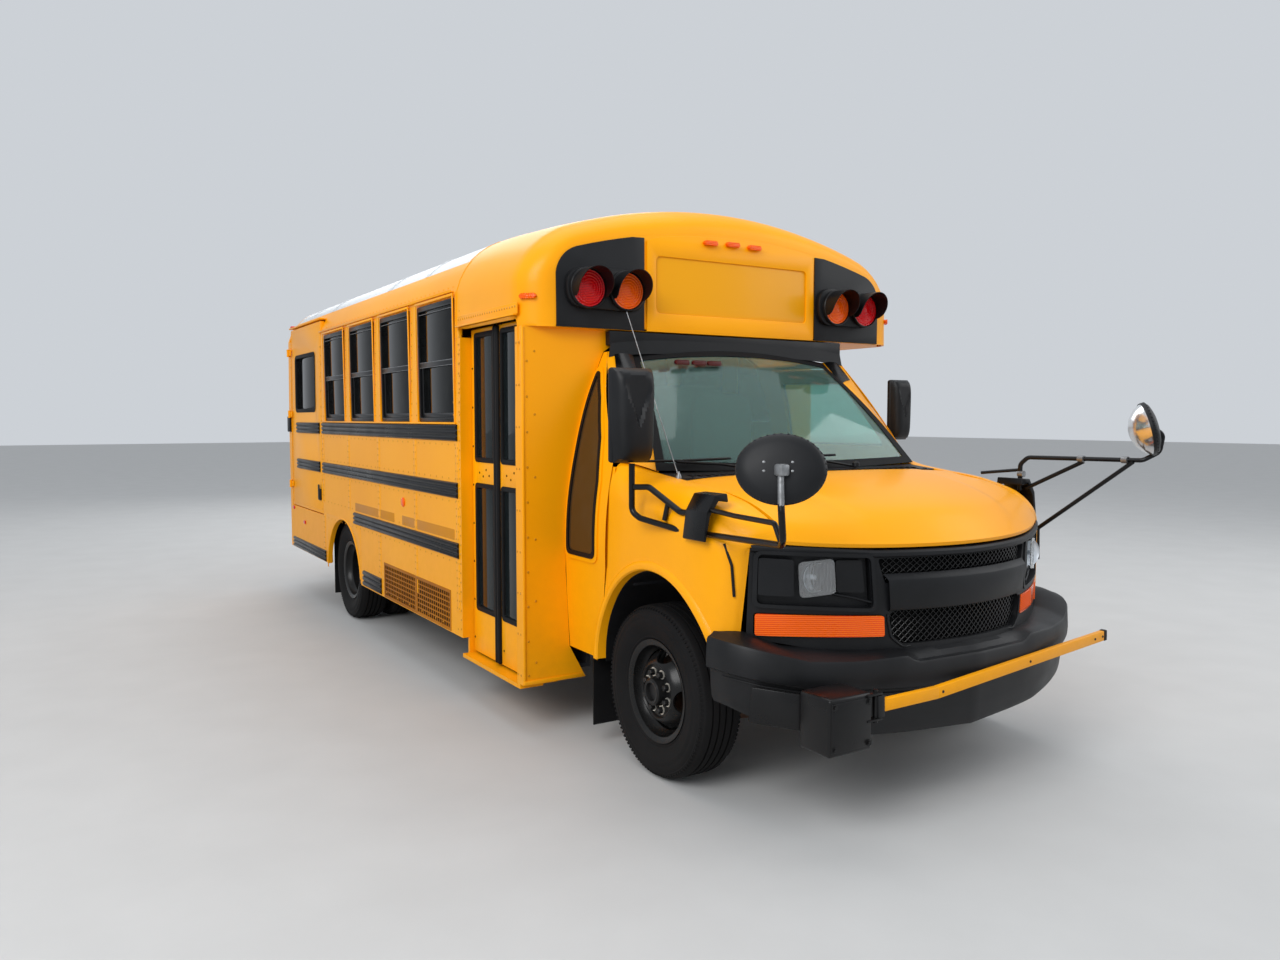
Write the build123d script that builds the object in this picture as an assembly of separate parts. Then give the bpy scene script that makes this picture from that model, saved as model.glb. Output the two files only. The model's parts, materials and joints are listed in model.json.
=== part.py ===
from build123d import *
import math
import os

os.makedirs("parts", exist_ok=True)

# Short school bus on a cutaway van chassis, in millimetres.
# X runs across with plus X on the driver's side, Y runs back, Z is up and the ground is at zero.
# Pieces are drawn with Y measured from the front axle, then moved so that Y is zero at mid length.

# Overall places along the bus
WHEELBASE = 4039
BULKHEAD_Y = 750
LEFT_BULKHEAD_Y = 1450
REAR_Y = 5750
REAR_WALL_T = 50
BUMPER_REACH = 150

# Wheels and tyres
TYRE_R = 372
TYRE_W = 215
TREAD_HALF = 84
BEAD_HALF = 72
RIM_R = 203
RIM_HALF = 83
FLANGE_R = 220
RIM_T = 7
HUB_R = 60
STUD_CIRCLE_R = 82.5
NUT_R = 14
NUT_H = 24
STUDS = 8
HAND_HOLES = 8
HAND_HOLE_R = 19
HAND_HOLE_HALF = 27
# Tyres, rims, lamps and bars are made of this many flats, so that they stay light where they repeat
RING_SIDES = 36
LAMP_SIDES = 16
BAR_SIDES = 8
FRONT_TYRE_X = 860
TWIN_OUTER_X = 1062
TWIN_PITCH = 255
KINGPIN_X = 780
KINGPIN_R = 12
SPINDLE_R = 22
REAR_SPINDLE_R = 38
RUN_GAP = 0.3

# Passenger body shell
BODY_HALF = 1219
BELT_Z = 1520
EAVE_IN = 7
EAVE_HALF = BODY_HALF - EAVE_IN
EAVE_Z = 2230
SHOULDER_IN = 312
SHOULDER_HALF = EAVE_HALF - SHOULDER_IN
SHOULDER_Z = 2534
CROWN_Z = 2700
ROOF_SAG = 62
WALL_T = 40
ROOF_T = 40
FLOOR_Z = 750
FLOOR_T = 50
SILL_T = 40
SKIRT_Z = 335
REAR_SKIRT_Z = 375
DOOR_SILL_Z = 255
CAP_REAR_Y = 1600
CAP_Z = 1977
CAP_FACE = 44
SIGN_HALF = 500
SIGN_Z = 2071
SIGN_TOP_Z = 2357
SIGN_DEPTH = 10
BROW_DEPTH = 170
# Cap cross sections at its face, its brow and the roof seam, each point as (distance in from the side, z):
# foot, eave, corner, shoulder, and the crown's height
CAP_LINES = (((161, CAP_Z), (159, 2235), (195, 2316), (269, 2365), 2497),
             ((1, CAP_Z), (6, 2215), (129, 2400), (314, 2500), 2640),
             ((4, CAP_Z), (EAVE_IN, EAVE_Z), (120, 2426), (EAVE_IN + SHOULDER_IN, SHOULDER_Z), CROWN_Z))
# Distances behind the cap's face where a section is placed
CAP_STATIONS = (0, 4, 16, 40, 75, 120, BROW_DEPTH, 300, 550, CAP_REAR_Y - BULKHEAD_Y + CAP_FACE)
ROOF_VENT = (870, 1000, 2470)

# Cab
CAB_WALL_T = 45
CAB_ROOF_HALF = 700
COWL_Y = 20
COWL_Z = 1275
HOOD_T = 14
HOOD_STEPS = 5
# Share of the way from the cowl to the hood's front edge, half width, side height, middle height
HOOD_LINES = ((0, 795, 1262, 1290), (0.12, 795, 1268, 1285), (0.35, 788, 1250, 1262),
              (0.53, 782, 1235, 1236), (0.725, 772, 1203, 1196), (0.85, 764, 1170, 1155),
              (0.93, 758, 1140, 1100), (1, 754, 1072, 1056))
LINER_Y = 440
# Half width of the cab's outer side at each height
CAB_SIDE = ((965, 420), (985, 800), (980, 1100), (940, 1359), (870, 1630), (770, 1870))
# Side view outlines of the driver's door and its window, as (y, z)
DRIVER_DOOR = ((468, 500), (458, 560), (393, 700), (370, 850), (370, 1340), (712, 1818), (1325, 1835),
               (1385, 1360), (1385, 500))
DRIVER_WINDOW = ((480, 1385), (738, 1750), (1265, 1765), (1310, 1385))
FENDER_T = 22
FENDER_STEPS = 4
APRON_GAP = 1.5
# Front wing from the door to the lamps: seam beside the hood, control point, widest side, foot
FENDER_LINES = (((868, 460, 1352), (948, 460, 1345), (966, 460, 1215), (985, 460, 500)),
                ((868, 358, 1352), (948, 358, 1345), (966, 358, 1215), (985, 358, 500)),
                ((812, 200, 1300), (950, 200, 1315), (978, 200, 1190), (990, 200, 700)),
                ((800, 0, 1276), (945, 0, 1285), (984, 0, 1165), (996, 0, 700)),
                ((796, -200, 1256), (935, -200, 1260), (984, -200, 1130), (998, -200, 700)),
                ((790, -350, 1226), (925, -350, 1228), (978, -350, 1085), (994, -350, 640)),
                ((783, -450, 1196), (905, -450, 1196), (955, -450, 1050), (972, -450, 640)),
                ((768, -560, 1135), (850, -545, 1135), (905, -515, 1030), (925, -500, 640)),
                ((760, -607, 1068), (810, -575, 1066), (862, -535, 1045), (890, -514, 640)))

# Frame and running gear
RAIL_HALF = 430
RAIL_W = 60
RAIL_Z = 510
RAIL_H = 150
RAIL_OUT = 12
# Bottom and top of the upper guard rails
RAIL_TOP = (1415, 1508)
RAIL_MID = (1100, 1188)
RAIL_LOW = (766, 854)
RAIL_SKIRT = (377, 470)
RAIL_FRONT_Y = -720
RAIL_REACH = 90
CAB_FLOOR_HALF = 905
AXLE_TUBE_R = 45
DIFF_R = 150

# Door openings
ENTRY_Y = 820
ENTRY_W = 715
ENTRY_TOP_Z = 2030
ENTRY_INSET = 65
LEAF_T = 40
LEAF_W = 345
ENTRY_PIVOT_X = ENTRY_INSET + LEAF_T / 2 - BODY_HALF
ENTRY_STILE = 55
ENTRY_WINDOWS = ((480, 1150), (1290, 1940))
JAMB_T = 19
JAMB_HALF = BODY_HALF - ENTRY_INSET - LEAF_T - JAMB_T
DOOR_GAP = 5
LIFT_Y = 4590
LIFT_W = 1105
LIFT_BOTTOM_Z = 755
LIFT_TOP_Z = 2335
LIFT_GAP = 10
# Lift door window: front, rear, bottom, top, and its corner radius
LIFT_WINDOW = (4813, 5530, 1605, 2085)
LIFT_WINDOW_R = 50
REAR_DOOR_HALF = 470
REAR_DOOR_BOTTOM_Z = 775
REAR_DOOR_TOP_Z = 2240
REAR_DOOR_GAP = 8
REAR_DOOR_WINDOW_HALF = 330
REAR_DOOR_WINDOWS = ((950, 1350), (1560, 2120))
# Fixed rear windows on both sides of the door: inner and outer distance from the middle, bottom, top
REAR_WINDOW = (600, 1080, 1540, 2120)

# Hinges: each has a fixed pin between two lugs and a barrel that turns on it
PIN_R = 5
HINGE_R = 12
HINGE_H = 50
LUG_T = 8
ENTRY_PIN_R = 6
ENTRY_PIN_IN = 30
HINGE_OUT = 19
LIFT_HINGE = (-BODY_HALF - HINGE_OUT, LIFT_Y + LIFT_W + DOOR_GAP)
LIFT_HINGE_Z = (950, 1580, 2130)
REAR_HINGE = (-466, REAR_Y + REAR_WALL_T + 14)
REAR_HINGE_Z = (900, 1450, 2120)
DRIVER_HINGE = (992, 364)
DRIVER_HINGE_Z = (840, 980)
HOOD_HINGE = (24, 1280)
HOOD_HINGE_X = 700
HOOD_BARREL_R = 7
HOOD_PIN_R = 4
HOOD_NOTCH = 14

# Condenser grille in the right skirt: front, rear, bottom, top
SKIRT_GRILLE = (1724, 2940, 352, 560)

# Roof hatch
HATCH_HALF = 300
HATCH_Y = 3400
HATCH_LIP = 25
HATCH_T = 29
HATCH_HINGE_X = 200
HATCH_BARREL_R = 6
HATCH_HINGE = (HATCH_Y + 2 * HATCH_HALF + HATCH_LIP + 7, CROWN_Z + 16)

# Stop arm and crossing arm
STOP_X = BODY_HALF + HINGE_OUT
STOP_Y = 1540
STOP_Z = 1300
STOP_BLADE_R = 225
ARM_PIVOT = (-660, -1002)
ARM_Z = 520

# Warning lamps: distances of the amber and red lamps from the middle, panel and pod outlines as (x, z)
LAMP_X = (690, 907)
LAMP_Z = 2165
LENS_R = 90
POD_R = 98
POD_REACH = 120
REAR_POD_REACH = BUMPER_REACH - REAR_WALL_T - 5
POD_BASE = 30
DRUM_DEPTH = 55
PANEL_T = 6
LAMP_PANEL = ((566, 1982), (1054, 1982), (1056, 2235), (1020, 2312), (948, 2360), (566, 2425))
LAMP_POD = ((572, 2120), (610, 2070), (970, 2070), (1010, 2110), (1014, 2220), (975, 2262),
            (620, 2275), (576, 2235))
TAIL_LAMP_X = 850
TAIL_LAMP_Z = (1000, 1250)
TAIL_LAMP_R = 85
MARKER_X = (-168, -24, 120)

# Where the warning lamps stand: place along the bus, way out, reach of their hoods
LAMP_ENDS = ((BULKHEAD_Y - CAP_FACE, -1, POD_REACH), (REAR_Y + REAR_WALL_T, 1, REAR_POD_REACH))

# Steering wheel
WHEEL_R = 195

# Mirrors
CROSS_X = 1066
CROSS_Y = -955
CROSS_R = 150
CROSS_HIGH = 122
CROSS_T = 30
CROSS_TURN = 40

# Seats: front edge of each row of benches, cushion bottom and top, back top
BENCH_Y = (1900, 2660, 3420, 4180)
BENCH_Z = (1060, 1180, 1780)
BENCH_X = (300, 1150)

# Cutters through a side wall and a cab side run between these distances from the middle
SIDE_CUT = (900, 1500)
CAB_CUT = (500, 1200)

# Windows
WINDOW_Z = 1520
WINDOW_TOP_Z = 2200
SASH_T = 22
SASH_RIM = 22
MID_RAIL_Z = 1854
MID_RAIL_HALF = 14
GLASS_T = 5
GLASS_INSET = 16
# Middle and width of each side window along the bus
WINDOW_W = 590
RIGHT_WINDOWS = tuple((1919 + 752 * index, WINDOW_W) for index in range(4))
LEFT_WINDOWS = RIGHT_WINDOWS + ((1919 + 752 * 4, WINDOW_W),)

# Licence plate hole pattern on the rear wall
PLATE_X = -780
PLATE_Z = 820
PLATE_DX = 178
PLATE_DZ = 121
PLATE_HOLE_R = 3.5

# Rear wheel arch
ARCH_FRONT_Y = 3520
ARCH_REAR_Y = 4480
ARCH_TOP_Z = 773
ARCH_CORNER_R = 170
FRONT_ARCH_R = 465
FRONT_ARCH_Y = -30
FRONT_ARCH_Z = 440

# Bumpers and front
BUMPER_Z = 400
BUMPER_T = 70
BUMPER_PLAN = ((0, -925), (400, -882), (700, -800), (900, -690), (985, -580), (1005, -455))
BUMPER_END_Y = -450
# Top of the bumper's face from the middle to its end, as (x, z)
BUMPER_TOP = ((0, 612), (320, 612), (377, 636), (573, 631), (760, 641), (917, 682), (1010, 705))
FASCIA_Z = 640
FASCIA_HALF = 862
# Top edge of the moulded front, as (x, z) from the middle out
FASCIA_TOP = ((0, 1028), (443, 1031), (659, 1046), (FASCIA_HALF, 1058))
FASCIA_T = 60
NOSE_Y = -868
NOSE_BOW = 0.448
# Lamps in the fascia: inner and outer distance from the middle, bottom, top
LAMP_POCKET = (455, 842, 833, 1012)
LAMP_POCKET_DEPTH = 28
HEADLAMP = (586, 712, 860, 1000)
TURN_LAMP = (408, 850, 702, 790)

# The round crossover mirrors reach furthest forward
FRONT_END_Y = CROSS_Y - CROSS_R * math.sin(math.radians(CROSS_TURN)) - CROSS_T / 2 * math.cos(
    math.radians(CROSS_TURN))
MOVE_Y = -(FRONT_END_Y + REAR_Y + BUMPER_REACH) / 2


def save(name, *solids):
    """Write one node as a STEP file, moved to the row's origin."""
    flat = []
    for shape in solids:
        flat.extend(shape.solids())
    moved = [Pos(0, MOVE_Y, 0) * solid for solid in flat]
    export_step(Compound(children=moved) if len(moved) > 1 else moved[0], "parts/" + name + ".step")


def block(x0, x1, y0, y1, z0, z1):
    """Box between two corners."""
    centre = Pos((x0 + x1) / 2, (y0 + y1) / 2, (z0 + z1) / 2)
    return centre * Box(abs(x1 - x0), abs(y1 - y0), abs(z1 - z0))


def prism_x(outline, x0, x1):
    """Side view outline of (y, z) points, carried across from x0 to x1."""
    face = Plane.YZ * make_face(Polyline(*outline, close=True))
    low, high = sorted((x0, x1))
    return Pos(low, 0, 0) * extrude(face, high - low, dir=(1, 0, 0))


def prism_y(outline, y0, y1):
    """Front view outline of (x, z) points, carried back from y0 to y1."""
    face = Plane.XZ * make_face(Polyline(*outline, close=True))
    return Pos(0, y0, 0) * extrude(face, y1 - y0, dir=(0, 1, 0))


def prism_z(outline, z0, z1):
    """Plan outline of (x, y) points, carried up from z0 to z1."""
    face = make_face(Polyline(*outline, close=True))
    return Pos(0, 0, z0) * extrude(face, z1 - z0, dir=(0, 0, 1))


def rod(start, end, radius):
    """Round bar between two points."""
    line = Vector(*end) - Vector(*start)
    plane = Plane(origin=start, z_dir=line)
    return plane * Pos(0, 0, line.length / 2) * Cylinder(radius, line.length)


def on_side(shape, side):
    """The shape drawn for plus X, on either side."""
    return shape if side > 0 else mirror(shape, Plane.YZ)


def turned(profile, x, y, z):
    """Profile of (x, radius) points turned about an axle at that place."""
    face = make_face(Polyline(*profile, close=True))
    return Pos(x, y, z) * revolve(face, Axis.X)


def flat_face(*points):
    """Flat face with straight edges through the points."""
    return Face(Wire.make_polygon(points, close=True))


def cells(rows, around=False):
    """Triangles between neighbouring rows of points; around joins each row's end to its start."""
    faces = []
    for low, high in zip(rows, rows[1:]):
        for index in range(len(low) if around else len(low) - 1):
            other = (index + 1) % len(low)
            faces.append(flat_face(low[index], low[other], high[other]))
            faces.append(flat_face(low[index], high[other], high[index]))
    return faces


def through(rows):
    """Solid of flats through closed sections, capped at both ends."""
    return Solid(Shell(cells(rows, True) + [flat_face(*rows[0]), flat_face(*rows[-1])]))


def sheet(outer, inner):
    """Solid between two grids of points, closed along its edges."""
    faces = cells(outer) + cells(inner) + cells([outer[0], inner[0]]) + cells([outer[-1], inner[-1]])
    for end in (0, -1):
        faces += cells([[row[end] for row in outer], [row[end] for row in inner]])
    return Solid(Shell(faces))


def moved_in(rows, depth):
    """Grid of points moved a depth inwards, square to its surface."""
    moved = []
    for i, row in enumerate(rows):
        line = []
        for j, point in enumerate(row):
            along = Vector(*row[min(j + 1, len(row) - 1)]) - Vector(*row[max(j - 1, 0)])
            across = Vector(*rows[min(i + 1, len(rows) - 1)][j]) - Vector(*rows[max(i - 1, 0)][j])
            inward = along.cross(across).normalized() * depth
            line.append((point[0] + inward.X, point[1] + inward.Y, point[2] + inward.Z))
        moved.append(line)
    return moved


def flat_ring(loop):
    """Ring of flats: a closed loop of (x, radius) points carried round the X axis in straight steps."""
    step = 2 * math.pi / RING_SIDES
    reach = 1 / math.cos(step / 2)
    rows = []
    for index in range(RING_SIDES):
        turn = (index + 0.5) * step
        rows.append([(x, r * reach * math.cos(turn), r * reach * math.sin(turn)) for x, r in loop])
    faces = []
    for row, other in zip(rows, rows[1:] + rows[:1]):
        for index in range(len(loop)):
            following = (index + 1) % len(loop)
            faces.append(flat_face(row[index], row[following], other[following], other[index]))
    return Solid(Shell(faces))


def flat_bar(start, end, radius, sides=BAR_SIDES):
    """Straight bar of flats between two points."""
    line = Vector(*end) - Vector(*start)
    section = Plane(origin=start, z_dir=line) * RegularPolygon(radius, sides, major_radius=False)
    return extrude(section, line.length)


def half_at(z):
    """Half width of the body at a height."""
    if z <= BELT_Z:
        return BODY_HALF
    return BODY_HALF - (BODY_HALF - EAVE_HALF) * (z - BELT_Z) / (EAVE_Z - BELT_Z)


def side_band(outside, inside, y0, y1, z0, z1):
    """Slice of the plus X side wall between two depths from its outer face."""
    heights = [z0] + [z for z in (BELT_Z,) if z0 < z < z1] + [z1]
    outer = [(half_at(z) - outside, z) for z in heights]
    inner = [(half_at(z) - inside, z) for z in reversed(heights)]
    return prism_y(outer + inner, y0, y1)


def roof_edges(inset):
    """Roof line from the left eave over the crown to the right eave, moved in by an inset."""
    ex, ez = EAVE_HALF - inset, EAVE_Z
    sx, sz = SHOULDER_HALF - inset * 0.6, SHOULDER_Z - inset * 0.8
    chord = Vector(sx - ex, sz - ez)
    out = Vector(chord.Y, -chord.X).normalized() * ROOF_SAG
    mx, mz = (ex + sx) / 2 + out.X, (ez + sz) / 2 + out.Y
    left = ThreePointArc((-ex, ez), (-mx, mz), (-sx, sz))
    top = ThreePointArc((-sx, sz), (0, CROWN_Z - inset), (sx, sz))
    right = ThreePointArc((sx, sz), (mx, mz), (ex, ez))
    return [left, top, right], ex, ez


def ring_x(outline_box, rim, x0, x1):
    """Rectangular ring in side view: (y0, y1, z0, z1) outside, with a rim."""
    y0, y1, z0, z1 = outline_box
    outer = block(x0, x1, y0, y1, z0, z1)
    return outer - block(x0 - 1, x1 + 1, y0 + rim, y1 - rim, z0 + rim, z1 - rim)


def hinge(x, y, z, fixed_plan, leaf_plan):
    """Upright hinge: the fixed pin with its lugs, and the barrel with its leaf."""
    half = HINGE_H / 2
    place = Pos(x, y, z)
    fixed = place * Cylinder(PIN_R, HINGE_H + 2 * LUG_T)
    for s in (-1, 1):
        low, high = sorted((z + s * (half + RUN_GAP), z + s * (half + LUG_T)))
        fixed += block(*fixed_plan, low, high)
        fixed += Pos(x, y, (low + high) / 2) * Cylinder(HINGE_R, high - low)
    barrel = place * Cylinder(HINGE_R, HINGE_H) + block(*leaf_plan, z - half, z + half)
    return fixed, barrel - place * Cylinder(PIN_R + RUN_GAP, HINGE_H + 2)


def hinge_room(x, y, z):
    """Room that a door leaves free round the fixed lugs of its hinge."""
    return Pos(x, y, z) * Cylinder(HINGE_R + DOOR_GAP, HINGE_H + 2 * (LUG_T + DOOR_GAP))


# Wheels

def tyre(x, y):
    """Tyre with crowned shoulders and sloping sides, open at its beads."""
    half = TYRE_W / 2
    belly = (TYRE_R + FLANGE_R) / 2
    bead = FLANGE_R + 3
    bore = RIM_R + RUN_GAP
    return Pos(x, y, TYRE_R) * flat_ring([
        (-BEAD_HALF, bore), (-BEAD_HALF, bead), (-half, belly), (-TREAD_HALF, TYRE_R), (TREAD_HALF, TYRE_R),
        (half, belly), (BEAD_HALF, bead), (BEAD_HALF, bore)])


def rim(ring_x, nave_x):
    """Rim with its flanges, and its disc stepped in or out to the nave that takes the studs."""
    lip = BEAD_HALF + RUN_GAP
    inside = RIM_R - RIM_T
    nave = STUD_CIRCLE_R + NUT_R + 12
    near, far = (nave, nave - RIM_T) if nave_x > ring_x else (nave - RIM_T, nave)
    disc = flat_ring([
        (-RIM_HALF, inside), (-RIM_HALF, FLANGE_R), (-lip, FLANGE_R), (-lip, RIM_R), (lip, RIM_R),
        (lip, FLANGE_R), (RIM_HALF, FLANGE_R), (RIM_HALF, inside), (ring_x, inside), (ring_x, near),
        (nave_x, near), (nave_x, HUB_R - 10), (nave_x - RIM_T, HUB_R - 10), (nave_x - RIM_T, far),
        (ring_x - RIM_T, far),
        (ring_x - RIM_T, inside)])
    return disc - hand_holes(ring_x, (inside + nave) / 2)


def hand_holes(x, middle):
    """Cutters for the oval hand holes round a disc."""
    oval = []
    for index in range(BAR_SIDES):
        turn = 2 * math.pi * (index + 0.5) / BAR_SIDES
        oval.append((HAND_HOLE_HALF * math.cos(turn), middle + HAND_HOLE_R * math.sin(turn)))
    cutter = prism_x(oval, x - 2 * RIM_T, x + 2 * RIM_T)
    return [Rot(360 * (index + 0.5) / HAND_HOLES, 0, 0) * cutter for index in range(HAND_HOLES)]


def wheel_nuts(x):
    """Hexagon nuts on the studs, standing out from a place along the axle."""
    nuts = []
    for index in range(STUDS):
        turn = 2 * math.pi * index / STUDS
        y, z = STUD_CIRCLE_R * math.cos(turn), STUD_CIRCLE_R * math.sin(turn)
        nuts.append(flat_bar((x - 1, y, z), (x + NUT_H, y, z), NUT_R, 6))
    return nuts


def hub(x0, x1, radius, bore_r, bore_end):
    """Hub of flats with a round bore for its spindle, open at x0."""
    bore = rod((x0 - 1, 0, 0), (bore_end, 0, 0), bore_r)
    return flat_bar((x0, 0, 0), (x1, 0, 0), radius, LAMP_SIDES) - bore


def front_wheel(side):
    """Front wheel whose nave stands out, with its hub on the spindle."""
    nave_x = 70
    wheel = rim(48, nave_x) + hub(-30, 112, HUB_R, SPINDLE_R + RUN_GAP, 60) + wheel_nuts(nave_x)
    return Pos(side * FRONT_TYRE_X, 0, TYRE_R) * on_side(wheel, side)


def rear_wheels(side):
    """Outer and inner twin rims back to back on one hub."""
    meet = TWIN_PITCH / 2
    ring_x = RIM_HALF - 20
    wheels = rim(ring_x, meet) + Pos(TWIN_PITCH, 0, 0) * rim(-ring_x, RIM_T - meet)
    wheels += wheel_nuts(meet + RIM_T)
    wheels += hub(-60, TWIN_PITCH + 40, HUB_R, REAR_SPINDLE_R + RUN_GAP, TWIN_PITCH + 10)
    return Pos(side * (TWIN_OUTER_X - TWIN_PITCH), WHEELBASE, TYRE_R) * on_side(wheels, side)


# Running gear

def knuckle(side):
    """Steering knuckle: upright with ball joint bores and the wheel spindle."""
    upright = block(KINGPIN_X - 32, KINGPIN_X + 32, -40, 40, 250, 500)
    upright -= Pos(KINGPIN_X, 0, 375) * Cylinder(KINGPIN_R + RUN_GAP, 300)
    upright += rod((KINGPIN_X + 20, 0, TYRE_R), (FRONT_TYRE_X + 55, 0, TYRE_R), SPINDLE_R)
    upright -= Pos(KINGPIN_X, 0, 375) * Cylinder(KINGPIN_R + RUN_GAP, 300)
    arm = block(KINGPIN_X - 30, KINGPIN_X - 6, 38, 150, 285, 310)
    disc = flat_bar((KINGPIN_X + 34, 0, TYRE_R), (KINGPIN_X + 46, 0, TYRE_R), 150, LAMP_SIDES)
    return on_side(upright + arm + disc, side)


def front_suspension():
    """Crossmember, lower and upper arms and the ball joint pins that carry the knuckles."""
    beam = block(-RAIL_HALF - 10, RAIL_HALF + 10, -110, 110, 330, 400)
    towers = [block(s * RAIL_HALF, s * (RAIL_HALF + 70), -90, 90, 330, 560) for s in (-1, 1)]
    solid = beam + towers[0] + towers[1]
    for s in (-1, 1):
        lower = prism_z([(s * (RAIL_HALF + 60), -110), (s * (KINGPIN_X + 20), -22),
                         (s * (KINGPIN_X + 20), 22), (s * (RAIL_HALF + 60), 110)], 212, 244)
        drop = block(s * (RAIL_HALF + 10), s * (RAIL_HALF + 70), -110, 110, 212, 340)
        upper = prism_z([(s * (RAIL_HALF + 40), -60), (s * (KINGPIN_X + 20), -20),
                         (s * (KINGPIN_X + 20), 20), (s * (RAIL_HALF + 40), 60)], 506, 530)
        low_pin = rod((s * KINGPIN_X, 0, 240), (s * KINGPIN_X, 0, 300), KINGPIN_R)
        top_pin = rod((s * KINGPIN_X, 0, 450), (s * KINGPIN_X, 0, 510), KINGPIN_R)
        solid = solid + lower + drop + upper + low_pin + top_pin
    return solid


def rear_axle():
    """Live axle: tube, differential, spindles and leaf springs."""
    reach = TWIN_OUTER_X - TWIN_PITCH
    place = Pos(0, WHEELBASE, TYRE_R)
    half = flat_bar((-1, 0, 0), (reach - 90, 0, 0), AXLE_TUBE_R, LAMP_SIDES)
    half += flat_bar((-1, 0, 0), (60, 0, 0), DIFF_R, LAMP_SIDES)
    half += flat_bar((59, 0, 0), (130, 0, 0), AXLE_TUBE_R + 40, LAMP_SIDES)
    half += rod((reach - 100, 0, 0), (reach + 240, 0, 0), REAR_SPINDLE_R)
    axle = place * (half + mirror(half, Plane.YZ))
    for s in (-1, 1):
        spring = [(WHEELBASE - 700, 505), (WHEELBASE - 300, 350), (WHEELBASE, 318), (WHEELBASE + 300, 350),
                  (WHEELBASE + 700, 505), (WHEELBASE + 700, 470), (WHEELBASE + 300, 310),
                  (WHEELBASE, 278), (WHEELBASE - 300, 310), (WHEELBASE - 700, 470)]
        axle += prism_x(spring, s * (RAIL_HALF + 10), s * (RAIL_HALF + 75))
        axle += block(s * (RAIL_HALF + 5), s * (RAIL_HALF + 80), WHEELBASE - 60, WHEELBASE + 60, 270, 400)
    return axle


def frame_rails():
    """Ladder frame with cross members."""
    front = RAIL_FRONT_Y
    back = REAR_Y + REAR_WALL_T + RAIL_REACH - 10
    rails = block(-RAIL_HALF, -RAIL_HALF + RAIL_W, front, back, RAIL_Z, RAIL_Z + RAIL_H)
    rails += block(RAIL_HALF - RAIL_W, RAIL_HALF, front, back, RAIL_Z, RAIL_Z + RAIL_H)
    for y in (front + 30, 560, 1700, 2700, 3300, 4700, 5600):
        rails += block(-RAIL_HALF + 10, RAIL_HALF - 10, y, y + 60, RAIL_Z + 20, RAIL_Z + 90)
    for s in (-1, 1):
        for y in (WHEELBASE - 700, WHEELBASE + 700):
            rails += block(s * (RAIL_HALF - 5), s * (RAIL_HALF + 75), y - 30, y + 30, 505, 600)
    return rails - rod((0, 900, 610), (0, WHEELBASE - DIFF_R - 40, 470), 50)


def powertrain():
    """Engine block, gearbox, drive shaft and exhaust."""
    engine = block(-300, 300, -560, 225, 620, 1100)
    gearbox = block(-160, 160, 225, 900, 620, 690)
    shaft = rod((0, 900, 610), (0, WHEELBASE - DIFF_R - 40, 470), 38)
    feet = [block(s * 290, s * (RAIL_HALF - RAIL_W), -200, -120, 625, 650) for s in (-1, 1)]
    return engine + gearbox + shaft + feet[0] + feet[1]


def exhaust():
    """Exhaust pipe with its silencer along the right rail."""
    pipe = flat_bar((-340, 300, 440), (-340, 3170, 440), 30)
    pipe += flat_bar((-340, 3140, 440), (-1120, 3230, 330), 30)
    pipe += flat_bar((-340, 2000, 440), (-340, 2600, 440), 65, LAMP_SIDES)
    for y in (1000, 2900):
        pipe += block(-400, -350, y, y + 30, 440, RAIL_Z)
    return pipe


def fuel_tank():
    """Fuel tank behind the axle between the rails, on two straps."""
    tank = fillet(block(-330, 330, 4900, 5560, 300, 480).edges().filter_by(Axis.Y), 40)
    reach = RAIL_HALF - RAIL_W
    straps = [block(-reach, reach, y, y + 40, 476, RAIL_Z + 40) for y in (5000, 5400)]
    return tank + straps[0] + straps[1]


# Passenger body

def window_holes(windows):
    """Cutters for the side windows."""
    return [block(*SIDE_CUT, y - w / 2, y + w / 2, WINDOW_Z, WINDOW_TOP_Z) for y, w in windows]


def arch_cutter():
    """Cutter for the rear wheel arch in the side skirt."""
    cutter = block(*SIDE_CUT, ARCH_FRONT_Y, ARCH_REAR_Y, 100, ARCH_TOP_Z)
    edges = cutter.edges().filter_by(Axis.X).sort_by(Axis.Z)[-2:]
    return fillet(edges, ARCH_CORNER_R)


def side_wall(side):
    """Side wall with its windows, wheel arch and door openings cut."""
    start = ENTRY_Y + ENTRY_W if side < 0 else LEFT_BULKHEAD_Y + WALL_T
    wall = side_band(0, WALL_T, start, REAR_Y, SKIRT_Z, EAVE_Z)
    wall -= block(*SIDE_CUT, start - 1, CAP_REAR_Y, CAP_Z, EAVE_Z + 1)
    if side < 0:
        wall -= block(*SIDE_CUT, LIFT_Y, LIFT_Y + LIFT_W + LIFT_GAP, LIFT_BOTTOM_Z, LIFT_TOP_Z)
        wall += block(JAMB_HALF, BODY_HALF - WALL_T + 1, start, start + JAMB_T, DOOR_SILL_Z - 25, CAP_Z)
    for hole in window_holes(RIGHT_WINDOWS if side < 0 else LEFT_WINDOWS):
        wall -= hole
    wall -= arch_cutter()
    wall -= block(*SIDE_CUT, ARCH_REAR_Y - 10, REAR_Y, 200, REAR_SKIRT_Z)
    if side > 0:
        return wall + stop_bracket()
    wall -= block(BODY_HALF - WALL_T - 1, BODY_HALF - 10, *SKIRT_GRILLE)
    wall -= block(BODY_HALF - 4, BODY_HALF + 1, *SKIRT_GRILLE)
    wall = on_side(wall, side)
    for fixed, _ in lift_hinges():
        wall += fixed
    return wall


def lift_hinges():
    """Hinges at the lift door's rear edge."""
    x, y = LIFT_HINGE
    fixed_plan = (x + 2, 30 - BODY_HALF, y, y + 38)
    leaf_plan = (x + 2, 30 - BODY_HALF, y - 38, y)
    return [hinge(x, y, z, fixed_plan, leaf_plan) for z in LIFT_HINGE_Z]


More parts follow.
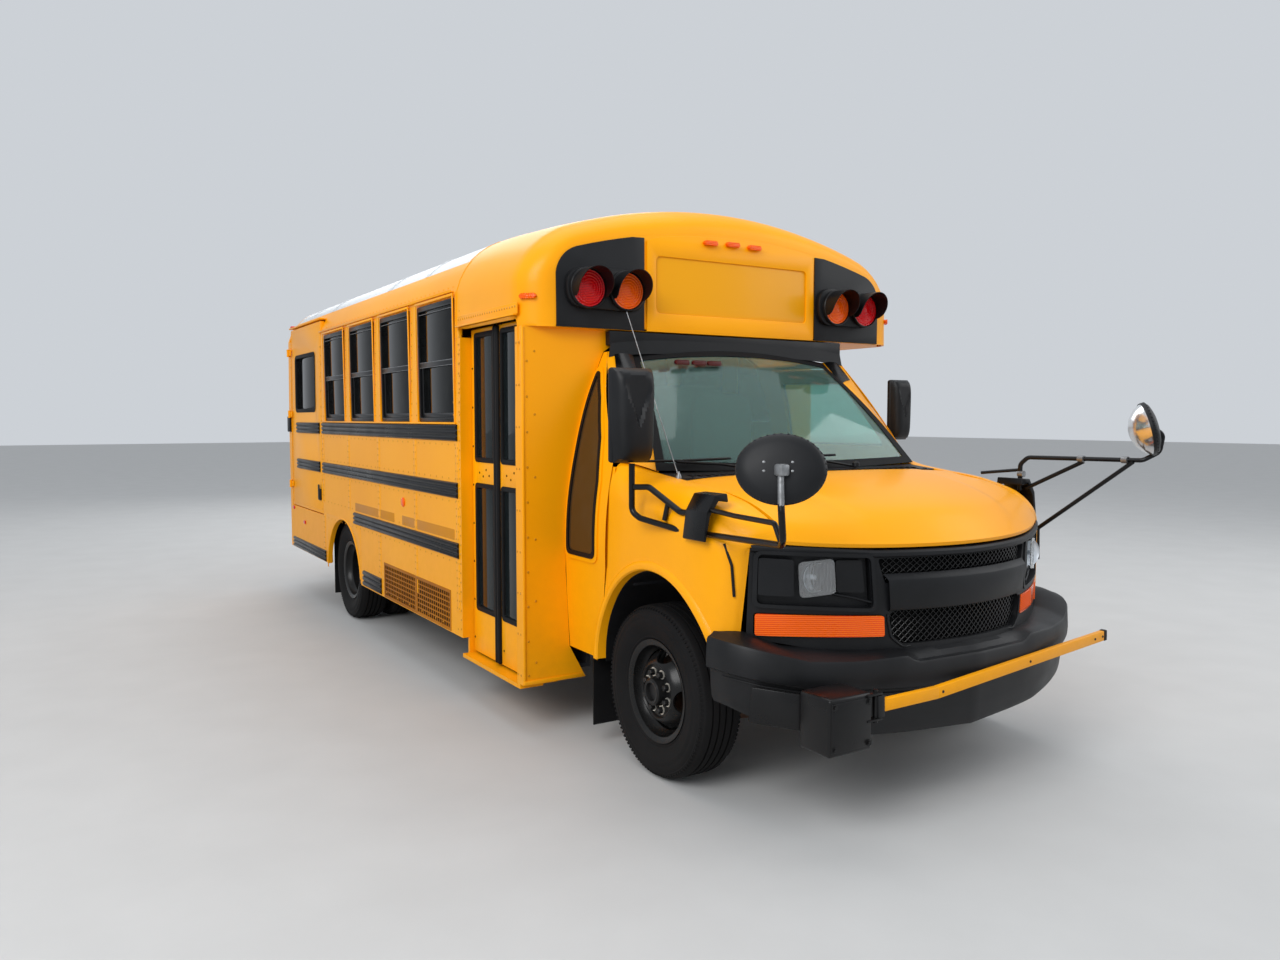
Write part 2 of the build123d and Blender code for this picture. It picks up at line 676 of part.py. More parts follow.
def window_frames():
    """Black sashes with their middle rails."""
    frames = []
    for side, windows in ((-1, RIGHT_WINDOWS), (1, LEFT_WINDOWS)):
        band = side_band(6, 6 + SASH_T, 1400, REAR_Y, WINDOW_Z, WINDOW_TOP_Z)
        for y, w in windows:
            gap = RUN_GAP
            frame = ring_x((y - w / 2 + gap, y + w / 2 - gap, WINDOW_Z + gap, WINDOW_TOP_Z - gap),
                           SASH_RIM, *SIDE_CUT)
            frame += block(*SIDE_CUT, y - w / 2 + 10, y + w / 2 - 10,
                           MID_RAIL_Z - MID_RAIL_HALF, MID_RAIL_Z + MID_RAIL_HALF)
            frames.append(on_side(frame & band, side))
    return frames


def fixed_glass():
    """Side panes, one above and one below each middle rail."""
    panes = []
    for side, windows in ((-1, RIGHT_WINDOWS), (1, LEFT_WINDOWS)):
        band = side_band(GLASS_INSET, GLASS_INSET + GLASS_T, 1400, REAR_Y, WINDOW_Z, WINDOW_TOP_Z)
        for y, w in windows:
            inner = w / 2 - SASH_RIM - 2 * RUN_GAP
            for z0, z1 in ((WINDOW_Z + SASH_RIM, MID_RAIL_Z - MID_RAIL_HALF),
                           (MID_RAIL_Z + MID_RAIL_HALF, WINDOW_TOP_Z - SASH_RIM)):
                pane = block(*SIDE_CUT, y - inner, y + inner, z0 + RUN_GAP * 2, z1 - RUN_GAP * 2)
                panes.append(on_side(pane & band, side))
    return panes


def roof_shell():
    """Curved roof skin behind the cap, cut for the lift door and the hatch."""
    outer, ex, ez = roof_edges(0)
    inner, ix, iz = roof_edges(ROOF_T)
    face = make_face(outer + inner + [Line((ex, ez), (ix, iz)), Line((-ex, ez), (-ix, iz))])
    roof = Pos(0, REAR_Y, 0) * extrude(Plane.XZ * face, REAR_Y - CAP_REAR_Y)
    roof -= block(-1400, -900, LIFT_Y, LIFT_Y + LIFT_W + LIFT_GAP, 2200, LIFT_TOP_Z + 8)
    lip = HATCH_HALF + HATCH_LIP
    roof += block(-lip, lip, HATCH_Y - HATCH_LIP, HATCH_Y + HATCH_HALF + lip, CROWN_Z - ROOF_T, CROWN_Z + 1)
    roof -= block(-HATCH_HALF, HATCH_HALF, HATCH_Y, HATCH_Y + 2 * HATCH_HALF, 2500, 2800)
    for fixed, _ in hatch_hinges():
        roof += fixed
    return roof


def hatch_hinges():
    """Hinges at the hatch's rear edge: the roof's pin with its lugs, and the lid's barrel."""
    y, z = HATCH_HINGE
    half = HINGE_H / 2
    pairs = []
    for x in (-HATCH_HINGE_X, HATCH_HINGE_X):
        fixed = rod((x - half - LUG_T, y, z), (x + half + LUG_T, y, z), HOOD_PIN_R)
        for x0, x1 in ((x - half - LUG_T, x - half - RUN_GAP), (x + half + RUN_GAP, x + half + LUG_T)):
            fixed += rod((x0, y, z), (x1, y, z), HATCH_BARREL_R)
            fixed += block(x0, x1, y - 4, y + HATCH_BARREL_R, CROWN_Z - ROOF_T / 2, z)
        barrel = rod((x - half, y, z), (x + half, y, z), HATCH_BARREL_R)
        barrel += block(x - half, x + half, y - 12, y, z - 4, z + HATCH_BARREL_R)
        bore = rod((x - half - 1, y, z), (x + half + 1, y, z), HOOD_PIN_R + RUN_GAP)
        pairs.append((fixed, barrel - bore))
    return pairs


def arc_points(start, middle, end, steps):
    """Points of the round arc through three places, without the last one."""
    edge = ThreePointArc(start, middle, end)
    return [(edge.position_at(step / steps).X, edge.position_at(step / steps).Y) for step in range(steps)]


def cap_line(*section):
    """Cross section of the cap from the plus X foot over the crown to the minus X foot."""
    crown = section[-1]
    foot, eave, corner, shoulder = [(BODY_HALF - inside, z) for inside, z in section[:-1]]
    half = [foot] + arc_points(eave, corner, shoulder, 4)
    half += arc_points(shoulder, (0, crown), (-shoulder[0], shoulder[1]), 12)[:6]
    return half + [(0, crown)] + [(-x, z) for x, z in reversed(half)]


def inset_line(line, inset):
    """Open line moved in towards the inside of the section."""
    moved = []
    for index, (x, z) in enumerate(line):
        before, after = line[max(index - 1, 0)], line[min(index + 1, len(line) - 1)]
        along = Vector(after[0] - before[0], after[1] - before[1]).normalized()
        moved.append((x - along.Y * inset, z + along.X * inset))
    return moved


def cap_solid(inset):
    """Solid of the front cap moved in by an inset: a rounded brow, then a run back to the roof."""
    lines = [cap_line(*row) for row in CAP_LINES]
    rows = []
    for y in CAP_STATIONS:
        if y <= BROW_DEPTH:
            share = math.sqrt(max(1 - (1 - y / BROW_DEPTH) ** 2, 0))
            first, second = lines[0], lines[1]
        else:
            share = math.sin(math.pi / 2 * (y - BROW_DEPTH) / (CAP_STATIONS[-1] - BROW_DEPTH))
            first, second = lines[1], lines[2]
        line = [(a + (c - a) * share, b + (d - b) * share) for (a, b), (c, d) in zip(first, second)]
        if inset:
            line = inset_line(line, inset)
            line[0] = (line[0][0], CAP_Z - 100)
            line[-1] = (line[-1][0], CAP_Z - 100)
        rows.append([(x, BULKHEAD_Y - CAP_FACE + y, z) for x, z in line])
    return through(rows)


def front_cap():
    """Moulded cap over the cab with its sign recess."""
    outer = cap_solid(0)
    inner = cap_solid(ROOF_T)
    front = BULKHEAD_Y - CAP_FACE
    cap = outer - (inner & block(-1500, 1500, front + 40, CAP_REAR_Y + 1, 1800, 2800))
    cap += outer & block(-1500, 1500, front, BULKHEAD_Y, CAP_Z, CAP_Z + 25)
    cap += outer & block(CAB_ROOF_HALF + 10, 1500, BULKHEAD_Y - 10, LEFT_BULKHEAD_Y, CAP_Z, CAP_Z + 25)
    lintel = block(-1500, -JAMB_HALF, BULKHEAD_Y + WALL_T, CAP_REAR_Y, ENTRY_TOP_Z - 1, ENTRY_TOP_Z + 30)
    cap += outer & lintel
    cap -= block(-1500, -900, BULKHEAD_Y + WALL_T, ENTRY_Y + ENTRY_W, 1800, ENTRY_TOP_Z)
    for y in entry_pivots():
        low, high = ENTRY_TOP_Z - ENTRY_PIN_IN, ENTRY_TOP_Z + 5
        cap += rod((ENTRY_PIVOT_X, y, low), (ENTRY_PIVOT_X, y, high), ENTRY_PIN_R)
    cap -= block(-SIGN_HALF, SIGN_HALF, front - 10, front + SIGN_DEPTH, SIGN_Z, SIGN_TOP_Z)
    return cap + flat_bar(ROOF_VENT, (ROOF_VENT[0], ROOF_VENT[1], ROOF_VENT[2] + 95), 70, LAMP_SIDES)


def cab_band(outside, inside):
    """Slice of the cab's plus X side between two depths, running along the cab."""
    outer = [(x - outside, z) for x, z in CAB_SIDE]
    inner = [(x - inside, z) for x, z in reversed(CAB_SIDE)]
    return prism_y(outer + inner, 0, LEFT_BULKHEAD_Y)


def bulkheads():
    """Body front walls: right one beside the entry door, left one behind the driver's door."""
    skin = [(half_at(z), z) for z in (SKIRT_Z, BELT_Z, CAP_Z)]
    inside = [(690, CAP_Z), (690, 1925)] + [(x + 3, z) for x, z in reversed(CAB_SIDE)]
    right = prism_y(skin + inside + [(880, DOOR_SILL_Z), (half_at(0), DOOR_SILL_Z)],
                    BULKHEAD_Y, BULKHEAD_Y + WALL_T)
    post = side_band(0, WALL_T, BULKHEAD_Y + WALL_T - 1, ENTRY_Y, DOOR_SILL_Z, ENTRY_TOP_Z - 60)
    jamb = block(JAMB_HALF, BODY_HALF - 1, BULKHEAD_Y + WALL_T - 1, ENTRY_Y, DOOR_SILL_Z - 25, CAP_Z)
    header = block(-690, 690, BULKHEAD_Y, BULKHEAD_Y + WALL_T, 1940, CAP_Z)
    left = prism_y(skin + inside + [(900, SKIRT_Z)], LEFT_BULKHEAD_Y, LEFT_BULKHEAD_Y + WALL_T)
    sill = block(-BODY_HALF, -1000, ENTRY_Y - 1, ENTRY_Y + ENTRY_W, DOOR_SILL_Z - 25, DOOR_SILL_Z - 5)
    front = on_side(right + post + jamb, -1) + header + sill
    for y in entry_pivots():
        front += rod((ENTRY_PIVOT_X, y, DOOR_SILL_Z - 10), (ENTRY_PIVOT_X, y, DOOR_SILL_Z + ENTRY_PIN_IN),
                     ENTRY_PIN_R)
    return front, left


def rear_wall():
    """Rear wall with the emergency door and two fixed windows cut."""
    outline = roof_edges(0)[0]
    low = REAR_SKIRT_Z
    lines = [Line((EAVE_HALF, EAVE_Z), (BODY_HALF, BELT_Z)), Line((BODY_HALF, BELT_Z), (BODY_HALF, low)),
             Line((BODY_HALF, low), (-BODY_HALF, low)), Line((-BODY_HALF, low), (-BODY_HALF, BELT_Z)),
             Line((-BODY_HALF, BELT_Z), (-EAVE_HALF, EAVE_Z))]
    wall = Pos(0, REAR_Y + REAR_WALL_T, 0) * extrude(Plane.XZ * make_face(outline + lines), REAR_WALL_T)
    wall -= block(-REAR_DOOR_HALF, REAR_DOOR_HALF, REAR_Y - 10, REAR_Y + 90,
                  REAR_DOOR_BOTTOM_Z, REAR_DOOR_TOP_Z)
    for s in (-1, 1):
        x0, x1, z0, z1 = REAR_WINDOW
        wall -= block(s * x0, s * x1, REAR_Y - 10, REAR_Y + 90, z0, z1)
        wall -= block(s * (RAIL_HALF + 10), s * (RAIL_HALF - RAIL_W - 10), REAR_Y - 10, REAR_Y + 90,
                      RAIL_Z - 20, RAIL_Z + RAIL_H + 10)
    for x in (PLATE_X - PLATE_DX / 2, PLATE_X + PLATE_DX / 2):
        for z in (PLATE_Z - PLATE_DZ / 2, PLATE_Z + PLATE_DZ / 2):
            wall -= rod((x, REAR_Y - 1, z), (x, REAR_Y + 90, z), PLATE_HOLE_R)
    for fixed, _ in rear_hinges():
        wall += fixed
    return wall


def rear_hinges():
    """Hinges at the rear door's curb side edge."""
    x, y = REAR_HINGE
    fixed_plan = (x - 36, x, REAR_Y + REAR_WALL_T - 1, y + 2)
    leaf_plan = (x, x + 36, REAR_Y + REAR_WALL_T - 1, y + 2)
    return [hinge(x, y, z, fixed_plan, leaf_plan) for z in REAR_HINGE_Z]


def body_floor():
    """Floor on its cross sills with wheel houses and the entry steps."""
    side = BODY_HALF - WALL_T
    low = FLOOR_Z - FLOOR_T
    floor = block(-side, side, LEFT_BULKHEAD_Y + WALL_T, REAR_Y, low, FLOOR_Z)
    floor += block(-side, CAB_FLOOR_HALF, BULKHEAD_Y + WALL_T, LEFT_BULKHEAD_Y + WALL_T, low, FLOOR_Z)
    well = (-side, -620, BULKHEAD_Y + WALL_T, ENTRY_Y + ENTRY_W + 20)
    floor -= block(well[0] - 1, well[1], well[2] - 1, well[3], 600, 800)
    for y in (1800, 2600, 3300, 4800, 5500):
        floor += block(20 - side, side - 20, y, y + 60, low - SILL_T, low)
    floor += block(-RAIL_HALF - 60, RAIL_HALF + 60, 1000, 1060, low - SILL_T, low)
    house_in = TWIN_OUTER_X - TWIN_PITCH - TYRE_W / 2 - 40
    for s in (-1, 1):
        cut = block(s * house_in, s * side, ARCH_FRONT_Y + 10, ARCH_REAR_Y - 10, 500, 900)
        lid = block(s * (house_in - 25), s * side, ARCH_FRONT_Y - 15, ARCH_REAR_Y + 15, low, ARCH_TOP_Z + 60)
        floor = floor - cut + (lid - block(s * house_in, s * (side + 1), ARCH_FRONT_Y + 10,
                                           ARCH_REAR_Y - 10, 500, ARCH_TOP_Z + 35))
    return floor


def entry_steps():
    """Step well inside the entry door: two treads with their risers and end plates."""
    side = BODY_HALF - ENTRY_INSET - LEAF_T - 20
    y0, y1 = ENTRY_Y - 28, ENTRY_Y + ENTRY_W + 18
    treads = block(-side, -850, y0, y1, 290, 310) + block(-850, -620, y0, y1, 510, 530)
    risers = block(-850, -830, y0, y1, 290, 530) + block(-640, -620, y0, y1, 510, FLOOR_Z)
    return treads + risers


def rub_rails():
    """Ribbed guard rails along both sides."""
    rails = []
    # side, bottom, top, start, end
    end = REAR_Y - 60
    table = ((-1, *RAIL_TOP, 1580, 4564), (-1, *RAIL_MID, 1580, 4564), (-1, *RAIL_LOW, 1576, 3668),
             (-1, 343, 454, 3020, 3450), (-1, *RAIL_SKIRT, 4520, end), (1, *RAIL_TOP, 2100, end),
             (1, *RAIL_MID, 2100, end), (1, *RAIL_LOW, 1576, end), (1, *RAIL_SKIRT, 4520, end))
    for side, z0, z1, y0, y1 in table:
        rails.append(on_side(rail(z0, z1, y0, y1), side))
    return rails


def rail(z0, z1, y0, y1):
    """One ribbed guard rail on the plus X side."""
    step = (z1 - z0) / 5
    outline = [(BODY_HALF, z0)]
    for index in range(5):
        depth = RAIL_OUT if index % 2 == 0 else RAIL_OUT / 2
        outline.append((BODY_HALF + depth, z0 + index * step))
        outline.append((BODY_HALF + depth, z0 + (index + 1) * step))
    outline.append((BODY_HALF, z1))
    return prism_y(outline, y0, y1)


# Doors

def entry_pivots():
    """Places along the bus of the front and rear leaf's pivots."""
    inset = DOOR_GAP + LEAF_T / 2
    return ENTRY_Y + inset, ENTRY_Y + ENTRY_W - inset


def entry_leaf(front):
    """One leaf of the entry door, turning on its round edge, with its windows cut."""
    x1 = BODY_HALF - ENTRY_INSET
    y0 = ENTRY_Y + DOOR_GAP if front else ENTRY_Y + ENTRY_W - DOOR_GAP - LEAF_W
    pivot = entry_pivots()[0 if front else 1]
    free = y0 + LEAF_W if front else y0
    low, high = DOOR_SILL_Z + 5, ENTRY_TOP_Z - 8
    leaf = block(-x1, -x1 + LEAF_T, pivot, free, low, high)
    leaf += rod((ENTRY_PIVOT_X, pivot, low), (ENTRY_PIVOT_X, pivot, high), LEAF_T / 2)
    for z0, z1 in ((low - 1, low + ENTRY_PIN_IN), (high - ENTRY_PIN_IN, high + 1)):
        leaf -= rod((ENTRY_PIVOT_X, pivot, z0), (ENTRY_PIVOT_X, pivot, z1), ENTRY_PIN_R + RUN_GAP)
    panes = []
    for z0, z1 in ENTRY_WINDOWS:
        cut = (y0 + ENTRY_STILE, y0 + LEAF_W - ENTRY_STILE, z0, z1)
        leaf -= block(-x1 - 1, -x1 + LEAF_T + 1, *cut)
        panes.append(block(-x1 + 15, -x1 + 20, cut[0] + RUN_GAP, cut[1] - RUN_GAP,
                           cut[2] + RUN_GAP, cut[3] - RUN_GAP))
    return leaf, panes


def lift_door():
    """Wheelchair lift door with its window cut."""
    y0, y1 = LIFT_Y + LIFT_GAP, LIFT_Y + LIFT_W - 2
    door = side_band(0, WALL_T, y0, y1, LIFT_BOTTOM_Z + 6, LIFT_TOP_Z - 5)
    hole = LIFT_WINDOW
    door -= fillet(block(*SIDE_CUT, *hole).edges().filter_by(Axis.X), LIFT_WINDOW_R)
    for z0, z1 in (RAIL_TOP, RAIL_MID):
        door += rail(z0, z1, LIFT_Y + 76, LIFT_Y + LIFT_W - 220)
    inner = block(*SIDE_CUT, hole[0] + RUN_GAP, hole[1] - RUN_GAP, hole[2] + RUN_GAP, hole[3] - RUN_GAP)
    inner = fillet(inner.edges().filter_by(Axis.X), LIFT_WINDOW_R)
    pane = side_band(GLASS_INSET, GLASS_INSET + GLASS_T, hole[0], hole[1], hole[2], hole[3]) & inner
    door = on_side(door, -1)
    for _, barrel in lift_hinges():
        door += barrel
    return door, on_side(pane, -1)


def rear_door():
    """Rear emergency door with upper and lower windows cut."""
    half = REAR_DOOR_HALF - REAR_DOOR_GAP
    y0, y1 = REAR_Y + REAR_WALL_T - LEAF_T, REAR_Y + REAR_WALL_T
    door = block(-half, half, y0, y1, REAR_DOOR_BOTTOM_Z + 8, REAR_DOOR_TOP_Z - 8)
    panes = []
    side = REAR_DOOR_WINDOW_HALF
    for z0, z1 in REAR_DOOR_WINDOWS:
        door -= block(-side, side, y0 - 1, y1 + 1, z0, z1)
        panes.append(block(RUN_GAP - side, side - RUN_GAP, y0 + GLASS_INSET, y0 + GLASS_INSET + GLASS_T,
                           z0 + RUN_GAP, z1 - RUN_GAP))
    for z, (_, barrel) in zip(REAR_HINGE_Z, rear_hinges()):
        door = door - hinge_room(*REAR_HINGE, z) + barrel
    return door, panes


def driver_hinges():
    """Hinges at the driver's door's front edge."""
    x, y = DRIVER_HINGE
    fixed_plan = (x - 34, x + 8, y - 30, y)
    leaf_plan = (x - 16, x + 8, y, y + 30)
    return [hinge(x, y, z, fixed_plan, leaf_plan) for z in DRIVER_HINGE_Z]


def driver_door():
    """Van door with its window cut, and the pane."""
    door = cab_band(0, 60) & prism_x(DRIVER_DOOR, *CAB_CUT)
    door -= prism_x(DRIVER_WINDOW, *CAB_CUT)
    for z, (_, barrel) in zip(DRIVER_HINGE_Z, driver_hinges()):
        door = door - hinge_room(*DRIVER_HINGE, z) + barrel
    pane = cab_band(20, 25) & prism_x(DRIVER_WINDOW, *CAB_CUT)
    return door, pane


# Cab

def cab_frame():
    """Cab sides, pillars, sills and roof of the cutaway van."""
    right = cab_band(0, CAB_WALL_T) & prism_x(
        ((468, 420), (458, 560), (393, 700), (370, 850), (370, 1345), (712, 1858),
         (BULKHEAD_Y, 1858), (BULKHEAD_Y, 420)), *CAB_CUT)
    right -= prism_x(((530, 890), (530, 1560), (660, 1765), (712, 1765), (712, 890)), *CAB_CUT)
    post = cab_band(0, CAB_WALL_T) & prism_x(
        ((1400, 420), (1400, 1858), (LEFT_BULKHEAD_Y, 1858), (LEFT_BULKHEAD_Y, 420)), *CAB_CUT)
    sill = cab_band(0, CAB_WALL_T) & block(*CAB_CUT, 468, 1401, 420, 490)
    frame = on_side(right, -1)
    left = post + sill
    roof = roof_panel(640, BULKHEAD_Y, -CAB_ROOF_HALF - 70, CAB_ROOF_HALF + 70)
    back = roof_panel(BULKHEAD_Y, LEFT_BULKHEAD_Y, CAB_ROOF_HALF - 10, CAB_ROOF_HALF + 70)
    pillars = [pillar(s) for s in (-1, 1)]
    return frame + roof + back + left + pillars[0] + pillars[1]


def roof_panel(y0, y1, x0, x1):
    """Piece of the cab roof between two places along and across the cab."""
    outline = [(-775, 1858), (-765, 1880), (-700, 1908), (-400, 1926), (0, 1932),
               (400, 1926), (700, 1908), (765, 1880), (775, 1858)]
    inner = [(725, 1858), (690, 1882), (400, 1900), (0, 1906), (-400, 1900), (-690, 1882), (-725, 1858)]
    return prism_y(outline + inner, y0, y1) & block(x0, x1, y0, y1, 1800, 1960)


def pillar(side, room=0):
    """Windscreen pillar from the cowl to the roof, larger all round by a room."""
    foot, head = Vector(side * 830, 200, 1290), Vector(side * 720, 690, 1880)
    foot -= (head - foot) * (room / (head.Z - foot.Z))
    low = Plane(origin=foot, z_dir=(0, 0, 1)) * Rectangle(60 + room, 90 + room)
    high = Plane(origin=head, z_dir=(0, 0, 1)) * Rectangle(60 + room, 90 + room)
    return loft([low, high], ruled=True)


def windscreen():
    """Raked windscreen pane between the pillars."""
    outline = ((160, 1300), (672, 1880), (676, 1876), (164, 1296))
    pane = prism_x(outline, -800, 800)
    low, high = 800 - RUN_GAP, 686 - RUN_GAP
    trim = prism_y(((-low, 1290), (-high, 1900), (high, 1900), (low, 1290)), 100, 800)
    return pane & trim


def nose_line(offset, half, steps=8):
    """Plan curve of the front, from the right to the left corner, moved forward by an offset."""
    points = []
    for index in range(steps + 1):
        x = -half + 2 * half * index / steps
        points.append((x, NOSE_Y - offset + NOSE_BOW * x * x / 1000))
    return points


def hood_rows():
    """Points of the hood's top, row by row from the cowl to its curved front edge."""
    rows = []
    for share, half, side_z, mid_z in HOOD_LINES:
        row = []
        for step in range(-HOOD_STEPS, HOOD_STEPS + 1):
            u = step / HOOD_STEPS
            x = half * u
            nose = NOSE_Y + NOSE_BOW * x * x / 1000
            z = mid_z + (side_z - mid_z) * (0.35 * u * u + 0.65 * abs(u) ** 5)
            row.append((x, COWL_Y + (nose - COWL_Y) * share, z))
        rows.append(row)
    return rows


def hood():
    """Hood panel, crowned and falling to the front."""
    top = hood_rows()
    panel = sheet(top, [[(x, y, z - HOOD_T) for x, y, z in row] for row in top])
    y, z = HOOD_HINGE
    half = HINGE_H / 2
    notch = half + LUG_T + DOOR_GAP
    for x in (-HOOD_HINGE_X, HOOD_HINGE_X):
        panel -= block(x - notch, x + notch, y - HOOD_NOTCH, y, z - 40, z + 20)
        panel += block(x - half, x + half, y - HOOD_NOTCH - 8, y - 5, z - 20, z + 4)
        panel += rod((x - half, y, z), (x + half, y, z), HOOD_BARREL_R)
        panel -= rod((x - half - 1, y, z), (x + half + 1, y, z), HOOD_PIN_R + RUN_GAP)
    return panel


def fender_rows():
    """Points of the wing's outer skin on the plus X side, row by row from the door to the lamps."""
    rows = []
    for seam, control, side, foot in FENDER_LINES:
        row = []
        for step in range(FENDER_STEPS + 1):
            t = step / FENDER_STEPS
            row.append(tuple((1 - t) ** 2 * a + 2 * t * (1 - t) * b + t * t * c
                             for a, b, c in zip(seam, control, side)))
        rows.append(row + [foot])
    return rows


def fender_inside(inset):
    """Solid that fills the room under the wing, moved in by an inset."""
    rows = moved_in(fender_rows(), inset)
    closed = [[(700, row[0][1], row[-1][2])] + [(700, row[0][1], row[0][2])]
              + [(x, row[0][1], z) for x, _, z in row] for row in rows[:7]]
    return through(closed)


def fender(side):
    """Front wing over the wheel, open at its arch."""
    outer = fender_rows()
    wing = sheet(outer, moved_in(outer, FENDER_T))
    side_view = [(456, 520), (446, 560), (381, 700), (358, 850), (358, 1400), (-650, 1400),
                 (-650, 660), (-440, 660)]
    wing = wing & prism_x(side_view, 700, 1100)
    wing -= Pos(900, FRONT_ARCH_Y, FRONT_ARCH_Z) * Rot(0, 90, 0) * Cylinder(FRONT_ARCH_R, 600)
    wing -= fascia_block(RUN_GAP) + pillar(1, 2 * RUN_GAP) + bumper_block(RUN_GAP)
    if side > 0:
        x, y = DRIVER_HINGE
        for z, pair in zip(DRIVER_HINGE_Z, driver_hinges()):
            wing -= Pos(x, y, z) * Cylinder(HINGE_R + DOOR_GAP, HINGE_H)
            wing += pair[0]
    return on_side(wing.solids().sort_by(SortBy.VOLUME)[-1], side)


def cowl_and_floor():
    """Cowl, bulkhead behind the engine and the cab floor."""
    half = CAB_FLOOR_HALF
    cowl = cowl_top() + cowl_hinges()
    wall = block(-785, 785, 240, 262, 790, 1292) + block(-520, 520, 240, 262, 700, 790)
    apron = block(780, 1000, 240, 262, 850, 1290) & fender_inside(FENDER_T + APRON_GAP)
    wall = wall + apron + mirror(apron, Plane.YZ)
    liner = block(-half, half, 240, LINER_Y + 35, 790, 815) - block(-510, 510, 200, LINER_Y + 40, 780, 820)
    liner += block(-half, half, LINER_Y + 10, LINER_Y + 35, 665, 790) - block(
        -510, 510, LINER_Y, LINER_Y + 40, 600, 820)
    liner += block(-530, 530, 240, LINER_Y + 35, 700, 815) - block(-510, 510, 200, LINER_Y + 40, 745, 820)
    floor = block(-half, half, LINER_Y + 10, BULKHEAD_Y + WALL_T, 700, 745)
    return cowl + wall + liner + floor


def cowl_top():
    """Sloping cowl panel between the hood and the windscreen."""
    front = COWL_Y + 8
    outline = ((front, COWL_Z - 25), (front, COWL_Z), (200, 1292), (241, 1292), (241, COWL_Z - 25))
    return prism_x(outline, -785, 785) - hood_clearance()


def hood_clearance():
    """Room in the cowl for the hood's hinge barrels."""
    y, z = HOOD_HINGE
    half = HINGE_H / 2 + RUN_GAP
    cuts = []
    for x in (-HOOD_HINGE_X, HOOD_HINGE_X):
        cuts.append(block(x - half, x + half, y - 20, y + 14, z - 40, z + 20))
    return cuts[0] + cuts[1]


def cowl_hinges():
    """Pins and lugs on the cowl that carry the hood."""
    y, z = HOOD_HINGE
    half = HINGE_H / 2 + RUN_GAP
    lugs = []
    for s in (-1, 1):
        x = s * HOOD_HINGE_X
        lug = rod((x - half - LUG_T, y, z), (x + half + LUG_T, y, z), HOOD_PIN_R)
        for x0 in (x - half - LUG_T, x + half):
            lug += block(x0, x0 + LUG_T, y - 6, y + 14, z - 5, z + 6)
            lug += block(x0, x0 + LUG_T, y + 4, y + 14, z - 25, z + 6)
        lugs.append(lug)
    return lugs[0] + lugs[1]


def dashboard():
    """Dashboard with the steering column and wheel."""
    dash = prism_x(((262, 1000), (262, 1270), (420, 1240), (520, 1160), (500, 1000)), -780, 780)
    wheel_axis = Plane(origin=(430, 700, 1210), z_dir=(0, 0.8, 0.6))
    column = rod((430, 480, 1045), (430, 700, 1210), 28)
    ring = wheel_axis * (Cylinder(WHEEL_R, 24) - Cylinder(WHEEL_R - 26, 26))
    spoke = wheel_axis * Box(2 * WHEEL_R - 26, 40, 16)
    return dash + column + ring + spoke


def fascia_block(room=0):
    """Outside of the moulded front, larger all round by a room."""
    half = FASCIA_HALF + room
    plan = nose_line(room, half) + list(reversed(nose_line(-FASCIA_T - room, half)))
    top = [(x, z + room) for x, z in FASCIA_TOP]
    low = FASCIA_Z - room
    front = [(-half, low)] + [(-x, z) for x, z in reversed(top)] + top[1:] + [(half, low)]
    return prism_z(plan, FASCIA_Z - room, 1100) & prism_y(front, NOSE_Y - 10, -300)


def front_opening(corners):
    """Cutter through the front for a mirrored outline of (x, z) corners, given from the top middle down."""
    return prism_y(corners + [(-x, z) for x, z in reversed(corners)], NOSE_Y - 20, -700)


def diamonds(half, bottom, top, columns, rows):
    """Diamond holes of a mesh that fills a front opening."""
    wide, high = 2 * half / columns, (top - bottom) / rows
    holes = []
    for row in range(rows):
        for column in range(columns - row % 2):
            x = -half + wide * (column + 0.5 + 0.5 * (row % 2))
            z = bottom + high * (row + 0.5)
            a, b = 0.40 * wide, 0.42 * high
            holes.append(prism_y([(x - a, z), (x, z - b), (x + a, z), (x, z + b)], NOSE_Y - 20, -700))
    return holes


def fascia():
    """Black moulded front: lamp pockets, and two openings with a diamond mesh set back in them."""
    body = fascia_block()
    mesh = fascia_block() & block(-440, 440, NOSE_Y + 22, NOSE_Y + 34 + 100, 650, 1010)
    mesh = mesh & prism_z(nose_line(-22, 440) + list(reversed(nose_line(-34, 440))), 640, 1020)
    for x0, x1, z0, z1, depth in (LAMP_POCKET + (LAMP_POCKET_DEPTH,), HEADLAMP + (FASCIA_T,),
                                  TURN_LAMP + (FASCIA_T,)):
        room = prism_z(nose_line(20, 900) + list(reversed(nose_line(-depth, 900))), z0, z1)
        body -= room & block(x0, x1, -900, -400, z0, z1)
        body -= room & block(-x1, -x0, -900, -400, z0, z1)
    for s in (-1, 1):
        body += block(s * 380, s * 420, -750, RAIL_FRONT_Y + 30, RAIL_Z + RAIL_H, RAIL_Z + RAIL_H + 30)
    upper = front_opening([(436, 1003), (405, 903)])
    lower = front_opening([(392, 796), (370, 690), (340, 665)])
    upper_mesh = (mesh & upper) - diamonds(405, 905, 1001, 18, 2)
    lower_mesh = (mesh & lower) - diamonds(350, 672, 794, 16, 3)
    return body - upper - lower + upper_mesh + lower_mesh


def front_lamps(pocket):
    """Pair of lenses that follow the nose curve inside their pockets."""
    x0, x1, z0, z1 = pocket
    z0, z1 = z0 + RUN_GAP, z1 - RUN_GAP
    plan = nose_line(-4, 868) + list(reversed(nose_line(-40, 868)))
    solid = prism_z(plan, z0, z1)
    return [solid & block(s * (x0 + RUN_GAP), s * (x1 - RUN_GAP), -900, -400, z0, z1) for s in (-1, 1)]


def bumper_line():
    """Plan of the front bumper's face from the right end to the left end."""
    return [(-x, y) for x, y in reversed(BUMPER_PLAN[1:])] + list(BUMPER_PLAN)


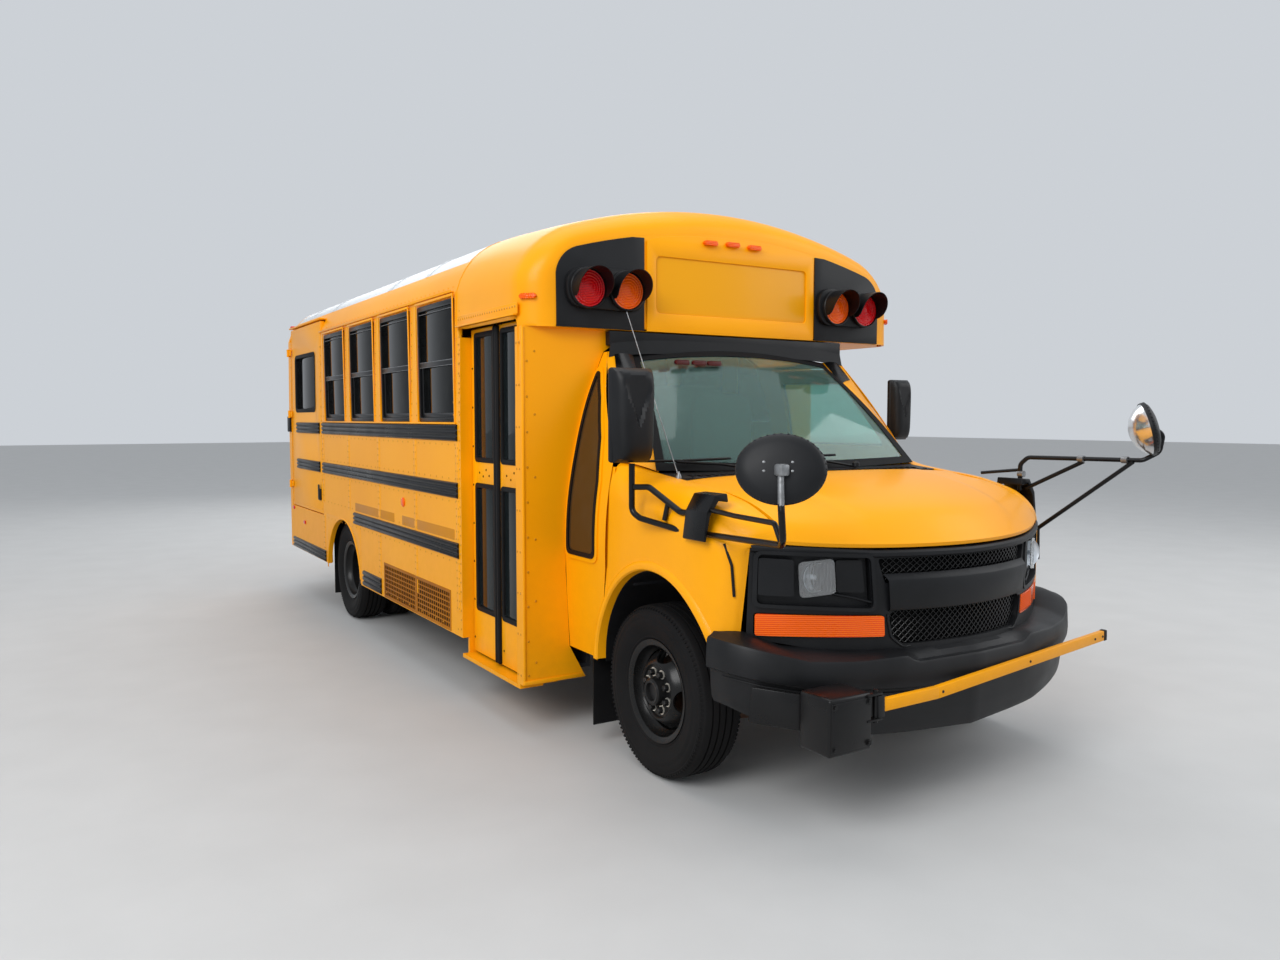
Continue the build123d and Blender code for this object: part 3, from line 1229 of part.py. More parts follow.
def bumper_block(room=0):
    """Outside of the front bumper, filled to the middle, larger all round by a room."""
    line = [(x * (1 + room / 1000), y - room) for x, y in bumper_line()]
    plan = line + [(line[-1][0], BUMPER_END_Y + room), (line[0][0], BUMPER_END_Y + room)]
    top = [(x, z + room) for x, z in BUMPER_TOP]
    front = [(-1100, 300), (1100, 300)] + list(reversed(top)) + [(-x, z) for x, z in top[1:]]
    return prism_z(plan, 300, 760) & prism_y(front, -1000, -400)


def bumpers():
    """Front bumper that follows the nose and rises to its ends, and the rear channel bumper."""
    face = bumper_block()
    behind = [(x * (1 - BUMPER_T / 1000), y + BUMPER_T) for x, y in bumper_line()]
    behind = behind + [(behind[-1][0], -300), (behind[0][0], -300)]
    front = face - prism_z(behind, 200, 800)
    front = front & block(-1100, 1100, -1000, -300, BUMPER_Z, 800)
    shelf = prism_z(nose_line(4, FASCIA_HALF)[::-1] + bumper_line()[1:-1], BUMPER_Z + 180, BUMPER_Z + 200)
    valance = [(x * 0.97, y + 20) for x, y in bumper_line()]
    valance = valance + [(x * 0.93, y + 50) for x, y in reversed(valance)]
    lower = prism_z(valance, 341, BUMPER_Z + 5)
    y0 = REAR_Y + REAR_WALL_T + 20
    rear = block(-1150, 1150, y0, REAR_Y + BUMPER_REACH, 430, 680)
    rear -= block(-1138, 1138, y0 - 1, REAR_Y + REAR_WALL_T + RAIL_REACH - 10, 442, 668)
    brackets = [block(s * 380, s * 425, -860, -720, 515, 600) for s in (-1, 1)]
    return front + shelf + lower + brackets[0] + brackets[1] + arm_box(), rear


# Small outside fittings

def arm_box():
    """Housing of the crossing arm on its bumper bracket, with the lugs and pin for the arm."""
    x, y = ARM_PIVOT
    box = block(-900, -700, -1010, -850, 375, 575)
    box += prism_z([(-890, -851), (-702, -851), (-702, -790), (-890, -685)], 430, 540)
    for z in (ARM_Z - 52, ARM_Z + 44):
        box += block(-701, x, y - 15, y + 15, z, z + 8) + Pos(x, y, z + 4) * Cylinder(15, 8)
    return box + rod((x, y, ARM_Z - 48), (x, y, ARM_Z + 48), PIN_R)


def crossing_arm():
    """Yellow arm folded along the bumper."""
    x, y = ARM_PIVOT
    bar = prism_z([(x, y - 14), (-350, -1016), (950, -845), (950, -820), (-350, -992), (x, y + 10)],
                  ARM_Z - 20, ARM_Z + 25)
    bar += rod((x, y, ARM_Z - 40), (x, y, ARM_Z + 40), 18)
    return bar - rod((x, y, ARM_Z - 50), (x, y, ARM_Z + 50), PIN_R + RUN_GAP)


def stop_arm():
    """Stop arm on the left wall: octagon blade folded flat on its hinge."""
    blade = Plane(origin=(STOP_X - 5, STOP_Y + 250, STOP_Z), z_dir=(1, 0, 0)) * RegularPolygon(
        STOP_BLADE_R, 8, rotation=22.5, major_radius=False)
    arm = extrude(blade, 10)
    arm += block(STOP_X - 5, STOP_X + 5, STOP_Y, STOP_Y + 80, STOP_Z - 100, STOP_Z + 100)
    arm += rod((STOP_X, STOP_Y, STOP_Z - 120), (STOP_X, STOP_Y, STOP_Z + 120), HINGE_R)
    return arm - rod((STOP_X, STOP_Y, STOP_Z - 130), (STOP_X, STOP_Y, STOP_Z + 130), PIN_R + RUN_GAP)


def stop_bracket():
    """Wall brackets with the pin that the stop arm turns on."""
    bracket = rod((STOP_X, STOP_Y, STOP_Z - 130), (STOP_X, STOP_Y, STOP_Z + 130), PIN_R)
    for z in (STOP_Z - 160, STOP_Z + 126):
        bracket += block(BODY_HALF - 1, STOP_X + HINGE_R, STOP_Y - 20, STOP_Y + 20, z, z + 34)
    return bracket


def lamp_pods():
    """Black lamp panels and hooded pods at both ends."""
    pods = []
    for s in (-1, 1):
        for y, out, reach in LAMP_ENDS:
            back = y + out * (PANEL_T - 1)
            above = block(-1500, 1500, y - 200, y + 200, LAMP_Z + 20, LAMP_Z + 200)
            flat, deep = sorted((y + out * RUN_GAP, y + out * PANEL_T)), sorted((back, y + out * POD_BASE))
            panel = prism_y([(s * x, z) for x, z in LAMP_PANEL], *flat)
            pod = prism_y([(s * x, z) for x, z in LAMP_POD], *deep)
            for x in LAMP_X:
                pod += round_bar(s * x, back, y + out * DRUM_DEPTH, POD_R)
                pod += round_bar(s * x, y + out * (DRUM_DEPTH - 1), y + out * reach, POD_R) & above
            for x in LAMP_X:
                pod -= round_bar(s * x, y + out * PANEL_T, y + out * 200, LENS_R + RUN_GAP)
            pods.append(panel + pod)
    return pods


def round_bar(x, y0, y1, radius):
    """Bar of flats along the bus at the warning lamps' height."""
    return flat_bar((x, y0, LAMP_Z), (x, y1, LAMP_Z), radius, LAMP_SIDES)


def round_lamps(x):
    """Warning lamp lenses at one distance from the middle, front and back."""
    lamps = []
    for s in (-1, 1):
        for y, out, _ in LAMP_ENDS:
            lamps.append(round_bar(s * x, y + out * (PANEL_T + RUN_GAP), y + out * (DRUM_DEPTH - 5), LENS_R))
    return lamps


def tail_lamps():
    """Brake and tail lamps on the rear wall."""
    y = REAR_Y + REAR_WALL_T + RUN_GAP
    lamps = []
    for x in (-TAIL_LAMP_X, TAIL_LAMP_X):
        for z in TAIL_LAMP_Z:
            lamps.append(flat_bar((x, y, z), (x, y + 30, z), TAIL_LAMP_R, LAMP_SIDES))
    return lamps


def marker_lamps():
    """Roof marker lamps on the cap's brow."""
    face = BULKHEAD_Y - CAP_FACE
    return [block(x - 35, x + 35, face - 24, face - RUN_GAP, 2436, 2466) for x in MARKER_X]


def mirror_arms():
    """Tube arms of the right mirror and both crossover mirrors, with their fender brackets."""
    plate = block(880, 1000, -440, -270, 1120, 1240) - fender_inside(-RUN_GAP)
    right = on_side(plate, -1)
    for z in (1215, 1160):
        right += flat_bar((-985, -290, z), (-1050, 30, z), 13)
    right += flat_bar((-1050, 30, 1140), (-1050, 30, 1361), 14)
    right += flat_bar((-985, -425, 1170), (-CROSS_X, -905, 1250), 10)
    right += flat_bar((-CROSS_X, -905, 1250), (-CROSS_X, CROSS_Y, 1380), 10)
    left = plate + flat_bar((985, -425, 1190), (CROSS_X, -905, 1360), 10)
    left += flat_bar((CROSS_X, -905, 1360), (CROSS_X, CROSS_Y, 1490), 10)
    return [arm - mirror_heads() for arm in (right, left)]


def mirror_heads():
    """Right mirror head and two oval crossover mirrors turned outwards."""
    head = fillet(block(-1150, -950, -15, 75, 1361, 1750).edges().filter_by(Axis.Y), 35)
    turn = math.radians(CROSS_TURN)
    heads = [head]
    for s, z in ((-1, 1380), (1, 1490)):
        plane = Plane(origin=(s * CROSS_X, CROSS_Y, z), x_dir=(math.cos(turn), s * math.sin(turn), 0),
                      z_dir=(s * math.sin(turn), -math.cos(turn), 0))
        oval = []
        for index in range(LAMP_SIDES + BAR_SIDES):
            angle = 2 * math.pi * index / (LAMP_SIDES + BAR_SIDES)
            oval.append((CROSS_R * math.cos(angle), CROSS_HIGH * math.sin(angle)))
        face = make_face(Polyline(*oval, close=True))
        heads.append(plane * Pos(0, 0, -CROSS_T / 2) * extrude(face, CROSS_T, dir=(0, 0, 1)))
    return heads


def door_mirror():
    """Mirror head on the driver's door."""
    head = fillet(block(955, 1095, 468, 522, 1420, 1760).edges().filter_by(Axis.Y), 30)
    return head + (block(850, 1000, 475, 512, 1425, 1470) - cab_band(-RUN_GAP, 400))


def seats():
    """Driver's seat and the passenger benches, each a cushion and a back."""
    soft = [block(220, 680, 960, 1400, 1000, 1120), block(220, 680, 1400 + RUN_GAP, 1440, 1000, 1700)]
    low, seat, top = BENCH_Z
    x0, x1 = BENCH_X
    for y in BENCH_Y:
        for s in (-1, 1):
            soft.append(block(s * x0, s * x1, y, y + 400, low, seat))
            soft.append(block(s * x0, s * x1, y + 400 + RUN_GAP, y + 490, low, top))
    return soft


def seat_stands():
    """Legs under the seats."""
    stands = [block(380, 520, 1050, 1300, FLOOR_Z, 1000)]
    x = BENCH_X[0]
    for y in BENCH_Y:
        for s in (-1, 1):
            stands.append(block(s * (x + 30), s * (x + 60), y + 60, y + 380, FLOOR_Z, BENCH_Z[0]))
    return stands


def mud_flaps():
    """Rubber flaps behind the wheels."""
    flaps = []
    for s in (-1, 1):
        flap = block(s * 745, s * 900, LINER_Y + 35, LINER_Y + 43, 100, 700)
        flaps.append(flap + block(s * 899, s * 985, LINER_Y + 35, LINER_Y + 43, 100, 415))
        flaps.append(block(s * 700, s * 1160, 4500, 4508, 120, 700))
    return flaps


def hatch():
    """Roof escape hatch lid with its hinge barrels, seated over its opening."""
    lip = HATCH_HALF + HATCH_LIP
    low = CROWN_Z + 1 + RUN_GAP
    lid = block(-lip, lip, HATCH_Y - HATCH_LIP, HATCH_Y + HATCH_HALF + lip, low, low + HATCH_T)
    for _, barrel in hatch_hinges():
        lid += barrel
    return lid


def antenna():
    """Antenna rod on its foot on the cowl."""
    foot = rod((-770, 60, 1270), (-770, 60, 1300), 10) - cowl_top()
    return foot + rod((-770, 60, 1295), (-835, 420, 2035), 4)


def build():
    """Make and write every node."""
    for side, word in ((1, "left"), (-1, "right")):
        save("tyre_front_" + word, tyre(side * FRONT_TYRE_X, 0))
        save("wheel_front_" + word, front_wheel(side))
        save("tyres_rear_" + word, tyre(side * TWIN_OUTER_X, WHEELBASE),
             tyre(side * (TWIN_OUTER_X - TWIN_PITCH), WHEELBASE))
        save("wheels_rear_" + word, rear_wheels(side))
        save("knuckle_" + word, knuckle(side))
        save(word + "_side_wall", side_wall(side))
    save("front_suspension", front_suspension())
    save("rear_axle", rear_axle())
    save("frame_rails", frame_rails())
    save("powertrain", powertrain())
    save("exhaust", exhaust())
    save("fuel_tank", fuel_tank())
    save("window_frames", *window_frames())
    save("fixed_glass", *fixed_glass(), windscreen())
    save("roof_shell", roof_shell())
    save("front_cap", front_cap())
    save("bulkheads", *bulkheads())
    save("rear_wall", rear_wall())
    save("body_floor", body_floor())
    save("entry_steps", entry_steps())
    save("seat_stands", *seat_stands())
    save("rub_rails", *rub_rails())
    for front, word in ((True, "front"), (False, "rear")):
        leaf, panes = entry_leaf(front)
        save("entry_leaf_" + word, leaf)
        save("entry_glass_" + word, *panes)
    door, pane = lift_door()
    save("lift_door", door)
    save("lift_door_glass", pane)
    door, panes = rear_door()
    save("rear_door", door)
    save("rear_door_glass", *panes)
    door, pane = driver_door()
    save("driver_door", door)
    save("driver_door_glass", pane)
    save("door_mirror", door_mirror())
    save("cab_frame", cab_frame())
    save("hood", hood())
    save("fenders", fender(1), fender(-1))
    save("cab_floor", cowl_and_floor())
    save("dashboard", dashboard())
    save("grille", fascia())
    save("headlamps", *front_lamps(HEADLAMP))
    save("amber_lamps", *front_lamps(TURN_LAMP), *round_lamps(LAMP_X[0]), *marker_lamps())
    save("red_lamps", *round_lamps(LAMP_X[1]), *tail_lamps())
    save("bumpers", *bumpers())
    save("crossing_arm", crossing_arm())
    save("stop_arm", stop_arm())
    save("lamp_pods", *lamp_pods())
    save("mirror_arms", *mirror_arms(), antenna())
    save("mirror_heads", *mirror_heads())
    save("seats", *seats())
    save("mud_flaps", *mud_flaps())
    save("roof_hatch", hatch())


build()
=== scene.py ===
import json
import math
import bpy
from mathutils import Matrix, Vector

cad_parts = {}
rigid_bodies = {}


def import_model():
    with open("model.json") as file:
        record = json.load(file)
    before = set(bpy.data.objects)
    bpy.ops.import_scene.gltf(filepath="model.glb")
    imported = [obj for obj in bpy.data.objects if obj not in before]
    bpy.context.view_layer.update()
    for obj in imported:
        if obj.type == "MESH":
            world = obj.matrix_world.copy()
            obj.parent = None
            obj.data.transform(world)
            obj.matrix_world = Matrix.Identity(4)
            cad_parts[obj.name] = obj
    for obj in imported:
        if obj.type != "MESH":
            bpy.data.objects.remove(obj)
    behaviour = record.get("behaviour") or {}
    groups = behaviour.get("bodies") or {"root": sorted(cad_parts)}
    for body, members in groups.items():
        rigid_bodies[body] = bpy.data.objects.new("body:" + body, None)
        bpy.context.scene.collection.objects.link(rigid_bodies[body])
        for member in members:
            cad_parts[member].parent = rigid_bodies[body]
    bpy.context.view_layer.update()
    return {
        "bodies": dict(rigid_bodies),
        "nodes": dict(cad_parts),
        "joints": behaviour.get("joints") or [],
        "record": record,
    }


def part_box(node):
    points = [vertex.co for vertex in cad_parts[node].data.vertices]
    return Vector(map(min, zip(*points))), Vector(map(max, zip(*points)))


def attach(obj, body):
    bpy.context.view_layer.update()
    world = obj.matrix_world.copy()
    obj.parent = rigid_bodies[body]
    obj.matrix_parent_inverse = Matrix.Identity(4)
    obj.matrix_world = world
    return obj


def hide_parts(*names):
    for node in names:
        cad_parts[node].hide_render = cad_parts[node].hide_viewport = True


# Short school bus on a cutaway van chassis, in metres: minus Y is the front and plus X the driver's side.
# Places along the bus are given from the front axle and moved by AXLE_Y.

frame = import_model()
NODES = frame["nodes"]
tyre_low, tyre_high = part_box("tyre_front_left")
AXLE_Y = (tyre_low.y + tyre_high.y) / 2

# Body sizes
BODY_HALF = 1.219
CAP_REAR_Y = 1.600
REAR_Y = 5.800


# Materials

def linear(code):
    """sRGB hex code as a linear colour."""
    parts = [int(code[i:i + 2], 16) / 255 for i in (0, 2, 4)]
    return tuple(c / 12.92 if c <= 0.04045 else ((c + 0.055) / 1.055) ** 2.4 for c in parts) + (1.0,)


def add(tree, kind, values=None, links=None, **settings):
    """Add a shader node with its settings, socket values and links."""
    made = tree.nodes.new("ShaderNode" + kind)
    for name, value in settings.items():
        setattr(made, name, value)
    for socket, value in (values or {}).items():
        made.inputs[socket].default_value = value
    for socket, (other, output) in (links or {}).items():
        tree.links.new(other.outputs[output], made.inputs[socket])
    return made


def material(name, **fixed):
    """New material with its shader; fixed values go on the shader's own sockets."""
    made = bpy.data.materials.new(name)
    made.use_nodes = True
    tree = made.node_tree
    tree.nodes.clear()
    shader = add(tree, "BsdfPrincipled", fixed)
    add(tree, "OutputMaterial", links={"Surface": (shader, "BSDF")})
    place = add(tree, "TexCoord")
    return made, tree, shader, (place, "Object")


def noise(tree, place, grain_mm, detail=3.0, rough=0.5):
    """Noise whose blotches are about grain_mm across."""
    return add(tree, "TexNoise", {"Scale": 1000.0 / grain_mm, "Detail": detail, "Roughness": rough},
               {"Vector": place})


def spread(tree, source, low, high, to_low=0.0, to_high=1.0):
    """Map a value from one range to another."""
    return add(tree, "MapRange", {"From Min": low, "From Max": high, "To Min": to_low, "To Max": to_high},
               {"Value": source})


def blend(tree, share, first, second):
    """Mix two colours; each is a hex code or a (node, output) pair."""
    made = add(tree, "Mix", links={"Factor": share}, data_type="RGBA")
    for socket, colour in ((6, first), (7, second)):
        if isinstance(colour, str):
            made.inputs[socket].default_value = linear(colour)
        else:
            tree.links.new(colour[0].outputs[colour[1]], made.inputs[socket])
    return made, 2


def relief(tree, shader, source, depth_mm, strength=1.0):
    """Bump of the given depth on the shader."""
    bump = add(tree, "Bump", {"Distance": depth_mm / 1000.0, "Strength": strength}, {"Height": source})
    tree.links.new(bump.outputs["Normal"], shader.inputs["Normal"])


def colour_into(tree, shader, source):
    """Use a colour output as the shader's base colour."""
    tree.links.new(source[0].outputs[source[1]], shader.inputs["Base Color"])


def rough_into(tree, shader, source):
    """Use a value output as the shader's roughness."""
    tree.links.new(source[0].outputs[source[1]], shader.inputs["Roughness"])


def height_share(tree, place, low, high):
    """One at the height low, zero at high."""
    split = add(tree, "SeparateXYZ", links={"Vector": place})
    return spread(tree, (split, "Z"), low, high, 1.0, 0.0), "Result"


def enamel(name, clean, faded, dirt, coat=0.5, rough=0.22):
    """Sprayed enamel on sheet steel: glossy, faint orange peel, dust that thickens towards the ground."""
    made, tree, shader, place = material(name, **{"IOR": 1.5, "Coat Weight": coat, "Coat Roughness": 0.08,
                                                  "Specular IOR Level": 0.2})
    patches = noise(tree, place, 900)
    shade = spread(tree, (patches, "Fac"), 0.35, 0.7)
    paint = blend(tree, (shade, "Result"), clean, faded)
    low = height_share(tree, place, 0.15, 1.25)
    specks = noise(tree, place, 60, 6.0, 0.65)
    dust = add(tree, "Math", {1: 0.4}, {0: low}, operation="MULTIPLY")
    dust = add(tree, "Math", links={0: (dust, "Value"), 1: (specks, "Fac")}, operation="MULTIPLY")
    colour_into(tree, shader, blend(tree, (dust, "Value"), paint, dirt))
    gloss = spread(tree, (dust, "Value"), 0.0, 0.5, rough, 0.62)
    rough_into(tree, shader, (gloss, "Result"))
    peel = noise(tree, place, 9, 2.0)
    relief(tree, shader, (peel, "Fac"), 0.25, 0.35)
    return made


def grained(name, base, worn, rough, grain_mm=2.5, depth_mm=0.5, dirt="3a3632", dirty=0.3, shine=0.3):
    """Moulded or painted surface with a fine grain and road film low down."""
    made, tree, shader, place = material(name, **{"IOR": 1.46, "Specular IOR Level": shine})
    clouds = noise(tree, place, 240, 5.0, 0.6)
    shade = spread(tree, (clouds, "Fac"), 0.3, 0.75)
    tone = blend(tree, (shade, "Result"), base, worn)
    low = height_share(tree, place, 0.05, 0.9)
    film = add(tree, "Math", {1: dirty}, {0: low}, operation="MULTIPLY")
    film = add(tree, "Math", links={0: (film, "Value"), 1: (clouds, "Fac")}, operation="MULTIPLY")
    colour_into(tree, shader, blend(tree, (film, "Value"), tone, dirt))
    gloss = spread(tree, (clouds, "Fac"), 0.3, 0.75, rough - 0.06, rough + 0.1)
    rough_into(tree, shader, (gloss, "Result"))
    grain = noise(tree, place, grain_mm, 2.0)
    relief(tree, shader, (grain, "Fac"), depth_mm, 0.4)
    return made


def lens(name, deep, bright, clear=0.0):
    """Moulded acrylic lens: glossy, with fine ribs behind the face, which are painted in deep and bright bands as a
    painted glint of the optic.
    """
    made, tree, shader, place = material(name, **{"IOR": 1.49, "Roughness": 0.08, "Coat Weight": 0.15,
                                                  "Transmission Weight": clear, "Specular IOR Level": 0.3})
    ribs = add(tree, "TexWave", {"Scale": 40.0, "Distortion": 0.0}, {"Vector": place}, bands_direction="Z")
    # Painted glint: the ribs alternate between the lens colour and a brighter painted highlight colour.
    colour_into(tree, shader, blend(tree, (ribs, "Fac"), deep, bright))
    relief(tree, shader, (ribs, "Fac"), 1.2, 0.5)
    return made


def pane(name, tint, clear, rough=0.02, bend=1.45):
    """Safety glass: clear or dark tint, with a faint dust film."""
    made, tree, shader, place = material(name, **{"IOR": bend, "Transmission Weight": clear})
    film = noise(tree, place, 120, 4.0)
    dirt = spread(tree, (film, "Fac"), 0.45, 0.8, 0.0, 0.06)
    colour_into(tree, shader, blend(tree, (dirt, "Result"), tint, "6c6d68"))
    gloss = spread(tree, (film, "Fac"), 0.4, 0.8, rough, rough + 0.1)
    rough_into(tree, shader, (gloss, "Result"))
    return made


def bare_metal(name, base, dark, rough, grain_mm=30):
    """Cast or rolled metal with stains."""
    made, tree, shader, place = material(name, Metallic=0.85)
    stains = noise(tree, place, grain_mm, 6.0, 0.65)
    shade = spread(tree, (stains, "Fac"), 0.35, 0.7)
    colour_into(tree, shader, blend(tree, (shade, "Result"), base, dark))
    gloss = spread(tree, (stains, "Fac"), 0.3, 0.75, rough, rough + 0.3)
    rough_into(tree, shader, (gloss, "Result"))
    relief(tree, shader, (stains, "Fac"), 0.6, 0.5)
    return made


YELLOW = enamel("yellow_enamel_on_steel", "ffab00", "f8a200", "b07a10", 0.05, 0.36)
SIGN_YELLOW = enamel("yellow_reflective_sheet", "f0a60c", "e8a006", "b98a30", 0.06, 0.34)
WHITE = enamel("white_enamel_on_steel", "cfd3d6", "c2c6ca", "9a958c", 0.1, 0.4)
BLACK_PLASTIC = grained("grained_black_polypropylene", "0f1012", "1a1b1e", 0.45)
POD_BLACK = grained("black_moulded_lamp_housing", "0b0b0d", "141517", 0.38, 5, 0.3)
BLACK_ENAMEL = grained("black_enamel_on_steel", "08080a", "101113", 0.3, 9, 0.2)
CHASSIS = grained("chassis_black_with_road_film", "100f0e", "1c1916", 0.6, 12, 0.8, "3b332a", 0.7, 0.15)
CAST = bare_metal("cast_iron_with_surface_rust", "4a443e", "6a4630", 0.55)
TYRE = grained("worn_tyre_rubber", "0b0b0c", "151517", 0.7, 4, 0.6, "2e2b28", 0.4, 0.15)
RUBBER = grained("black_rubber_sheet", "0a0a0b", "141416", 0.6, 6, 0.5, "2c2a28", 0.2, 0.2)
GLASS = pane("green_tinted_windscreen_glass", "a6d4ca", 0.90)
# Tint deepened to near black: the glass's own dark tint plus painted shade of the bus's inside seen through it.
DARK_TINT_AND_SHADE_GLASS = pane("dark_tinted_side_glass_with_painted_shade", "080b0c", 0.25, bend=1.22)
DOOR_GLASS = pane("lightly_tinted_door_glass", "20282a", 0.45, bend=1.3)
QUARTER_GLASS = pane("brown_lined_quarter_glass", "523b20", 0.2, bend=1.3)
CLEAR_LENS = pane("clear_polycarbonate_lens", "f2f4f5", 0.9)
AMBER = lens("amber_acrylic_lens", "f04600", "ff7400")
RED = lens("red_acrylic_lens", "b8000e", "e8040f")
# Red marker lens darkened as painted shade, for the cab markers under the cap's overhang.
SHADE_DARKENED_RED = lens("shade_darkened_red_marker_lens", "3a0a0a", "5a1210")
VINYL = grained("grey_seat_vinyl", "34383e", "42474d", 0.45, 3, 0.5, "4a4640", 0.1)
FLOORING = grained("ribbed_black_floor_rubber", "26272a", "34353a", 0.7, 10, 1.0, "4a4640", 0.2)
TRIM_GREY = grained("grey_moulded_abs", "45464a", "55565a", 0.55, 2.5, 0.4, "4a4640", 0.1)
RED_SIGN = grained("red_reflective_sheet", "a80e16", "b9141c", 0.3, 3, 0.1, "4a4640", 0.1)
WHEEL_BLACK = grained("chipped_wheel_enamel", "08090a", "101113", 0.28, 30, 0.08)
RAIL_BLACK = grained("weathered_rail_enamel", "0d0e10", "1a1b1f", 0.30, 24, 0.12)
WORN_STEEL = bare_metal("worn_nut_steel", "fbf6ea", "cfc8ba", 0.3, 60)
RIVET_YELLOW = enamel("rivet_enamel", "dc9204", "c47e05", "7a5522", 0.2, 0.4)
RUSTED_YELLOW = enamel("rusting_enamel", "b8720c", "8a4a0e", "4a2a14", 0.0, 0.6)
# Near-black brown: rust on the entry door screws, and painted shade in the cavity behind the skirt grilles.
RUST_AND_PAINTED_SHADE = grained("brown_rust_and_painted_shade", "24140b", "0d0805", 0.85, 14, 0.5, shine=0.1)
TAPE = enamel("faded_ochre_tape", "cf8708", "c27c0a", "8a6224", 0.1, 0.45)
GLOSS_PLASTIC = grained("satin_black_moulding", "060607", "0d0d0f", 0.2, 6, 0.1, shine=0.45)
MIRROR = bare_metal("silvered_glass", "e8eaec", "d5d8da", 0.02, 400)
REFLECTOR = bare_metal("aluminised_reflector", "f6f9fc", "e2e8ee", 0.3, 400)
STEEL = bare_metal("zinc_coated_steel", "9a9c9e", "7b7c7d", 0.35)

SLOT_FINISH = {
    "paint": YELLOW, "roof_paint": WHITE, "black_plastic": BLACK_PLASTIC, "black_metal": BLACK_ENAMEL,
    "frame_metal": CHASSIS, "cast": CAST, "tyre": TYRE, "rubber": RUBBER, "glass": DARK_TINT_AND_SHADE_GLASS,
    "clear_lens": CLEAR_LENS, "amber_lens": AMBER, "red_lens": RED, "vinyl": VINYL, "floor": FLOORING,
    "interior": TRIM_GREY, "red_sign": RED_SIGN, "tank": STEEL,
}
for part in frame["record"]["subparts"]:
    mesh = NODES[part["node"]].data
    mesh.materials.clear()
    mesh.materials.append(SLOT_FINISH[part["material_slot"]])


# Shaping

def take(*pieces):
    """Leave edit mode and select only these pieces."""
    if bpy.context.mode != "OBJECT":
        bpy.ops.object.mode_set(mode="OBJECT")
    bpy.ops.object.select_all(action="DESELECT")
    for piece in pieces:
        piece.select_set(True)
    if pieces:
        bpy.context.view_layer.objects.active = pieces[0]


def finish(piece, kind, **settings):
    """Add a modifier and apply it."""
    take(piece)
    modifier = piece.modifiers.new(kind.lower(), kind)
    for name, value in settings.items():
        setattr(modifier, name, value)
    bpy.ops.object.modifier_apply(modifier=modifier.name)
    return piece


def edit(piece, *steps):
    """Run edit mode operators on all of the piece."""
    take(piece)
    bpy.ops.object.mode_set(mode="EDIT")
    bpy.ops.mesh.select_mode(type="VERT")
    for step, settings in steps:
        bpy.ops.mesh.select_all(action="SELECT")
        getattr(bpy.ops.mesh, step)(**settings)
    bpy.ops.object.mode_set(mode="OBJECT")
    return piece


def closed_up(piece, gap=0.00005):
    """Merge doubled points and turn every face outwards."""
    return edit(piece, ("remove_doubles", {"threshold": gap}), ("normals_make_consistent", {"inside": False}))


def smooth(piece, degrees=35):
    """Shade smooth, with edges sharper than this left crisp."""
    take(piece)
    bpy.ops.object.shade_smooth_by_angle(angle=math.radians(degrees))
    return piece


def soften(piece, width, steps=2, degrees=38):
    """Round the sharp edges."""
    finish(piece, "BEVEL", width=width, segments=steps, limit_method="ANGLE", angle_limit=math.radians(degrees))
    return smooth(piece)


def walled(piece, thickness, offset=-1):
    """Give an open sheet its wall, inwards from its outer face."""
    return smooth(finish(piece, "SOLIDIFY", thickness=thickness, offset=offset, use_even_offset=False))


def joined(name, *pieces):
    """Join pieces into one under a name."""
    take(*pieces)
    if len(pieces) > 1:
        bpy.ops.object.join()
    pieces[0].name = name
    return pieces[0]


def skin(name, rows, wall=0.0, flip=False):
    """Sheet made from a flat grid whose points are set in place row by row."""
    take()
    across, along = len(rows[0]), len(rows)
    bpy.ops.mesh.primitive_grid_add(x_subdivisions=across - 1, y_subdivisions=along - 1, size=1)
    piece = bpy.context.object
    piece.name = name
    for point, place in zip(piece.data.vertices, [place for row in rows for place in row]):
        point.co = place
    if flip:
        piece.data.flip_normals()
    return walled(piece, wall) if wall else smooth(piece)


def drawn(name, lines, closed=True, flat=True, **settings):
    """Curve of straight runs between points, made a mesh; closed flat lines are filled."""
    curve = bpy.data.curves.new(name, "CURVE")
    curve.dimensions = "2D" if flat else "3D"
    for setting, value in settings.items():
        setattr(curve, setting, value)
    for line in lines:
        spline = curve.splines.new("POLY")
        spline.points.add(len(line) - 1)
        spline.use_cyclic_u = closed
        for point, at in zip(spline.points, line):
            point.co = (at[0], at[1], at[2] if len(at) > 2 else 0, 1)
    piece = bpy.data.objects.new(name, curve)
    bpy.context.scene.collection.objects.link(piece)
    take(piece)
    bpy.ops.object.convert(target="MESH")
    return bpy.context.object


def facing(side, at=(0, 0, 0)):
    """Matrix from a panel's own across, up and out to the bus, with its origin at a place."""
    axes = {"right": ((0, 1, 0), (0, 0, 1), (-1, 0, 0)), "left": ((0, 1, 0), (0, 0, 1), (1, 0, 0)),
            "front": ((1, 0, 0), (0, 0, 1), (0, -1, 0)), "back": ((1, 0, 0), (0, 0, 1), (0, 1, 0)),
            "top": ((1, 0, 0), (0, 1, 0), (0, 0, 1)), "below": ((1, 0, 0), (0, 1, 0), (0, 0, -1))}[side]
    matrix = Matrix(axes).transposed().to_4x4()
    matrix.translation = at
    return matrix


def panel(name, lines, place, depth, edge=0.0015):
    """Flat plate from an outline and its holes, its outer face on the place and its depth behind it."""
    piece = drawn(name, lines, extrude=max(depth / 2 - edge, 0.0), bevel_depth=edge, bevel_resolution=1,
                  offset=-edge, fill_mode="BOTH")
    piece.data.transform(place @ Matrix.Translation((0, 0, -depth / 2)))
    return smooth(closed_up(piece))


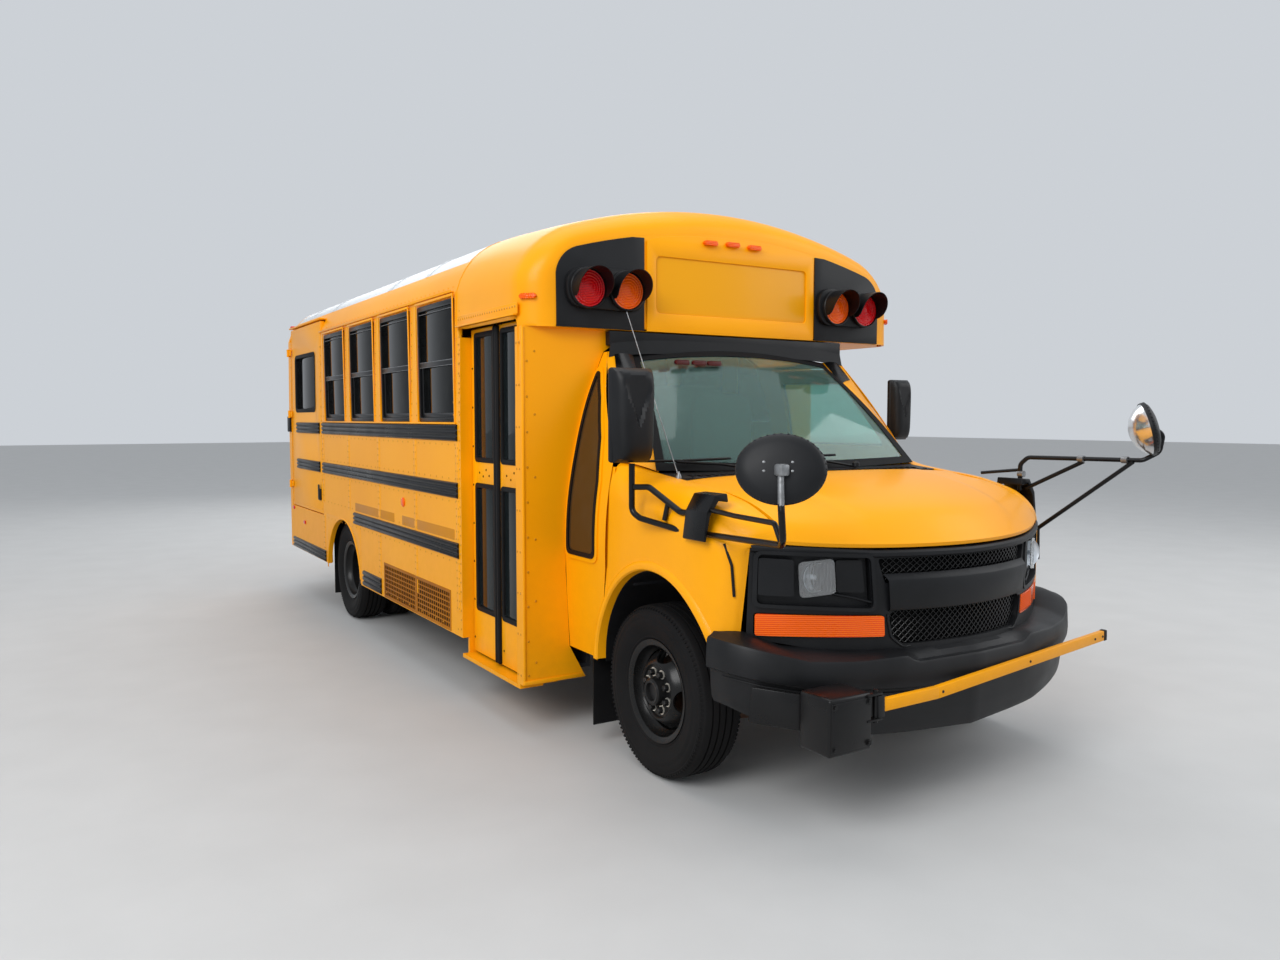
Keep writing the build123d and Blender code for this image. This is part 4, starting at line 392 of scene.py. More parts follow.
def rounded(corners, radius, steps=4, closed=True):
    """Line through the corners with each one rounded; radius is one value or one for each corner."""
    radii = radius if isinstance(radius, (list, tuple)) else [radius] * len(corners)
    corners = [Vector(corner) for corner in corners]
    line = []
    for index, (corner, size) in enumerate(zip(corners, radii)):
        if not closed and index in (0, len(corners) - 1):
            line.append(tuple(corner))
            continue
        before = corners[index - 1] - corner
        after = corners[(index + 1) % len(corners)] - corner
        half = max(before.angle(after) / 2, 0.05)
        reach = min(size / math.tan(half), 0.49 * before.length, 0.49 * after.length)
        if reach < 0.0001:
            line.append(tuple(corner))
            continue
        start, end = corner + before.normalized() * reach, corner + after.normalized() * reach
        for step in range(steps + 1):
            t = step / steps
            line.append(tuple(start.lerp(corner, t).lerp(corner.lerp(end, t), t)))
    return line


def rectangle(x0, x1, z0, z1, radius=0.01, steps=4):
    """Rounded rectangle between two corners."""
    return rounded([(x0, z0), (x1, z0), (x1, z1), (x0, z1)], radius, steps)


def tube(name, points, radius, bend=0.04, closed=False, fine=2):
    """Round bar along a line with its corners bent to a radius."""
    line = rounded(points, bend, 6, closed) if len(points) > 2 else points
    return smooth(drawn(name, [line], closed, False, bevel_depth=radius, bevel_resolution=fine,
                        use_fill_caps=True), 50)


def turned(name, profile, centre, axis="X", steps=48):
    """Line of (along, radius) points spun about an axle through the centre."""
    piece = drawn(name, [[(along, radius, 0) for along, radius in profile]], False, False)
    edit(piece, ("spin", {"steps": steps, "angle": 2 * math.pi, "center": (0, 0, 0), "axis": (1, 0, 0)}))
    closed_up(piece)
    turn = {"X": Matrix.Identity(4), "Y": Matrix.Rotation(math.radians(90), 4, "Z"),
            "Z": Matrix.Rotation(math.radians(-90), 4, "Y")}
    turning = axis if isinstance(axis, Matrix) else turn[axis]
    piece.data.transform(Matrix.Translation(centre) @ turning)
    return smooth(piece)


def box(name, low, high, edge=0.004, steps=2):
    """Block between two corners with rounded edges."""
    take()
    middle = [(a + b) / 2 for a, b in zip(low, high)]
    bpy.ops.mesh.primitive_cube_add(size=1, location=middle, scale=[abs(b - a) for a, b in zip(low, high)])
    bpy.ops.object.transform_apply(location=True, rotation=True, scale=True)
    piece = bpy.context.object
    piece.name = name
    return soften(piece, edge, steps)


def copies(name, seed, places):
    """One mesh of copies of a seed at each place, made from arrays; the seed itself is used up."""
    corners = [point.co.copy() for point in seed.data.vertices]
    faces = [tuple(face.vertices) for face in seed.data.polygons]
    points = [place @ corner for place in places for corner in corners]
    sides = [[index + copy * len(corners) for index in face] for copy in range(len(places)) for face in faces]
    mesh = bpy.data.meshes.new(name)
    mesh.from_pydata(points, [], sides)
    piece = bpy.data.objects.new(name, mesh)
    bpy.context.scene.collection.objects.link(piece)
    bpy.data.objects.remove(seed)
    return smooth(piece)


def other_side(name, piece):
    """Copy of the piece mirrored across the bus."""
    mesh = piece.data.copy()
    mesh.transform(Matrix.Scale(-1, 4, (1, 0, 0)))
    mesh.flip_normals()
    made = bpy.data.objects.new(name, mesh)
    bpy.context.scene.collection.objects.link(made)
    return made


def both(name, piece):
    """The piece and its mirror image as one."""
    return joined(name, piece, other_side(name + "_other", piece))


def dress(piece, finish_material, body="root", stands_for=()):
    """Give the piece its finish, move it to its place along the bus and tie it to its body."""
    piece.data.name = piece.name
    piece.data.materials.clear()
    piece.data.materials.append(finish_material)
    piece.data.transform(Matrix.Translation((0, AXLE_Y, 0)))
    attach(piece, body)
    if stands_for:
        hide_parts(*stands_for)
    return piece


def curve_at(table, key):
    """Smooth value between the rows of a table of (key, value, ...), for any number of columns."""
    rows = sorted(table)
    key = min(max(key, rows[0][0]), rows[-1][0])
    index = max(i for i in range(len(rows) - 1) if rows[i][0] <= key)
    low, high = rows[index], rows[index + 1]
    before, after = rows[max(index - 1, 0)], rows[min(index + 2, len(rows) - 1)]
    span = high[0] - low[0]
    t = (key - low[0]) / span
    out = []
    for a, b, c, d in zip(before[1:], low[1:], high[1:], after[1:]):
        rise = (c - a) / max(high[0] - before[0], 1e-6) * span
        fall = (d - b) / max(after[0] - low[0], 1e-6) * span
        out.append((2 * t ** 3 - 3 * t ** 2 + 1) * b + (t ** 3 - 2 * t ** 2 + t) * rise
                   + (3 * t ** 2 - 2 * t ** 3) * c + (t ** 3 - t ** 2) * fall)
    return out[0] if len(out) == 1 else out


def shares(count):
    """Even steps from 0 to 1."""
    return [step / (count - 1) for step in range(count)]


def rivets(name, places, radius=0.006, height=0.0025):
    """Low domed rivet heads at each place, standing up its own Z."""
    seed = turned("seed", [(0, radius), (height * 0.7, radius * 0.75), (height, 0)], (0, 0, 0), "Z", 8)
    return copies(name, seed, places)


# Front cap: the moulded shell over the cab, its face, lamp panels and lamps

CAP_FACE_Y = 0.706
CAP_BOTTOM = 1.977
BROW_DEPTH = 0.17
DOOR_HEAD = 2.030
DOOR_FRONT_Y = 0.820
DOOR_REAR_Y = 1.535


def arc(start, through, end, steps):
    """Points of the round arc through three places in a plane, without the last one."""
    (ax, ay), (bx, by), (cx, cy) = start, through, end
    d = 2 * (ax * (by - cy) + bx * (cy - ay) + cx * (ay - by))
    ux = ((ax ** 2 + ay ** 2) * (by - cy) + (bx ** 2 + by ** 2) * (cy - ay) + (cx ** 2 + cy ** 2) * (ay - by)) / d
    uy = ((ax ** 2 + ay ** 2) * (cx - bx) + (bx ** 2 + by ** 2) * (ax - cx) + (cx ** 2 + cy ** 2) * (bx - ax)) / d
    first, last = math.atan2(ay - uy, ax - ux), math.atan2(cy - uy, cx - ux)
    turn = (last - first + math.pi) % (2 * math.pi) - math.pi
    radius = math.hypot(ax - ux, ay - uy)
    return [(ux + radius * math.cos(first + turn * s / steps), uy + radius * math.sin(first + turn * s / steps))
            for s in range(steps)]


def section(bottom, eave, corner, shoulder, crown, steps=(5, 7, 12)):
    """Cross section from the plus X foot over the crown to the minus X foot, as (x, z)."""
    half = [(bottom[0] + (eave[0] - bottom[0]) * s / steps[0], bottom[1] + (eave[1] - bottom[1]) * s / steps[0])
            for s in range(steps[0])]
    half += arc(eave, corner, shoulder, steps[1])
    half += arc(shoulder, (0, crown), (-shoulder[0], shoulder[1]), steps[2] * 2)[:steps[2]]
    return half + [(0, crown)] + [(-x, z) for x, z in reversed(half)]


FACE_LINE = section((1.058, CAP_BOTTOM), (1.060, 2.235), (1.024, 2.316), (0.950, 2.365), 2.497)
BROW_LINE = section((1.2185, CAP_BOTTOM), (1.2135, 2.215), (1.090, 2.400), (0.905, 2.500), 2.640)
BODY_LINE = section((1.2165, CAP_BOTTOM), (1.212, 2.230), (1.0993, 2.4264), (0.900, 2.534), 2.700)


def cap_row(y):
    """Points of the cap's outer skin at a place along the bus."""
    if y <= CAP_FACE_Y + BROW_DEPTH:
        part = (y - CAP_FACE_Y) / BROW_DEPTH
        share = math.sqrt(max(1 - (1 - part) ** 2, 0))
        first, second = FACE_LINE, BROW_LINE
    else:
        part = (y - CAP_FACE_Y - BROW_DEPTH) / (CAP_REAR_Y - CAP_FACE_Y - BROW_DEPTH)
        share = math.sin(part * math.pi / 2)
        first, second = BROW_LINE, BODY_LINE
    row = [(a + (c - a) * share, y, b + (d - b) * share) for (a, b), (c, d) in zip(first, second)]
    if DOOR_FRONT_Y <= y <= DOOR_REAR_Y:
        x, _, z = row[-1]
        row[-1] = (x, y, DOOR_HEAD)
    return row


def cap_shell():
    """Outer shell of the cap, from its face to the roof seam."""
    places = [CAP_FACE_Y + BROW_DEPTH * (1 - math.cos(math.pi / 2 * s)) for s in shares(9)]
    places = [y for y in places if not 0.80 < y < 0.84] + [0.816, DOOR_FRONT_Y, 1.0, 1.15, 1.3, 1.45, DOOR_REAR_Y,
                                                           1.539, CAP_REAR_Y]
    rows = [cap_row(y) for y in sorted(places)]
    shell = skin("front_cap_shell", rows, 0.012, flip=True)
    seam = skin("cap_seam", [[(x * 1.0015, y, z * 1.0008) for x, _, z in cap_row(CAP_REAR_Y)]
                             for y in (CAP_REAR_Y - 0.018, CAP_REAR_Y + 0.002)], 0.004, flip=True)
    under = panel("cap_under",
                  [[(x, y) for x, y in ((-1.058, CAP_FACE_Y), (1.058, CAP_FACE_Y), (1.21, 0.85), (1.21, 1.45),
                                        (0.72, 1.45), (0.72, 0.752), (-1.2, 0.752), (-1.15, 0.735))]],
                  facing("below", (0, 0, CAP_BOTTOM)), 0.012)
    return joined("front_cap_shell", shell, seam, under)


def cap_face():
    """Face plates: the yellow middle with its sign recess, the sign board and the black lamp panels."""
    back = panel("cap_face_plate", [FACE_LINE], facing("front", (0, CAP_FACE_Y, 0)), 0.012, 0.001)
    middle_half = 0.550
    top = [(x, z - 0.012) for x, z in FACE_LINE if abs(x) < middle_half]
    corners = [(-middle_half, CAP_BOTTOM), (middle_half, CAP_BOTTOM), (middle_half, 2.427)]
    middle = corners + top + [(-middle_half, 2.427)]
    sign = rectangle(-0.497, 0.497, 2.071, 2.356, 0.03)
    centre = panel("cap_centre_panel", [middle, sign], facing("front", (0, CAP_FACE_Y - 0.012, 0)), 0.0115, 0.0025)
    board = panel("sign_board", [rectangle(-0.505, 0.505, 2.063, 2.364, 0.03)],
                  facing("front", (0, CAP_FACE_Y - 0.0045, 0)), 0.004, 0.0005)
    side = [(x, z) for x, z in FACE_LINE if x > middle_half + 0.03]
    inner = [(middle_half + 0.014, side[-1][1] + 0.002), (middle_half + 0.014, CAP_BOTTOM + 0.002)]
    black = panel("lamp_panels", [[(x - 0.003, z - 0.001 if z > 2 else z + 0.002) for x, z in side] + inner],
                  facing("front", (0, CAP_FACE_Y - 0.006, 0)), 0.006, 0.001)
    return joined("cap_face", back, centre), board, both("lamp_panels", black)


LAMP_X = (0.690, 0.907)
LAMP_Z = 2.163
LENS_R = 0.088


def visor(x, y, out, z=LAMP_Z, reach=0.115):
    """Eyebrow hood round the top of a lamp: a rolled sheet that is longest over the top."""
    rows = []
    for part in shares(7):
        row = []
        for s in shares(25):
            turn = math.radians(-28 + 236 * s)
            length = reach * (0.25 + 0.75 * max(math.sin(math.pi * s), 0) ** 0.6)
            radius = 0.0965 - 0.004 * part
            row.append((x + radius * math.cos(turn), y + out * length * part, z + radius * math.sin(turn)))
        rows.append(row)
    return skin("visor", rows, 0.003, flip=out > 0)


TAIL_LAMP_X = 0.850
TAIL_LAMP_Z = (1.000, 1.250)


def lamp_pod(y, out):
    """Twin lamp housing on the plus X side: a moulded capsule with two drums and their hoods."""
    side = "front" if out < 0 else "back"
    base = panel("pod_base", [rounded([(0.572, LAMP_Z - 0.100), (1.012, LAMP_Z - 0.094), (1.018, LAMP_Z + 0.094),
                                       (0.572, LAMP_Z + 0.112)], 0.094, 8)],
                 facing(side, (0, y + out * 0.034, 0)), 0.034, 0.008)
    drums = []
    for x in LAMP_X:
        profile = [(0.02, 0.099), (0.052, 0.099), (0.056, 0.096), (0.056, 0.0915), (0.030, 0.0905), (0.026, 0.02)]
        drums.append(turned("drum", [(out * a, r) for a, r in profile], (x, y, LAMP_Z), "Y", 32))
        drums.append(visor(x, y + out * (0.050 if out < 0 else -0.020), out))
    return joined("pod", base, *drums)


def lamp_lens(name, x, z, y, out, radius=LENS_R):
    """Domed lens with ring steps."""
    profile = [(0.030, radius)]
    for ring in range(6):
        r = radius * (1 - ring / 6)
        lift = 0.048 + 0.012 * (1 - (r / radius) ** 2)
        profile += [(lift, r * 0.995), (lift - 0.0015, r * 0.93)]
    profile.append((0.060, 0))
    return turned(name, [(out * a, r) for a, r in profile], (x, y, z), "Y", 36)


def small_marker(x, y, z):
    """Clearance lamp that faces the front: a low ribbed lens with two clipped ends."""
    lens = panel("marker", [rounded([(-0.038, -0.012), (0.038, -0.012), (0.046, 0.0), (0.038, 0.012),
                                     (-0.038, 0.012), (-0.046, 0.0)], 0.006, 3)], Matrix.Identity(4), 0.022, 0.006)
    ribs = [box("rib", (-0.030 + 0.012 * i, -0.013, -0.010), (-0.025 + 0.012 * i, 0.013, 0.0015), 0.001, 1)
            for i in range(6)]
    piece = joined("marker", lens, *ribs)
    piece.data.transform(facing("front", (x, y, z)) @ Matrix.Translation((0, 0, 0.022)))
    return piece


def front_cap():
    """All of the cap."""
    dress(cap_shell(), YELLOW, "root", ("front_cap",))
    face, board, black = cap_face()
    dress(face, YELLOW)
    dress(board, SIGN_YELLOW)
    dress(black, BLACK_PLASTIC, "root", ("lamp_pods",))
    for word, y, out in (("front", CAP_FACE_Y - 0.006, -1), ("rear", REAR_Y, 1)):
        dress(both("lamp_pods_" + word, lamp_pod(y, out)), POD_BLACK)
    for colour, x, finish_material, slot, node in (("amber", LAMP_X[0], AMBER, "amber_lens", "amber_lamps"),
                                                   ("red", LAMP_X[1], RED, "red_lens", "red_lamps")):
        lamps = [both("lens", lamp_lens("lens", x, LAMP_Z, y, out))
                 for y, out in ((CAP_FACE_Y - 0.006, -1), (REAR_Y, 1))]
        tail_z = TAIL_LAMP_Z[1] if colour == "amber" else TAIL_LAMP_Z[0]
        lamps.append(both("lens", lamp_lens("lens", TAIL_LAMP_X, tail_z, REAR_Y - 0.033, 1, 0.086)))
        dress(joined("warning_lenses_" + colour, *lamps), finish_material, "root", (node,))
    markers = [small_marker(x, CAP_FACE_Y - 0.011, z) for x, z in ((-0.168, 2.447), (-0.024, 2.452), (0.120, 2.449))]
    dress(joined("brow_markers", *markers), AMBER)
    # These markers sit under the cap; their darkened red is painted shade.
    markers = [small_marker(x, 0.612, 1.822) for x in (-0.403, -0.298, -0.204)]
    dress(joined("cab_markers", *markers), SHADE_DARKENED_RED)
    corner = small_marker(0, 0, 0)
    corner.data.transform(Matrix.Translation((-1.170, 0.765, 2.118)) @ Matrix.Rotation(math.radians(-49.5), 4, "Z"))
    dress(both("cap_corner_markers", corner), AMBER)


front_cap()


# Cab: hood, front wings, cowl, windscreen and sides

COWL_Y = 0.020
NOSE_Y = -0.868
NOSE_BOW = 0.448
# Share of the way from the cowl to the nose, half width, side height, middle height
HOOD_LINES = ((0.0, 0.795, 1.268, 1.290), (0.12, 0.795, 1.271, 1.287), (0.35, 0.788, 1.252, 1.265),
              (0.53, 0.782, 1.237, 1.240), (0.725, 0.772, 1.206, 1.200), (0.85, 0.764, 1.172, 1.158),
              (0.93, 0.758, 1.138, 1.106), (1.0, 0.754, 1.074, 1.056))
# Station, then the seam beside the hood, a control point, the widest side and the foot, each as x, y, z
WING_LINES = ((0, 0.868, 0.358, 1.352, 0.948, 0.358, 1.345, 0.966, 0.358, 1.215, 0.985, 0.358, 0.600),
              (1, 0.812, 0.200, 1.300, 0.950, 0.200, 1.315, 0.978, 0.200, 1.190, 0.990, 0.200, 0.600),
              (2, 0.800, 0.000, 1.276, 0.945, 0.000, 1.285, 0.984, 0.000, 1.165, 0.996, 0.000, 0.600),
              (3, 0.796, -0.200, 1.256, 0.935, -0.200, 1.260, 0.984, -0.200, 1.130, 0.998, -0.200, 0.600),
              (4, 0.790, -0.350, 1.226, 0.925, -0.350, 1.228, 0.978, -0.350, 1.085, 0.994, -0.350, 0.600),
              (5, 0.783, -0.450, 1.196, 0.905, -0.450, 1.196, 0.955, -0.450, 1.050, 0.972, -0.450, 0.680),
              (6, 0.768, -0.560, 1.135, 0.850, -0.545, 1.135, 0.905, -0.515, 1.030, 0.925, -0.500, 0.715),
              (7, 0.760, -0.607, 1.068, 0.810, -0.575, 1.066, 0.862, -0.535, 1.045, 0.890, -0.514, 0.700))
ARCH_Y, ARCH_Z, ARCH_R = -0.030, 0.443, 0.462
CAB_SIDE = ((0.300, 0.952), (0.420, 0.965), (0.800, 0.985), (1.100, 0.980), (1.359, 0.940), (1.630, 0.870),
            (1.870, 0.770))


def nose(x, back=0.0):
    """Place along the bus of the moulded front at a distance from the middle."""
    return NOSE_Y + NOSE_BOW * x * x + back


def step_up(value):
    """Smooth step from 0 to 1."""
    value = min(max(value, 0.0), 1.0)
    return value * value * (3 - 2 * value)


def grown(corners, by):
    """Outline moved outwards by a distance; its corners run anticlockwise."""
    moved = []
    for index, corner in enumerate(corners):
        before = (Vector(corner) - Vector(corners[index - 1])).normalized()
        after = (Vector(corners[(index + 1) % len(corners)]) - Vector(corner)).normalized()
        first, second = Vector((before.y, -before.x)), Vector((after.y, -after.x))
        moved.append(tuple(Vector(corner) + (first + second) * (by / (1 + first.dot(second)))))
    return moved


def bent(name, lines, cuts, shape, wall, flip=False):
    """Flat outline with its holes, cut across at places, laid on a curved surface and given a wall."""
    piece = closed_up(drawn(name, lines, fill_mode="BOTH"))
    for axis, places in enumerate(cuts):
        for place in places:
            point, normal = [0.0, 0.0, 0.0], [0.0, 0.0, 0.0]
            point[axis], normal[axis] = place, 1.0
            edit(piece, ("bisect", {"plane_co": point, "plane_no": normal}))
    for point in piece.data.vertices:
        point.co = shape(point.co.x, point.co.y)
    if flip:
        piece.data.flip_normals()
    return walled(piece, wall)


def even(start, end, count):
    """Evenly spaced values between two ends, without the ends."""
    return [start + (end - start) * step / count for step in range(1, count)]


def hood_point(u, v, drop=0.0):
    """Place on the hood's top: u runs across from -1 to 1, v from the cowl to the nose."""
    half, side, middle = curve_at(HOOD_LINES, v)
    x = half * u
    rise = 0.008 * step_up((0.64 - 0.22 * v - abs(x)) / 0.05) * min(6 * v, 1.0) * min(6 * (1 - v), 1.0)
    z = middle + (side - middle) * (0.35 * u * u + 0.65 * abs(u) ** 5) + rise
    return x, COWL_Y + (nose(x) - COWL_Y) * v, z - drop


def hood():
    """Hood panel with its two long creases and turned-down edges."""
    rows = []
    for v in shares(40):
        row = [hood_point(2 * s - 1, v) for s in shares(61)]
        rows.append([hood_point(-0.998, v, 0.016)] + row + [hood_point(0.998, v, 0.016)])
    rows = [[(x, y, z - 0.014) for x, y, z in rows[0]]] + rows + [[(x, y + 0.004, z - 0.014) for x, y, z in rows[-1]]]
    return skin("hood_panel", rows, 0.0012, flip=True)


def wing_row(station):
    """Points of the wing's skin from its seam over the shoulder down to the arch."""
    values = curve_at(WING_LINES, station)
    seam, control, side, foot = [Vector(values[i:i + 3]) for i in (0, 3, 6, 9)]
    over = ARCH_R ** 2 - (foot.y - ARCH_Y) ** 2
    low = max(foot.z, ARCH_Z + math.sqrt(over) if over > 0 else 0)
    row = [tuple(seam - Vector((0.001, 0, 0.018)))]
    row += [tuple(seam.lerp(control, t).lerp(control.lerp(side, t), t)) for t in shares(17)]
    for t in shares(13)[1:]:
        z = side.z + (low - side.z) * t
        row.append(tuple(side.lerp(foot, (side.z - z) / (side.z - foot.z))))
    return row


def wing_x(y, z):
    """Distance of the wing's side from the middle at a place."""
    y = min(max(y, -0.45), 0.358)
    stations = [(line[2], line[0]) for line in WING_LINES[:6]]
    for (far, first), (near, _) in zip(stations, stations[1:]):
        if near <= y <= far:
            station = first + (far - y) / (far - near)
    values = curve_at(WING_LINES, station)
    share = min(max((values[8] - z) / (values[8] - values[11]), 0), 1.2)
    return values[6] + (values[9] - values[6]) * share


def arch_strip(name, section, first, last, wall):
    """Strip swept round the front wheel arch; the section is (radius, out from the wing)."""
    rows = []
    for s in shares(49):
        turn = math.radians(first + (last - first) * s)
        row = []
        for radius, out in section:
            y, z = ARCH_Y + radius * math.cos(turn), ARCH_Z + radius * math.sin(turn)
            row.append((wing_x(y, z) + out, y, z))
        rows.append(row)
    return skin(name, rows, wall)


def front_wing():
    """Wing skin, its rolled arch lip and the strip in front of the door."""
    skin_piece = skin("wing", [wing_row(7 * s) for s in shares(71)], 0.0012, flip=True)
    lip = arch_strip("arch_lip", [(0.452, -0.040), (0.456, 0.002), (0.462, 0.009), (0.474, 0.011), (0.486, 0.009),
                                  (0.494, 0.003), (0.498, -0.002)], -2, 157, 0.0012)
    turns = [math.radians(a) for a in (32, 24, 16, 8, 1)]
    strip = [(0.361, 0.86), (0.381, 0.70), (0.446, 0.56), (0.456, 0.42), (0.432, 0.42)]
    strip += [(ARCH_Y + ARCH_R * math.cos(t), ARCH_Z + ARCH_R * math.sin(t)) for t in reversed(turns)]
    rear = bent("wing_rear", [strip + [(0.352, 0.70), (0.352, 0.86)]], ([], even(0.42, 0.86, 4)),
                lambda y, z: (wing_x(y, z), y, z), 0.0012, flip=True)
    jamb = skin("wing_jamb", [[(min(wing_x(0.352, z), cab_x(z)) - 0.007, y, z) for y in (0.345, 0.41)]
                              for z in even(0.76, 1.345, 24)], 0.002)
    return joined("wing", skin_piece, lip, rear, jamb)


def wheel_liner():
    """Black liner over the front wheel."""
    rows = []
    for s in shares(33):
        turn = math.radians(-4 + 172 * s)
        y, z = ARCH_Y + 0.450 * math.cos(turn), ARCH_Z + 0.450 * math.sin(turn)
        rows.append([(x, y, z) for x in (0.575, 0.70, 0.82, min(wing_x(y, z) - 0.035, 0.95))])
    return skin("wheel_liner", rows, 0.003)


def cab_x(z):
    """Half width of the cab at a height."""
    return curve_at(CAB_SIDE, z)


VISION = ((0.455, 0.893), (0.722, 0.893), (0.724, 1.768), (0.700, 1.768), (0.600, 1.640), (0.505, 1.450),
          (0.460, 1.250))


def on_cab(out, side=1):
    """Shape that lays a flat panel on the cab's side."""
    return lambda y, z: (side * (cab_x(z) + out), y, z)


def cab_side_right():
    """Curb side of the cab: skin with the flange round its window, the gasket and the pane."""
    levels = even(0.42, 1.86, 30)
    outline = [(0.468, 0.42), (0.75, 0.42), (0.75, 1.868), (0.716, 1.868), (0.364, 1.352), (0.364, 0.85),
               (0.385, 0.70), (0.450, 0.56)]
    hole = rounded(VISION, 0.035, 5)
    body = bent("cab_side", [outline, hole], ([], levels), on_cab(0, -1), 0.0015, flip=True)
    flange = bent("window_flange", [rounded(grown(VISION, 0.026), 0.055, 5), hole], ([], levels), on_cab(0.007, -1),
                  0.008, flip=True)
    gasket = bent("vision_gasket", [rounded(grown(VISION, 0.006), 0.04, 5), rounded(grown(VISION, -0.014), 0.03, 5)],
                  ([], levels), on_cab(0.011, -1), 0.012, flip=True)
    glass = bent("vision_pane", [rounded(grown(VISION, -0.012), 0.03, 5)], ([], levels), on_cab(0.003, -1), 0.004,
                 flip=True)
    return joined("cab_side_right", soften(body, 0.001, 1), flange), gasket, glass


def screen_point(u, v, out=0.0):
    """Place on the windscreen: u across from -1 to 1, v from the cowl to the roof."""
    half = 0.800 - 0.176 * v
    y = 0.150 + 0.048 * u * u + (0.545 - 0.040 * u * u) * v - 0.018 * math.sin(math.pi * v)
    z = 1.300 + 0.012 * u * u + (0.590 - 0.058 * u * u) * v + 0.014 * math.sin(math.pi * v)
    return half * u, y - 0.72 * out, z + 0.69 * out


def windscreen():
    """Bowed pane with the black band round its edge."""
    pane_rows = [[screen_point(2 * u - 1, v) for u in shares(33)] for v in shares(17)]
    glass = skin("windscreen_pane", pane_rows, 0.005)
    strips = []
    for u0, u1, v0, v1 in ((-1.02, 1.02, -0.012, 0.045), (-1.02, 1.02, 0.955, 1.02), (-1.02, -0.962, 0, 1),
                           (0.962, 1.02, 0, 1)):
        rows = [[screen_point(u0 + (u1 - u0) * u, v0 + (v1 - v0) * v, 0.004) for u in shares(25)] for v in shares(13)]
        strips.append(skin("screen_band", rows, 0.003))
    return glass, joined("screen_band", *strips)


def pillar():
    """Painted windscreen pillar on the plus X side, and the black corner of the screen that laps it."""
    low = [Vector(p) for p in ((0.806, 0.192, 1.302), (0.870, 0.270, 1.340), (0.938, 0.366, 1.352))]
    high = [Vector(p) for p in ((0.634, 0.700, 1.856), (0.705, 0.708, 1.884), (0.772, 0.720, 1.868))]

    def rows(v0, t1, lift):
        """Rows up the pillar from a share of its height, each only part of the way across."""
        made = []
        for v in [v0 + (1 - v0) * s for s in shares(15)]:
            a, b, c = [start.lerp(end, v) + Vector((0, -lift, lift)) for start, end in zip(low, high)]
            made.append([tuple(a.lerp(b, t).lerp(b.lerp(c, t), t)) for t in [t1 * s for s in shares(11)]])
        return made

    return skin("pillar", rows(0, 1, 0), 0.002), skin("screen_corner", rows(0.78, 0.72, 0.003), 0.002)


def cowl():
    """Black cowl screen under the windscreen with its slots, and the wiper arms on it."""
    rows = []
    for v in shares(9):
        rows.append([(0.800 * (2 * u - 1), 0.030 + (0.135 + 0.048 * (2 * u - 1) ** 2) * v, 1.280 + 0.018 * v)
                     for u in shares(33)])
    tray = skin("cowl_screen", rows, 0.004)
    slots = []
    for index in range(34):
        x = -0.70 + 1.40 * index / 33
        slots.append(box("slot", (x - 0.012, 0.060, 1.2855), (x + 0.004, 0.120, 1.2905), 0.001, 1))
    arms = []
    for pivot, tip in (((-0.300, 0.120, 1.300), (-0.715, 0.185, 1.345)),
                       ((0.330, 0.120, 1.300), (-0.075, 0.165, 1.350))):
        middle = ((pivot[0] * 0.55 + tip[0] * 0.45), pivot[1] + 0.022, pivot[2] + 0.030)
        arms.append(tube("wiper_arm", [pivot, middle, tip], 0.006))
        arms.append(turned("wiper_pivot", [(0, 0.020), (0.018, 0.018), (0.026, 0.010), (0.028, 0)], pivot, "Z", 20))
        ends = [(tip[0] + 0.30 - 0.60 * s, tip[1] - 0.006 + 0.012 * s, tip[2] + 0.004 + 0.010 * abs(s - 0.5))
                for s in shares(9)]
        arms.append(tube("wiper_blade", ends, 0.006))
    return joined("cowl_screen", tray, *slots), joined("wipers", *arms)


def over_screen():
    """Black filler between the windscreen and the cap, and the cab roof behind it."""
    rows = []
    for v in shares(7):
        rows.append([(0.772 * (2 * u - 1) * (1 - 0.02 * v), 0.694 + 0.008 * v, 1.872
                      + 0.090 * v - 0.030 * (2 * u - 1) ** 4) for u in shares(33)])
    front = skin("cab_head", rows, 0.004)
    roof = box("cab_roof", (-0.765, 0.700, 1.900), (0.765, 0.745, 1.972), 0.006)
    return joined("cab_head", front, roof)


DRIVER_DOOR = ((0.458, 0.505), (1.383, 0.505), (1.383, 1.365), (1.325, 1.838), (0.722, 1.824), (0.376, 1.344),
               (0.376, 0.852), (0.397, 0.702), (0.462, 0.562))
DRIVER_WINDOW = ((0.480, 1.385), (1.310, 1.385), (1.262, 1.768), (0.742, 1.752))


